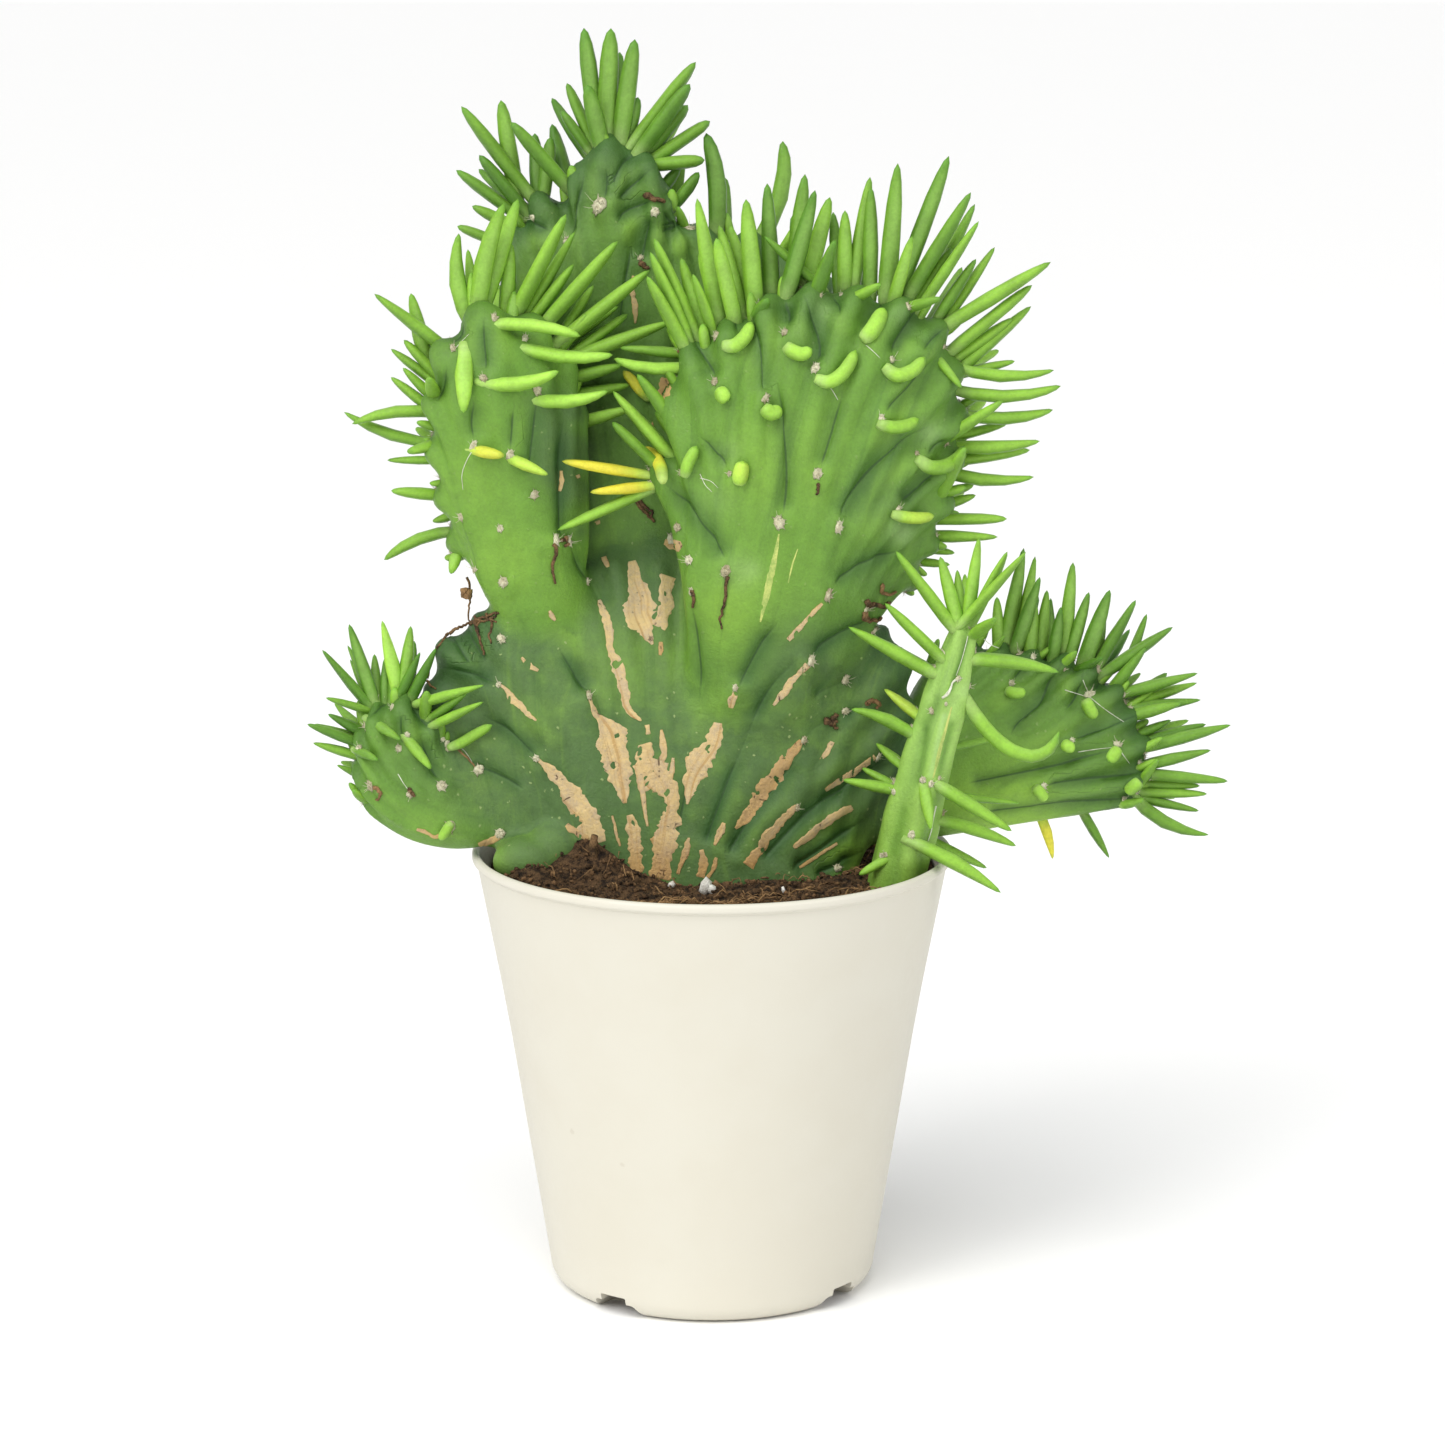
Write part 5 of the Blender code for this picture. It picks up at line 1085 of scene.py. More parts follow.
def makeLeafPattern():
    # a peg of rings, extruded and sized ring by ring, closed at its tip
    deselectAll()
    bpy.ops.mesh.primitive_circle_add(vertices=leafForm["sides"], radius=1, fill_type="NGON")
    pattern = bpy.context.object
    editAll()
    place, width = leafForm["sections"][0]
    bpy.ops.transform.resize(value=(width, width * leafForm["flat"], 1))
    for nextPlace, nextWidth in leafForm["sections"][1:]:
        bpy.ops.mesh.extrude_region_move(TRANSFORM_OT_translate={"value": (0, 0, nextPlace - place)})
        bpy.ops.transform.resize(value=(nextWidth / width, nextWidth / width, 1))
        place, width = nextPlace, nextWidth
    bpy.ops.mesh.extrude_region_move(TRANSFORM_OT_translate={"value": (0, 0, 1 - place)})
    bpy.ops.mesh.merge(type="CENTER")
    turnFacesOut()
    return patternFrom(pattern)


leafPoints, leafFaces = makeLeafPattern()


def leafCentre(leaf, share):
    share = np.atleast_1d(share)[:, None]
    return leaf["start"] + leaf["course"] * share + leaf["bend"] * share**2


def leafSurface(leaf, dice):
    # the flatter side of a leaf faces up
    direction = unit(leaf["course"] + leaf["bend"])
    side = unit(np.cross(direction, (0.05, 0.12, 1.0) if abs(direction[2]) < 0.93 else (0.3, -1.0, 0.1)))
    other = np.cross(direction, side)
    share = leafPoints[:, 2]
    centre = leafCentre(leaf, share)
    wave = 1 + dice.uniform(-0.05, 0.05) * np.sin(share * 9 + dice.uniform(0, 6))
    taper = 1 - (leaf.get("sharp", 0.2) + dice.uniform(-0.1, 0.1)) * smoothStep(0.50, 0.97, share)
    return centre + (side * leafPoints[:, :1] + other * leafPoints[:, 1:2]) * (leaf["radius"] * wave * taper)[:, None]


def weldedNode(node):
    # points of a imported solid, each one once, and what each is joined to
    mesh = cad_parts[node].data
    loose = pointsOf(mesh)
    _, first, index = np.unique(np.round(loose, 3), axis=0, return_index=True, return_inverse=True)
    index = index.ravel()
    joined, uses = {}, {}
    for face in mesh.polygons:
        corners = [int(index[i]) for i in face.vertices]
        for corner in corners:
            joined.setdefault(corner, set()).update(c for c in corners if c != corner)
            uses[corner] = uses.get(corner, 0) + 1
    return loose[first], joined, uses


def straightLeaf(tip, course, radius):
    return {"start": tip - course, "course": course, "bend": np.zeros(3), "radius": radius, "tip": tip}


def ringSize(corners):
    middle = corners.mean(0)
    return middle, norm(corners - middle, axis=1).mean()


def leafThrough(points, tip, ring, lower):
    # the curve through the middles of two rings and the tip gives the leaf's start, course and bend
    low, high = leafForm["solidSections"]
    lowWidth, highWidth = leafForm["solidWidths"]
    middle, radius = ringSize(points[list(ring)])
    radius /= highWidth
    if len(lower) == 4:
        lowMiddle, lowRadius = ringSize(points[list(lower)])
        if abs(lowRadius / lowWidth / radius - 1) < 0.12:
            marks = np.array([[1, low, low**2], [1, high, high**2], [1, 1, 1]])
            start, course, bend = np.linalg.solve(marks, np.stack([lowMiddle, middle, points[tip]]))
            return {"start": start, "course": course, "bend": bend, "radius": radius, "tip": points[tip]}
    return straightLeaf(points[tip], (points[tip] - middle) / (1 - high), radius)


def findLeaves(node):
    points, joined, uses = weldedNode(node)
    found = []
    for tip, ring in joined.items():
        if uses[tip] != 4 or len(ring) != 4 or any(len(joined[corner] & ring) != 2 for corner in ring):
            continue
        corners = points[list(ring)]
        reaches = norm(corners - corners.mean(0), axis=1)
        blunt = norm(unit(corners - points[tip]).mean(0)) < leafForm["sharpest"]
        if blunt or np.ptp(reaches) > 0.04 * reaches.mean():
            continue
        lower = set().union(*(joined[corner] for corner in ring)) - ring - {tip}
        leaf = leafThrough(points, tip, ring, lower)
        if leaf["radius"] < leafForm["thickest"] and norm(leaf["course"]) > 2.2 * leaf["radius"]:
            found.append(leaf)
    for row in joinedLeaves.get(node, ()):
        root, tip = np.array(row[:3]), np.array(row[3:6])
        found.append(straightLeaf(tip, tip - root + 2.4 * unit(tip - root), row[6]))
    bright, dice = np.array(brightLeaves), random.Random(f"tones {node}")
    for leaf, place in zip(found, photoPlaces(np.array([leaf["tip"] for leaf in found]))):
        shifts = leafLightAndShadeShifts[:, 3] * bell(np.hypot(*(leafLightAndShadeShifts[:, :2] - place).T), leafLightAndShadeShifts[:, 2])
        leaf["tone"] = min(max(dice.uniform(*leafTones[node]) + shifts.sum(), 0.02), 0.64)
        away = np.hypot(*(bright[:, :2] - place).T)
        if away.min() < leafForm["brightReach"] and leaf["tip"][1] < leafForm["brightDepth"]:
            leaf["tone"] = bright[np.argmin(away), 2]
        leaf["sharp"] = sharpTips[node]
        leaf["root"] = leafCentre(leaf, 2.2 / max(norm(leaf["course"]), 5))[0]
    return found


# Small young leaves between the others, along each crest
budForm = {
    "crest_main": ("back", 16), "crest_right": ("right", 26), "crest_left": ("left", 14),
    "crest_low_left": ("lowLeft", 9), "crest_low_right": ("lowRight", 16),
}


def makeBuds(node):
    fan, count = fans[budForm[node][0]], budForm[node][1]
    dice = random.Random(f"buds {node}")
    buds = []
    for k in range(count):
        u, place = (k + dice.uniform(0.2, 0.8)) / count, dice.uniform(-0.3, 0.9)
        along, outward, normal = (axis[0] for axis in fanAxes(fan, np.array([u]), np.array([0.95])))
        edge = fanMiddle(fan, np.array([u]), np.array([1.0]))[0]
        root = edge - outward * (1.2 + 2.5 * abs(place)) + normal * place * fan["halfThick"][2] * 0.75
        length, course = dice.uniform(4.5, 9.0), unit(outward + normal * place * 0.9 + along * dice.uniform(-0.3, 0.3))
        buds.append({
            "start": root - course * 1.5, "course": course * length, "bend": np.array([0, 0, 0.8]), "root": root,
            "radius": dice.uniform(1.05, 1.5), "tone": dice.uniform(0.35, 0.62), "tip": root + course * length,
        })
    return buds


# Curved leaves that are drawn after the photograph in place of the solid's: half width in pixels, tone, and
# columns and rows from root to tip
drawnLeaves = {
    "crest_right": (
        (6.8, 0.73, 722, 345, 733, 346, 744, 338, 752, 322), (6.8, 0.73, 785, 345, 792, 351, 802, 354, 812, 349),
        (6.6, 0.71, 815, 378, 828, 382, 842, 374, 850, 363, 856, 350),
        (8, 0.7, 862, 340, 870, 333, 878, 321, 884, 308), (6.8, 0.7, 884, 366, 896, 375, 912, 371, 925, 357),
        (7.2, 0.74, 720, 390, 723, 396, 728, 401), (7.2, 0.7, 763, 407, 771, 413, 782, 409),
        (6.2, 0.63, 877, 423, 890, 427, 905, 426, 919, 419), (5.8, 0.66, 684, 477, 688, 464, 697, 446),
        (7.4, 0.83, 739, 484, 741, 472, 743, 461), (6.2, 0.97, 663, 481, 660, 466, 652, 454, 643, 449),
        (5.8, 0.84, 892, 514, 905, 517, 920, 518, 934, 516),
        (7, 0.5, 917, 458, 930, 467, 946, 466, 959, 457, 964, 446), (5, 0.94, 650, 400, 640, 390, 631, 379, 623, 371),
    ),
    "crest_low_right": (
        (5.6, 0.68, 1006, 690, 1014, 693, 1026, 692), (6.2, 0.66, 1085, 699, 1089, 708, 1096, 718),
        (6, 0.74, 1063, 743, 1069, 747, 1075, 747), (6.4, 0.68, 1118, 749, 1113, 756, 1108, 761),
        (6, 0.68, 1034, 787, 1040, 793, 1046, 800), (6.4, 0.66, 1140, 781, 1133, 787, 1126, 793),
    ),
    "crest_low_left": (
        (4.8, 0.66, 452, 822, 446, 831, 440, 840), (5.2, 0.56, 448, 748, 461, 743, 476, 734, 492, 725),
    ),
    "stem_front": ((6.8, 0.56, 963, 692, 970, 706, 982, 724, 998, 741, 1017, 753, 1036, 756, 1051, 748, 1059, 732),),
}
# Where a drawn leaf hangs free, its depths at root and tip in millimetres
hangingDepths = {"stem_front": (-18.6, -24.4)}
drawnForm = {"rings": 14, "sides": 12, "deep": 0.88, "near": 24}


def depthBeside(tree, column, row):
    # how far from the camera a ray that meets nothing comes nearest to the skin
    origin, direction = photoRay(column, row)
    reach = np.linspace(*cameraLook["depths"], 101)
    gaps = [tree.find_nearest(Vector((origin + direction * depth) * mm))[3] for depth in reach]
    return reach[int(np.argmin(gaps))]


def photoPath(tree, line, count, lift, straight=False):
    # a path in front of what the camera's rays meet, and carried on where they meet nothing
    knots, index = lineThrough(line, np.linspace(0, 1, count)), np.arange(count)
    hits = [hitSkin(tree, *knot)[0] for knot in knots]
    depths = np.array([np.nan if hit is None else norm(hit - eye) for hit in hits])
    known = ~np.isnan(depths)
    if not known.any():
        depths, known = np.full(count, depthBeside(tree, *line[0])), ~known
    if straight:
        fit = np.polyval(np.polyfit(index[known], depths[known], 1), index)
        depths = fit - 0.6 * max(0, np.max(fit[known] - depths[known]))
    else:
        depths = np.interp(index, index[known], depths[known])
    return np.array([eye + photoRay(*knot)[1] * depth for knot, depth in zip(knots, depths - lift)])


def drawnLeaf(heap, half, tone, line, free):
    # lies on the skin, or hangs free between two depths
    rings, sides = drawnForm["rings"], drawnForm["sides"]
    share, radius, angles = np.linspace(0, 1, rings + 1), half * pixel, around(sides)
    if free:
        rays = np.array([photoRay(*place)[1] for place in lineThrough(line, share)])
        centre = eye + rays * (np.linspace(*free, rings + 1) - eye[1])[:, None] / rays[:, 1:2]
    else:
        centre = photoPath(skinTree, line, rings + 1, radius * (0.1 + 0.75 * smoothStep(0.0, 0.35, share)), True)
    forward = unit(np.gradient(centre, axis=0))
    side = unit(np.cross(forward, (0.0, 1.0, 0.0)))
    side = side * np.where(side[:, 2:] < 0, -1, 1)
    other = np.cross(forward, side)
    places, widths = np.array(leafForm["sections"] + ((1.0, 0.10),)).T
    width = radius * np.interp(share, places, widths)
    points = [centre[k] + (side[k] * math.cos(a) + other[k] * math.sin(a) * drawnForm["deep"]) * width[k]
              for k in range(rings + 1) for a in angles]
    ends = [tuple(range(sides))[::-1], tuple(range(rings * sides, (rings + 1) * sides))]
    # ridge runs from 1 on the upper side to -1 beneath, for the painted highlight and shade
    heap.add(points, ends + ringFaces(rings, sides), tone=tone, along=np.repeat(share, sides),
             ridge=np.tile(np.cos(angles), rings + 1))
    return {"root": centre[0], "radius": radius, "tip": centre[-1]}


def makeLeaves():
    grown = {}
    for node in leafTones:
        leaves = findLeaves(node)
        drawn = [(half, tone, grouped(marks)) for half, tone, *marks in drawnLeaves.get(node, ())]
        for _, _, line in drawn:
            # the nearest leaf of the solids gives way to the drawn one
            ends = [photoPlaces(np.array([leaf[key] for leaf in leaves])) for key in ("root", "tip")]
            away = np.maximum(np.hypot(*(ends[0] - line[0]).T), np.hypot(*(ends[1] - line[-1]).T))
            if away.min() < drawnForm["near"]:
                leaves.pop(int(np.argmin(away)))
        if node in budForm:
            leaves += makeBuds(node)
        grown[node], heap = leaves, Heap()
        for k, leaf in enumerate(leaves):
            # ridge runs from 1 on the upper side to -1 beneath, for the painted highlight and shade
            heap.add(leafSurface(leaf, random.Random(f"{node} leaf {k}")), leafFaces, tone=leaf["tone"],
                     along=leafPoints[:, 2], ridge=-leafPoints[:, 1] / leafForm["flat"])
        leaves += [drawnLeaf(heap, *row, hangingDepths.get(node)) for row in drawn]
        name = "leaves" + "".join(word.capitalize() for word in node.replace("crest_", "").split("_"))
        piece = heap.piece(name, leafMaterial)
        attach(piece, "root")
        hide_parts(node)
        slots.get(node, "crest")
    return grown


grownLeaves = makeLeaves()
print("stage: leaves")


# The round stem at the front right
stemForm = {
    "axis": (
        (35, -12, 68), (40, -14, 91), (43, -15, 106), (47, -16, 121), (51, -17, 136), (54, -18, 148), (56, -18, 155),
    ),
    "radii": (5.8, 6.4, 6.3, 6.1, 5.5, 4.6, 2.6), "sides": 60, "rings": 170, "rise": 0.8, "ribs": 5, "ribDepth": 0.36,
    "ribTwist": 1.1,
}
# Woolly places of the stem, as columns and rows of the photograph with a size
stemAreoles = (
    (932, 711, 1.1), (931, 784, 1.2), (911, 841, 1), (894, 792, 1), (882, 856, 0.9), (969, 704, 1.1), (933, 672, 0.9),
    (984, 661, 0.9), (936, 657, 0.8), (968, 627, 1.2), (958, 679, 0.8), (955, 626, 0.8), (978, 630, 0.9),
    (946, 704, 0.7),
)
# Light and dark bands along the stem: paler skin with painted highlight and sheen where the share is above nought,
# painted shade below; share, width in pixels, columns and rows
stemBands = (
    (1, 3, 944, 716, 938, 742, 931, 776), (0.45, 6, 986, 640, 978, 668, 966, 694),
    (0.4, 6, 962, 688, 954, 702, 950, 716), (0.3, 3, 956, 632, 944, 656, 930, 700),
    (0.3, 5, 924, 800, 914, 830, 906, 862), (0.25, 3, 962, 720, 950, 752, 942, 776),
    (-0.7, 2.6, 967, 640, 960, 662, 950, 690), (-0.46, 4, 927, 730, 924, 756, 920, 782),
    (-0.28, 3, 951, 636, 938, 664, 928, 690), (-0.3, 5, 934, 800, 926, 822, 920, 846),
    (-0.36, 4, 951, 724, 945, 750, 940, 772), (-0.3, 5, 940, 700, 934, 712, 926, 724),
    (-0.3, 5, 904, 810, 900, 830, 894, 850),
)


def bandValues(points):
    # how much lighter or darker the bands make each point
    seen, total = photoPlaces(points), np.zeros(len(points))
    for share, width, *marks in stemBands:
        knots = lineThrough(grouped(marks), np.linspace(0, 1, 30))
        total += share * bell(np.min(np.hypot(seen[:, :1] - knots[:, 0], seen[:, 1:] - knots[:, 1]), axis=1), width)
    return total


def makeStem():
    sides, rings = stemForm["sides"], stemForm["rings"]
    places, angles = np.linspace(0, 1, rings + 1), around(sides)
    centres = lineThrough(stemForm["axis"], places)
    radii = np.interp(places, np.linspace(0, 1, len(stemForm["radii"])), stemForm["radii"])
    forward = unit(np.gradient(centres, axis=0))
    across = unit(np.cross(forward, (0.0, 1.0, 0.0)))
    behind = np.cross(forward, across)
    points, wave = [], []
    for k in range(rings + 1):
        spoke = across[k] * np.cos(angles)[:, None] + behind[k] * np.sin(angles)[:, None]
        rib = np.cos(stemForm["ribs"] * angles + stemForm["ribTwist"] * 2 * math.pi * places[k])
        points.append(centres[k] + spoke * (radii[k] + stemForm["ribDepth"] * (rib - 0.7))[:, None])
        wave.append(rib)
    points, wave = np.concatenate(points), np.concatenate(wave)
    outward = unit(points - np.repeat(centres, sides, axis=0))
    rise, lean = np.zeros(len(points)), unit([0.25, 0.0, 0.97])
    for leaf in grownLeaves["stem_front"]:
        offset = points - leaf["root"]
        above = offset @ lean
        sideways = norm(offset - above[:, None] * lean, axis=1)
        rise = np.maximum(rise, stemForm["rise"] * bell(sideways, 2.6) * bell(above + 4, 7.0))
    points = points + outward * rise[:, None]
    bottom, top, faces = len(points), len(points) + 1, ringFaces(rings, sides)
    for i in range(sides):
        j = (i + 1) % sides
        faces += [(bottom, j, i), (top, rings * sides + i, rings * sides + j)]
    cap = centres[-1] + forward[-1] * radii[-1] * 0.5
    stem = pieceFromArrays("stemSkin", np.vstack([points, centres[:1], [cap]]), faces, skinMaterial)
    share, none = np.repeat(places, sides), np.zeros(len(points))
    bands = bandValues(points) * (outward[:, 1] < 0.2)
    # paler upwards, with painted highlight on the rib crests and on the swellings under the leaves, and the bands'
    # paler skin and painted highlight
    glow = 0.26 + 0.36 * smoothStep(0.15, 0.6, share) + 0.12 * wave + 0.3 * rise + bands
    layers = {
        "age": 0.30 * smoothStep(0.5, 0.1, share), "margin": none, "glow": np.clip(glow, 0, 1),
        # waxy bloom upwards, with painted sheen from the bands
        "wax": np.clip(0.04 + 0.34 * bands + 0.20 * smoothStep(0.25, 0.9, share), 0, 0.55),
        # painted shade in the rib hollows and the dark bands
        "hollow": np.clip(-0.18 * wave - bands, 0, 1), "furrowAway": none + 9.0, "furrowStrength": none,
        "grainAcross": np.tile(angles * 6, rings + 1),
        "grainAlong": share * norm(np.diff(centres, axis=0), axis=1).sum(),
    }
    for name, values in layers.items():
        addValues(stem, name, np.concatenate([values, values[:1], values[-1:]]))
    selectOnly(stem)
    editAll()
    turnFacesOut()
    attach(stem, "root")
    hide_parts("stem_front")
    return stem


stem = makeStem()
stemTree = treeOf(stem)
print("stage: round stem")


# Pot, spun from its half section, with notches and drain slots cut in its foot
potForm = {
    "height": 101.6, "rim": 54.6, "shoulderHeight": 65.5, "shoulder": 47.1, "foot": 37.4, "footRound": 5.0,
    "wall": 1.5, "floor": 2.0, "floorRound": 4.5, "beadHeight": 2.2, "beadProud": 0.6, "steps": 144,
    "notchAngles": (-37, 53, 143, 233), "notchSize": (14.0, 17.0, 6.0), "notchTop": 0.62,
    "drainSize": (12.0, 7.0, 3.2), "notchPlace": 34.5,
}


def potRadius(height):
    form = potForm
    heights = (0, form["footRound"], form["shoulderHeight"] - 6, form["shoulderHeight"] + 6, form["height"])
    radii = (form["foot"] - 0.8, form["foot"], form["shoulder"] - 0.97, form["shoulder"] + 1.15,
             form["rim"] - form["beadProud"])
    return float(np.interp(height, heights, radii))


def arcPoints(centre, radius, start, end, count):
    turns = [math.radians(start + (end - start) * k / count) for k in range(count + 1)]
    return [(centre[0] + radius * math.cos(turn), centre[1] + radius * math.sin(turn)) for turn in turns]


def potSection():
    form = potForm
    top, bead = form["height"], form["beadHeight"]
    inner, bend = form["foot"] - form["wall"], form["floorRound"]
    section = [(0, form["floor"])] + arcPoints((inner - bend, form["floor"] + bend), bend, -90, 0, 5)
    section += [(potRadius(z) - form["wall"], z) for z in (20, 40, 58, 62, 65.5, 69, 73, 88, top - 3)]
    section += arcPoints((form["rim"] - 0.9, top - 0.9), 0.9, 165, 0, 8)
    section += arcPoints((form["rim"] - 0.7, top - bead + 0.7), 0.7, 0, -70, 4)
    section += [(potRadius(top - bead - 0.5), top - bead - 0.5)]
    section += [(potRadius(z), z) for z in (88, 73, 69, 65.5, 62, 58, 40, 20)]
    section += arcPoints((form["foot"] - form["footRound"], form["footRound"]), form["footRound"], 0, -90, 8)
    section += [(0, 0)]
    return section


def footCutter(name, size, spoke, height, topShare):
    deselectAll()
    bpy.ops.mesh.primitive_cube_add(size=1)
    cutter = bpy.context.object
    cutter.name = name
    editAll()
    bpy.ops.mesh.bevel(offset=0.09, segments=3)
    bpy.ops.object.mode_set(mode="OBJECT")
    for vertex in cutter.data.vertices:
        vertex.co.y *= 1 - (1 - topShare) * (vertex.co.z + 0.5)
    grow = Matrix.Diagonal((*[s * mm for s in size], 1))
    shift = Matrix.Translation((potForm["notchPlace"] * mm, 0, height * mm))
    cutter.data.transform(Matrix.Rotation(spoke, 4, "Z") @ shift @ grow)
    return cutter


def makePot():
    pot = spunPiece("potShell", potSection(), potForm["steps"])
    cutters = []
    for angle in potForm["notchAngles"]:
        spoke = math.radians(angle - 90)
        cutters.append(footCutter(f"notch{angle}", potForm["notchSize"], spoke, 0, potForm["notchTop"]))
        cutters.append(footCutter(f"drain{angle}", potForm["drainSize"], spoke, potForm["notchSize"][2] / 2, 1))
    selectOnly(pot)
    for cutter in cutters:
        cut = pot.modifiers.new(cutter.name, "BOOLEAN")
        cut.operation, cut.object = "DIFFERENCE", cutter
        bpy.ops.object.modifier_apply(modifier=cut.name)
        bpy.data.objects.remove(cutter)
    bpy.ops.object.shade_smooth_by_angle(angle=math.radians(32))
    pot.data.materials.clear()
    pot.data.materials.append(potMaterial)
    points = pointsOf(pot.data)
    away = np.hypot(points[:, 0], points[:, 1])
    wall = np.array([potRadius(z) for z in points[:, 2]])
    addValues(pot, "inside", (away < wall - 0.9) & (points[:, 2] > 1.5) & (points[:, 2] < potForm["height"] - 1.0))
    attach(pot, "root")
    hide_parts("pot")


makePot()
print("stage: pot")


# Potting mix
soilForm = {
    "level": 96.5, "mounds": ((-28, -13, 9.0, 11.0), (-39, -22, 4.5, 9.0)), "gap": 0.35, "steps": 180,
    "crumbs": 7200, "fibres": 260, "mat": 110, "bark": 34, "perlite": 4,
}
# Perlite lumps that the photograph shows, as columns, rows and sizes, and the old twig in the mix in millimetres
perliteMarks = ((705, 890, 1.9), (712, 892, 1.5), (506, 867, 1.3))
oldTwig = ((-26.5, -16, 96), (-26.2, -17, 101), (-26.8, -17.5, 105.5), (-26.2, -18, 108.5))


def soilTop(x, y):
    lumps = 0.8 * math.sin(x * 0.31 + 1.1) * math.cos(y * 0.27) + 0.6 * math.sin(x * 0.13 - y * 0.36)
    mound = max(high * math.exp(-((math.hypot(x - middleX, y - middleY) / wide) ** 2))
                for middleX, middleY, high, wide in soilForm["mounds"])
    coarse = noise.noise(Vector((x * 0.22, y * 0.22, 3.1)))
    fine = noise.noise(Vector((x * 0.75, y * 0.75, 7.7)))
    return soilForm["level"] + lumps + mound + 0.7 * coarse + 0.45 * fine


def makeSoil():
    level, foot = soilForm["level"], potForm["floor"] + soilForm["gap"]
    walls = [(potRadius(z) - potForm["wall"] - soilForm["gap"], z) for z in (level, level - 1.5, 66, 7)]
    section = [(radius, level) for radius in np.linspace(0, walls[0][0] - 0.4, 60)] + walls[1:]
    section += [(potForm["foot"] - potForm["wall"] - potForm["floorRound"], foot), (0, foot)]
    soil = spunPiece("pottingMix", section, soilForm["steps"])
    points = pointsOf(soil.data)
    for k, (x, y, z) in enumerate(points):
        if z > level - 0.5:
            points[k, 2] = soilTop(x, y)
    setPoints(soil.data, points)
    soil.data.shade_smooth()
    soil.data.materials.append(soilMaterial)
    addValues(soil, "tint", np.zeros(len(points)))
    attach(soil, "root")
    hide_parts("soil")
    return soil


def tubePath(heap, path, radius, sides=4, taper=0.4, **layers):
    # a thin round strand along points
    path = np.asarray(path, float)
    last, angles = len(path) - 1, around(sides)
    forward = unit(np.gradient(path, axis=0))
    helper = np.array([0.2, 0.4, 0.9]) if abs(forward[0][2]) < 0.8 else np.array([1.0, 0.2, 0.1])
    side = unit(np.cross(forward, helper))
    other = np.cross(forward, side)
    points = []
    for k in range(last + 1):
        size = radius * (1 - (1 - taper) * k / last)
        points += [path[k] + (side[k] * math.cos(a) + other[k] * math.sin(a)) * size for a in angles]
    ends = [tuple(range(sides))[::-1], tuple(range(last * sides, (last + 1) * sides))]
    heap.add(points, ringFaces(last, sides) + ends, **layers)


def scatterOnSoil(dice, margin=1.5):
    reach = potRadius(soilForm["level"]) - potForm["wall"] - margin
    turn, away = dice.uniform(0, 2 * math.pi), reach * math.sqrt(dice.random())
    return away * math.cos(turn), away * math.sin(turn)


def makeSoilDetail():
    dice = random.Random("crumbs")
    crumbPoints, crumbFaces = ballPattern(1)
    crumbs, bark, fibres, perlite = Heap(), Heap(), Heap(), Heap()

    def lump(heap, x, y, size, lift, tint, flat=1.0):
        reaches = [dice.uniform(0.6, 1.2), dice.uniform(0.6, 1.2), dice.uniform(0.5, 1.0) * flat]
        shape = crumbPoints * np.array(reaches) * size
        shape = shape * (1 + 0.28 * np.array([dice.uniform(-1, 1) for _ in range(len(shape))]))[:, None]
        turn = Matrix.Rotation(dice.uniform(0, 6.28), 3, "Z") @ Matrix.Rotation(dice.uniform(0, 6.28), 3, "X")
        heap.add(shape @ np.array(turn).T + (x, y, soilTop(x, y) + lift * size), crumbFaces, tint=tint)

    for _ in range(soilForm["crumbs"]):
        x, y = scatterOnSoil(dice)
        size, lift = 0.22 + 0.62 * dice.random() ** 3.2, dice.uniform(-0.1, 0.9)
        lump(crumbs, x, y, size, lift, 0.0 if dice.random() < 0.3 else dice.random())
    for _ in range(soilForm["bark"]):
        x, y = scatterOnSoil(dice, 4)
        lump(bark, x, y, dice.uniform(0.8, 1.6), 0.3, dice.uniform(0.1, 0.8), 0.45)
    for _ in range(soilForm["perlite"]):
        x, y = scatterOnSoil(dice, 5)
        lump(perlite, x, y, dice.uniform(0.6, 1.3), 0.5, 0.5)
    for column, row, size in perliteMarks:
        point, _ = hitSkin(soilTree, column, row)
        if point is not None:
            lump(perlite, point[0], point[1], size, 0.4, 0.5)
    for number in range(soilForm["fibres"] + soilForm["mat"]):
        x, y = scatterOnSoil(dice, 4)
        turn, length = dice.uniform(0, 6.28), dice.uniform(2, 8)
        if number < soilForm["mat"]:
            # a mat of finer roots along the front
            x, y, turn = dice.uniform(-20, 18), dice.uniform(-46, -36), dice.uniform(-0.5, 0.5)
        curl = dice.uniform(-0.16, 0.16)
        path = []
        for k in range(6):
            path.append((x, y, soilTop(x, y) + 0.5 + dice.uniform(0, 0.9) + 0.9 * math.sin(k * 0.6)))
            x, y = x + math.cos(turn) * length / 6, y + math.sin(turn) * length / 6
            turn += curl * length / 3
        if math.hypot(x, y) < potRadius(soilForm["level"]) - 3.5:
            tubePath(fibres, path, dice.uniform(0.08, 0.24), tint=dice.random())
    tubePath(bark, oldTwig, 1.25, sides=7, taper=0.65, tint=0.1)
    for heap, name, material in ((crumbs, "soilCrumbs", soilMaterial), (bark, "barkChips", driedMaterial),
                                 (fibres, "soilFibres", fibreMaterial), (perlite, "perliteLumps", perliteMaterial)):
        piece = heap.piece(name, material)
        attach(piece, "root")


soil = makeSoil()
soilTree = treeOf(soil)
makeSoilDetail()
print("stage: potting mix")


# Wool and bristles at the areoles and at the leaves' roots
woolForm = {"size": 1.28, "leafSize": 0.86, "hairs": 9, "bristles": 3, "near": 4, "clear": 3.2}


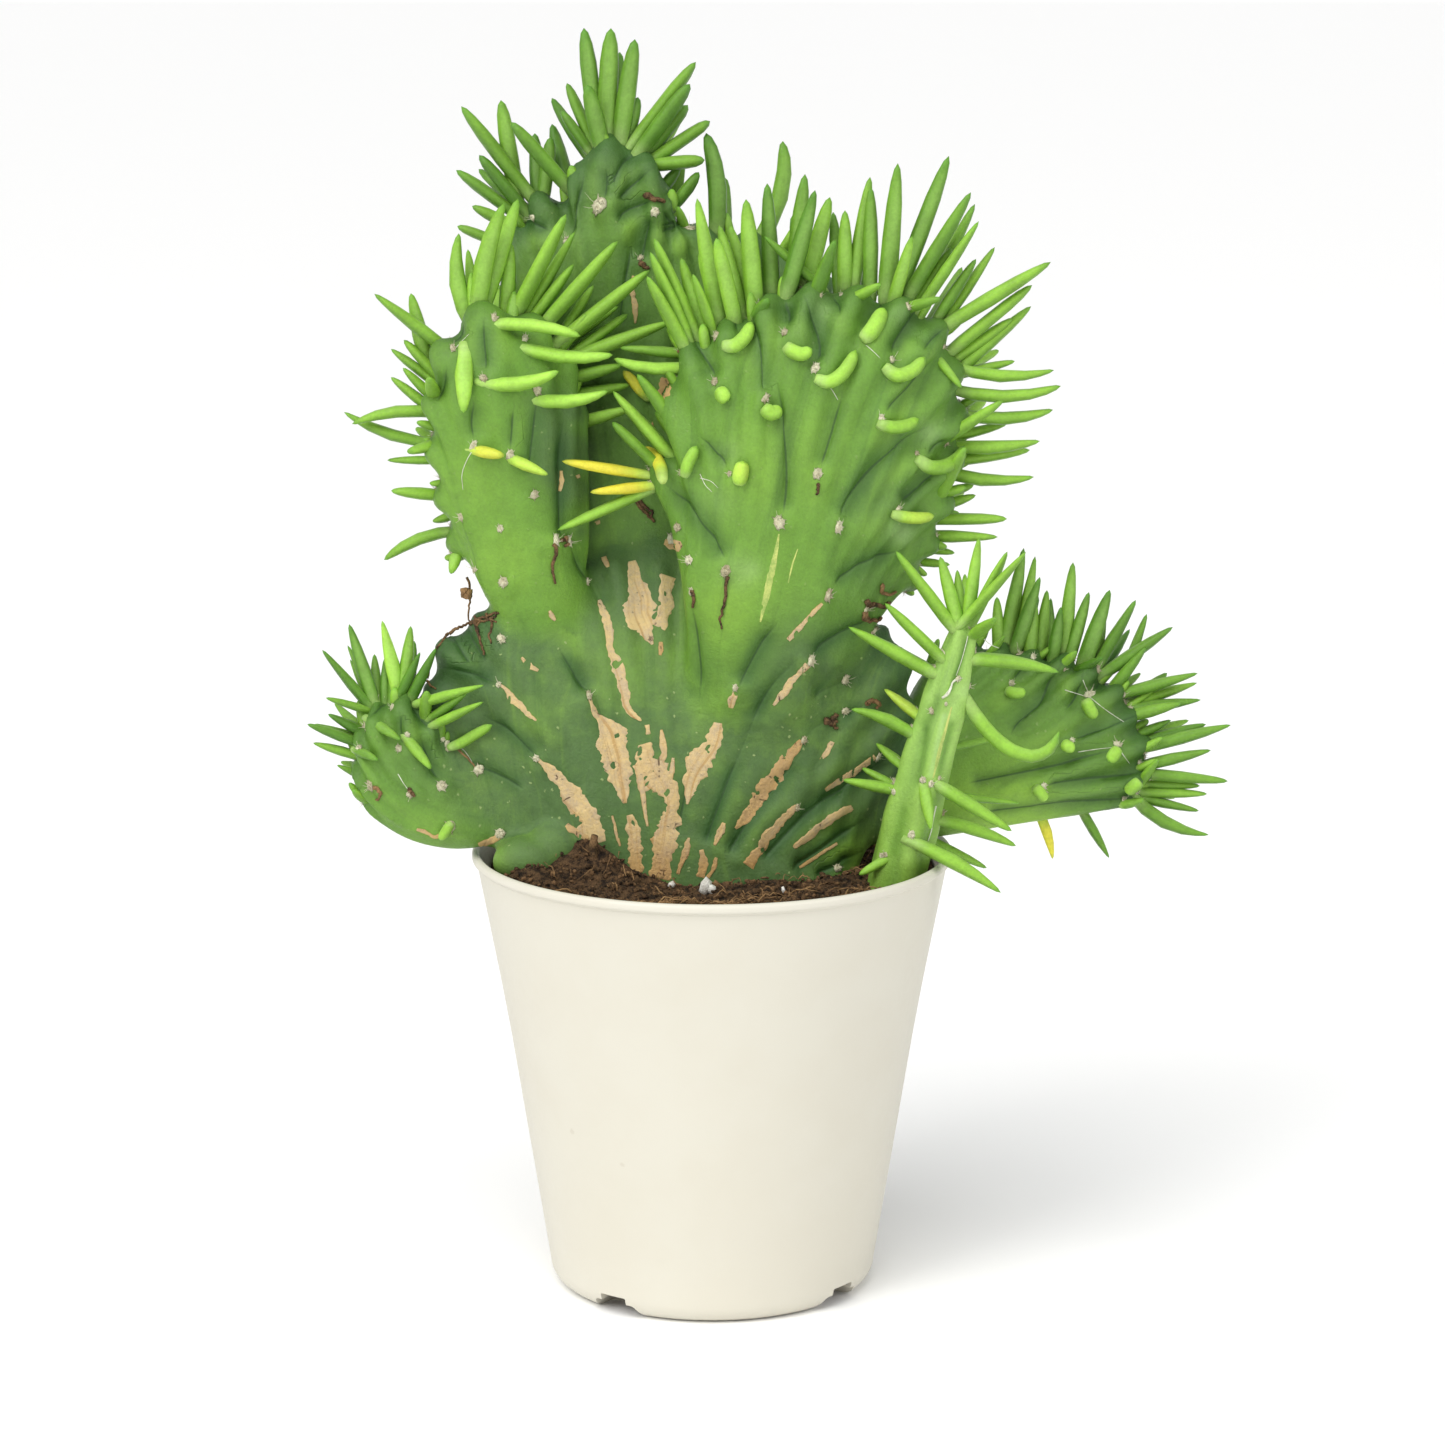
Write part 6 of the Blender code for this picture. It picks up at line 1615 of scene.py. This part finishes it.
def makeWoolPattern():
    # a ragged cushion with short stiff hairs all round
    dice = random.Random("wool")
    deselectAll()
    bpy.ops.mesh.primitive_ico_sphere_add(subdivisions=2, radius=0.8)
    tuft = bpy.context.object
    for vertex in tuft.data.vertices:
        vertex.co *= 1 + dice.uniform(-0.34, 0.30)
        vertex.co.z *= 0.6
    points, faces = map(list, patternFrom(tuft))
    for k in range(woolForm["hairs"]):
        turn, rise = 2 * math.pi * (k + dice.uniform(-0.3, 0.3)) / woolForm["hairs"], dice.uniform(0.1, 1.0)
        spoke = unit([math.cos(turn), math.sin(turn), rise])
        side = unit(np.cross(spoke, (0.1, 0.2, 1)))
        other = np.cross(spoke, side)
        a = len(points)
        for angle in (0, 2.1, 4.2):
            points.append(spoke * 0.35 + (side * math.cos(angle) + other * math.sin(angle)) * 0.24)
        points.append(spoke * dice.uniform(0.95, 1.4))
        faces += [(a, a + 1, a + 3), (a + 1, a + 2, a + 3), (a + 2, a, a + 3), (a + 2, a + 1, a)]
    return np.array(points), faces


def framesFor(direction, dice):
    # two directions square to the first, at a random turn
    direction = unit(direction)
    helper = np.array([0.31, 0.12, 0.94]) if abs(direction[2]) < 0.9 else np.array([1.0, 0.1, 0.0])
    side = unit(np.cross(direction, helper))
    other = np.cross(direction, side)
    turn = dice.uniform(-0.6, 0.6)
    return side * math.cos(turn) + other * math.sin(turn), other * math.cos(turn) - side * math.sin(turn)


def nearestOn(tree, spot):
    # point and normal nearest to a spot in millimetres, or nothing where it is far off
    point, normal, _, away = tree.find_nearest(Vector(spot * mm))
    return (np.array(point) / mm, np.array(normal)) if away < woolForm["near"] * mm else (None, None)


def makeWool():
    woolPoints, woolFaces = makeWoolPattern()
    tufts, bristles = Heap(), Heap()
    dice = random.Random("tufts")

    def tuft(point, normal, size):
        side, other = framesFor(normal, random.Random(dice.random()))
        shape = woolPoints * size * np.array([dice.uniform(0.65, 1.1), dice.uniform(0.8, 1.3), dice.uniform(0.7, 1.1)])
        tufts.add(point + side * shape[:, :1] + other * shape[:, 1:2] + normal * (shape[:, 2:] - 0.05), woolFaces,
                  tint=dice.random())
        for _ in range(woolForm["bristles"]):
            lean = unit(normal + side * dice.uniform(-0.9, 0.9) + other * dice.uniform(-0.9, 0.9))
            reach = dice.uniform(1.0, 2.0) * size
            path = [point, point + lean * reach * 0.6, point + lean * reach + np.array([0, 0, 0.12 * reach])]
            tubePath(bristles, path, 0.08, sides=3, taper=0.3, tint=1.0)

    cushions = []
    for number, u, v, side, size in areoles:
        fan = list(fans.values())[int(number)]
        point, normal = nearestOn(skinTree, fanSurface(fan, np.array([u]), np.array([v]), side)[0])
        if point is not None:
            cushions.append(point)
            tuft(point, normal, woolForm["size"] * size * dice.uniform(0.9, 1.1))
    for node, leaves in grownLeaves.items():
        tree = stemTree if node == "stem_front" else skinTree
        for leaf in leaves:
            point, _ = nearestOn(tree, leaf["root"])
            if point is not None:
                point, normal = nearestOn(tree, point + np.array([0, 0, 0.8]) * leaf["radius"])
                share = woolForm["leafSize"] * dice.uniform(0.7, 1.2)
                if norm(np.array(cushions) - point, axis=1).min() > woolForm["clear"]:
                    tuft(point, normal, share * (1.3 if node == "stem_front" else 1))
    for column, row, size in stemAreoles:
        point, normal = hitSkin(stemTree, column, row)
        if point is not None:
            tuft(point, normal, size)
    for heap, name in ((tufts, "areoleTufts"), (bristles, "areoleBristles")):
        piece = heap.piece(name, woolMaterial)
        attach(piece, "root")


makeWool()
print("stage: wool")


# Corky scars, each a ragged strip: warmth, then columns, rows and half widths in the photograph's pixels
scars = (
    (0.05, 632, 560, 4, 634, 570, 6.5, 634, 582, 6.5, 640, 600, 12.5, 641, 615, 15.5, 646, 626, 12, 651, 640, 4.5,
     653, 645, 1), (0.08, 668, 575, 8.5, 664, 588, 7, 667, 602, 7.5, 662, 615, 7, 656, 627, 8),
    (0.08, 599, 599, 2, 604, 612, 4.5, 608, 622, 4.5, 610, 637, 3, 610, 648, 3.2, 616, 662, 5.5, 620, 674, 5, 623,
     688, 5, 625, 696, 5, 628, 707, 4, 637, 717, 4, 642, 721, 0.8), (0.1, 647, 724, 2.5, 649, 735, 2.5),
    (0.1, 521, 657, 1.5, 529, 664, 3.5, 539, 671, 1.5),
    (0.12, 498, 684, 1.2, 507, 691, 3, 513, 700, 6, 522, 709, 6, 530, 716, 3.5, 537, 721, 0.8),
    (0.12, 589, 696, 2.5, 592, 707, 3.5, 602, 721, 5.5, 609, 730, 10, 613, 743, 12.5, 618, 762, 12.5, 620, 777, 10,
     623, 791, 7, 625, 804, 2),
    (0.12, 538, 759, 1.5, 545, 765, 3.5, 555, 775, 5.5, 565, 786, 6, 573, 797, 9.5, 584, 808, 11, 592, 819, 12, 594,
     830, 12, 598, 844, 8),
    (0.22, 644, 743, 6, 648, 757, 11, 654, 772, 18, 663, 782, 14, 669, 795, 10, 670, 806, 9.5, 667, 821, 12, 665,
     836, 12.5, 663, 850, 12, 660, 865, 10.5, 657, 879, 10),
    (0.2, 661, 729, 1, 663, 742, 2.8, 664, 752, 3.2, 661, 761, 3),
    (0.2, 637, 764, 4, 640, 778, 3.6, 643, 795, 2.4, 645, 810, 2, 648, 827, 1),
    (0.25, 630, 814, 3.5, 633, 828, 7.5, 634, 843, 9, 635, 858, 8.5, 638, 874, 7),
    (0.35, 612, 815, 1, 616, 830, 2.5, 620, 847, 1.2),
    (0.1, 718, 722, 3.5, 716, 734, 6, 712, 747, 8.5, 705, 757, 11, 697, 768, 13.5, 692, 779, 9, 689, 791, 5, 687,
     805, 1), (0.15, 673, 757, 2, 672, 770, 2.6, 670, 780, 1.5),
    (0.3, 689, 837, 1.2, 687, 850, 4.2, 682, 862, 3, 678, 875, 3),
    (0.35, 724, 822, 1.8, 720, 833, 3.8, 714, 846, 1.2), (0.3, 701, 849, 2, 703, 862, 4.2, 700, 878, 4),
    (0.3, 717, 857, 2, 713, 868, 3, 707, 878, 2.4),
    (0.75, 802, 740, 2, 791, 754, 6, 782, 766, 7.5, 775, 777, 7.5, 767, 788, 8, 762, 798, 8.5, 752, 810, 6, 742, 821,
     4.5, 735, 829, 1.5),
    (0.45, 797, 805, 2.2, 786, 817, 5.2, 776, 828, 6.2, 766, 840, 5.5, 757, 854, 5, 748, 867, 5),
    (0.3, 853, 807, 2.5, 838, 816, 4.6, 822, 826, 3.8, 806, 838, 4.4, 793, 848, 1.5),
    (0.3, 838, 843, 1.2, 820, 854, 1.8, 799, 868, 1.4),
    (0.3, 876, 756, 2.2, 860, 768, 3.6, 842, 780, 3.8, 825, 791, 1.5),
    (0.15, 833, 741, 2.2, 829, 750, 3.4, 820, 760, 1.6),
    (0.12, 808, 664, 3.2, 797, 676, 3, 786, 690, 4.6, 773, 706, 1.6),
    (0.12, 738, 690, 2.6, 733, 700, 4.6, 731, 709, 2.5), (0.1, 549, 610, 1.2, 552, 616, 2.4, 556, 621, 1),
    (0.3, 603, 556, 2.6, 605, 562, 3.4, 608, 568, 1.4), (0.8, 661, 641, 1.6, 661, 649, 2.4, 660, 656, 1.2),
    (0.55, 664, 541, 4, 672, 544, 6, 681, 550, 3.6), (0.6, 566, 824, 2.6, 576, 833, 5, 590, 838, 4),
    (0.15, 823, 603, 1.4, 812, 614, 2.2, 801, 627, 2.8, 788, 641, 2.4),
    (0.3, 634, 275, 1.8, 632, 288, 2.8, 634, 301, 3.4, 635, 313, 2.8, 635, 324, 0.8),
    (0.85, 668, 378, 6, 665, 388, 7.5, 659, 398, 5), (0.8, 649, 421, 2.4, 655, 434, 3.6, 660, 444, 1.6),
    (0.2, 561, 470, 1.6, 562, 480, 2.2, 560, 492, 1.2), (0.35, 597, 520, 3.2, 599, 525, 3.2),
    (0.35, 577, 474, 2.6, 579, 479, 2.6), (0.6, 416, 829, 1.8, 427, 833, 2.8, 436, 837, 2.6, 444, 833, 1.8),
    (0.55, 478, 846, 2.4, 488, 842, 3.4, 497, 837, 3.4, 502, 833, 2),
)
# Pale streaks on the crest and on the round stem, laid out alike but without the warmth
streaks = (
    (779, 533, 0.8, 776, 552, 2.6, 771, 574, 4.4, 766, 598, 3.8, 760, 623, 0.8),
    (798, 548, 0.5, 792, 566, 1, 788, 584, 0.6),
)
stemStreaks = (
    (952, 706, 0.8, 946, 728, 1.7, 939, 754, 2.2, 933, 779, 0.8),
)
scarForm = {"step": 1.15, "strips": 10, "holes": 4.0, "widest": 4}
# How ragged the edges are, and how far the middle stands over the skin and the edges under it
scarLook, streakLook = {"ragged": 0.44, "lift": 0.15, "dip": -0.16}, {"ragged": 0.2, "lift": 0.05, "dip": -0.12}


def raggedEdge(places, dice, amount):
    # a wandering edge: long swings, short swings and small nicks, as shares of the half width
    total = np.zeros(len(places))
    for length, share in ((24.0, 0.5), (9.0, 0.38), (4.0, 0.32), (2.0, 0.20)):
        knots = np.arange(0, places[-1] + 2 * length, length)
        values = np.array([dice.uniform(-1, 1) for _ in knots])
        total += share * np.interp(places + dice.uniform(0, length), knots, values)
    return 1 + amount * total * 1.6


def stripOnSkin(heap, line, dice, tree, warmth, ragged, lift, dip):
    # lays a strip on the skin by the camera's rays; its sides end just under the skin
    marks = np.array(line, float)
    along = np.concatenate([[0], np.cumsum(norm(np.diff(marks[:, :2], axis=0), axis=1))])
    count, strips, widest = max(int(along[-1] / scarForm["step"]), 4), scarForm["strips"], scarForm["widest"]
    places = np.linspace(0, along[-1], count + 1)
    smooth = lineThrough(marks, places / along[-1])
    heading = unit(np.gradient(smooth[:, :2], axis=0))
    square = np.stack([-heading[:, 1], heading[:, 0]], axis=1)
    half = np.maximum(smooth[:, 2], 0.4)
    left, right = half * raggedEdge(places, dice, ragged), half * raggedEdge(places, dice, ragged)
    points, index, rows = [], {}, []
    for k in range(count + 1):
        for i in range(strips + 1):
            share = math.sin(math.pi * (i / strips - 0.5))
            offset = share * (left[k] if share < 0 else right[k])
            column, row = smooth[k, :2] + square[k] * offset
            point, normal = hitSkin(tree, column, row)
            if point is None:
                continue
            end = min(k, count - k) / 2.0
            hole = noise.noise(Vector((column * 0.16, row * 0.07, marks[0, 0])))
            inner = min(1 - abs(share) ** 4, end, scarForm["holes"] * (0.60 - hole))
            index[k, i] = len(points)
            points.append(point + normal * (dip + (lift - dip) * min(1.6 * inner, 1.0)))
            rows.append((min((1 - abs(share)) * half[k] / 3.0, end / 2), warmth + 0.65 * smoothStep(832, 872, row),
                         places[k] * pixel, offset * 1.4 + 40 * smooth[0, 0]))
    faces = []
    for k in range(count):
        for i in range(strips):
            face = tuple(index.get(corner) for corner in ((k, i), (k, i + 1), (k + 1, i + 1), (k + 1, i)))
            if None not in face and max(norm(points[face[0]] - points[corner]) for corner in face) < widest:
                faces.append(face)
    heap.add(points, faces, **dict(zip(("rim", "warmth", "grainAlong", "grainAcross"), np.array(rows, float).T)))


def makeScars():
    cork, pale = Heap(), Heap()
    for number, (warmth, *marks) in enumerate(scars):
        stripOnSkin(cork, grouped(marks, 3), random.Random(f"scar {number}"), skinTree, warmth, **scarLook)
    for rows, said, tree in ((streaks, "streak", skinTree), (stemStreaks, "stem streak", stemTree)):
        for number, marks in enumerate(rows):
            stripOnSkin(pale, grouped(marks, 3), random.Random(f"{said} {number}"), tree, 0.0, **streakLook)
    for heap, name, material in ((cork, "corkScars", corkMaterial), (pale, "paleStreaks", stainMaterial)):
        piece = heap.piece(name, material)
        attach(piece, "root")


makeScars()
print("stage: scars")


# Dried spines, curls and margins, and the pale spines and webs: half width in millimetres, tint, columns and rows
driedStrands = (
    (0.5, 0.05, 554, 544, 557, 553, 553, 562, 552, 572, 556, 583),
    (0.42, 0.02, 728, 577, 726, 588, 725, 600, 722, 612, 720, 622, 722, 629),
    (0.34, 0.3, 466, 577, 469, 584, 471, 594, 469, 606, 468, 614, 471, 625), (1.3, 0.75, 467, 590, 466, 599),
    (0.42, 0.1, 450, 633, 457, 628, 464, 626, 471, 622, 478, 621),
    (0.48, 0.05, 470, 624, 478, 619, 486, 617, 492, 614, 498, 613),
    (0.36, 0.3, 474, 616, 478, 620, 484, 621, 491, 619, 496, 622),
    (0.4, 0.05, 486, 614, 489, 619, 494, 617, 497, 612),
    (0.44, 0.03, 474, 621, 478, 630, 480, 640, 483, 648, 484, 654),
    (0.36, 0.1, 490, 617, 492, 627, 489, 635, 491, 643), (0.3, 0.4, 481, 620, 476, 628, 479, 637),
    (0.4, 0.35, 449, 633, 442, 641, 435, 652, 430, 664, 428, 678), (0.34, 0.55, 427, 680, 431, 686, 436, 689),
    (0.3, 0.75, 456, 748, 464, 755, 472, 763, 477, 768), (0.8, 0.05, 826, 720, 831, 724, 837, 722),
    (0.6, 0.08, 836, 714, 832, 722, 838, 729), (0.55, 0.65, 882, 584, 883, 592, 889, 595, 896, 592),
    (0.75, 0.12, 866, 602, 872, 606, 878, 604, 884, 607, 890, 603),
    (0.7, 0.4, 864, 613, 866, 619, 874, 621, 880, 618), (0.65, 0.6, 866, 703, 873, 701, 880, 704, 876, 709),
    (0.5, 0.6, 374, 788, 379, 790, 380, 796, 376, 800), (0.6, 0.1, 409, 790, 412, 794, 416, 796),
    (0.45, 0.1, 818, 484, 818, 490, 816, 495), (0.6, 0.15, 634, 498, 640, 506, 648, 514, 654, 522),
    (0.45, 0.1, 640, 500, 646, 508, 652, 512, 650, 520), (0.6, 0.55, 628, 474, 636, 476, 642, 474),
    (0.8, 0.05, 645, 195, 651, 198, 658, 200, 663, 202), (0.7, 0.06, 641, 262, 645, 266, 649, 268),
    (0.55, 0.3, 671, 352, 677, 348, 679, 352), (0.55, 0.1, 691, 590, 694, 598, 693, 607),
    (0.7, 0.35, 561, 540, 567, 538, 570, 543, 566, 546),
)
paleStrands = (
    (0.11, 1065, 690, 1078, 694, 1091, 698), (0.1, 1083, 680, 1087, 690, 1091, 698),
    (0.1, 1091, 698, 1106, 710, 1124, 722), (0.1, 1078, 752, 1098, 749, 1118, 747),
    (0.1, 1118, 747, 1124, 756, 1130, 764), (0.12, 942, 698, 949, 690, 954, 680, 963, 678),
    (0.11, 984, 639, 991, 645, 999, 648), (0.3, 942, 698, 948, 694, 951, 688, 953, 682, 959, 679),
    (0.1, 968, 636, 965, 648, 961, 662, 956, 676), (0.2, 936, 806, 933, 820, 931, 832, 928, 841),
    (0.1, 904, 736, 914, 738, 926, 736, 933, 731), (0.22, 920, 785, 928, 784, 935, 780, 940, 781),
    (0.1, 452, 352, 461, 342, 469, 334), (0.1, 474, 448, 466, 462, 462, 474, 463, 490),
    (0.09, 866, 345, 874, 352, 880, 358), (0.09, 826, 382, 832, 390, 838, 400),
    (0.08, 452, 744, 460, 747, 467, 754, 474, 766), (0.1, 700, 474, 706, 486, 712, 492),
    (0.09, 700, 478, 712, 482, 718, 488), (0.1, 485, 380, 478, 384, 474, 380), (0.1, 398, 774, 404, 784, 410, 792),
)
# The pale ones that begin between these columns lie on the round stem
stemColumns = (935, 990)


def strandFromPhoto(heap, tree, line, radius, tint, roughen):
    dice = random.Random(f"strand {line[0]}")
    path = photoPath(tree, line, 3 * len(line), radius * 0.55)
    path += np.array([[dice.uniform(-1, 1) for _ in range(3)] for _ in path]) * roughen * radius
    tubePath(heap, list(path), radius, sides=6, taper=0.55, tint=tint)


def makeStrands():
    dried, pale = Heap(), Heap()
    for radius, tint, *marks in driedStrands:
        strandFromPhoto(dried, skinTree, grouped(marks), radius, tint, 0.45)
    for radius, *marks in paleStrands:
        onStem = stemColumns[0] < marks[0] < stemColumns[1]
        strandFromPhoto(pale, stemTree if onStem else skinTree, grouped(marks), radius, 0.5, 0.1)
    for heap, name, material in ((dried, "driedBits", driedMaterial), (pale, "paleSpines", spineMaterial)):
        piece = heap.piece(name, material)
        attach(piece, "root")


makeStrands()
print("stage: dried bits and spines")


floorForm = {"size": 60, "cells": 20, "flatTo": 6, "rise": 0.05}


def makeFloor():
    # a wide plain floor whose far edges rise a little, so that level views end on it too
    deselectAll()
    cells = floorForm["cells"]
    bpy.ops.mesh.primitive_grid_add(x_subdivisions=cells, y_subdivisions=cells, size=floorForm["size"])
    floor = bpy.context.object
    floor.name = "floor"
    for vertex in floor.data.vertices:
        away = max(abs(vertex.co.x), abs(vertex.co.y)) - floorForm["flatTo"]
        vertex.co.z = floorForm["rise"] * max(away, 0) ** 1.3
    paint = newPaint("paleFloor", Roughness=0.8, Specular_IOR_Level=0.1)
    body = paint.mix(paint.mottle(3.0, 0.5), (0.985, 0.985, 0.98), (1.0, 1.0, 0.995))
    paint.put(paint.shader.inputs["Base Color"], body)
    floor.data.materials.append(paint.material)


def keepInsideBox():
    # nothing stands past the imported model's box
    low, high = (np.array(corner) / mm for corner in cadBox)
    for name in newPieces:
        mesh = bpy.data.objects[name].data
        setPoints(mesh, np.clip(pointsOf(mesh), low + 0.001, high - 0.001))


cadNodes = set(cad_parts.values())
newPieces = [piece.name for piece in bpy.data.objects if piece.type == "MESH" and piece not in cadNodes]
keepInsideBox()
makeFloor()
print("stage: done")
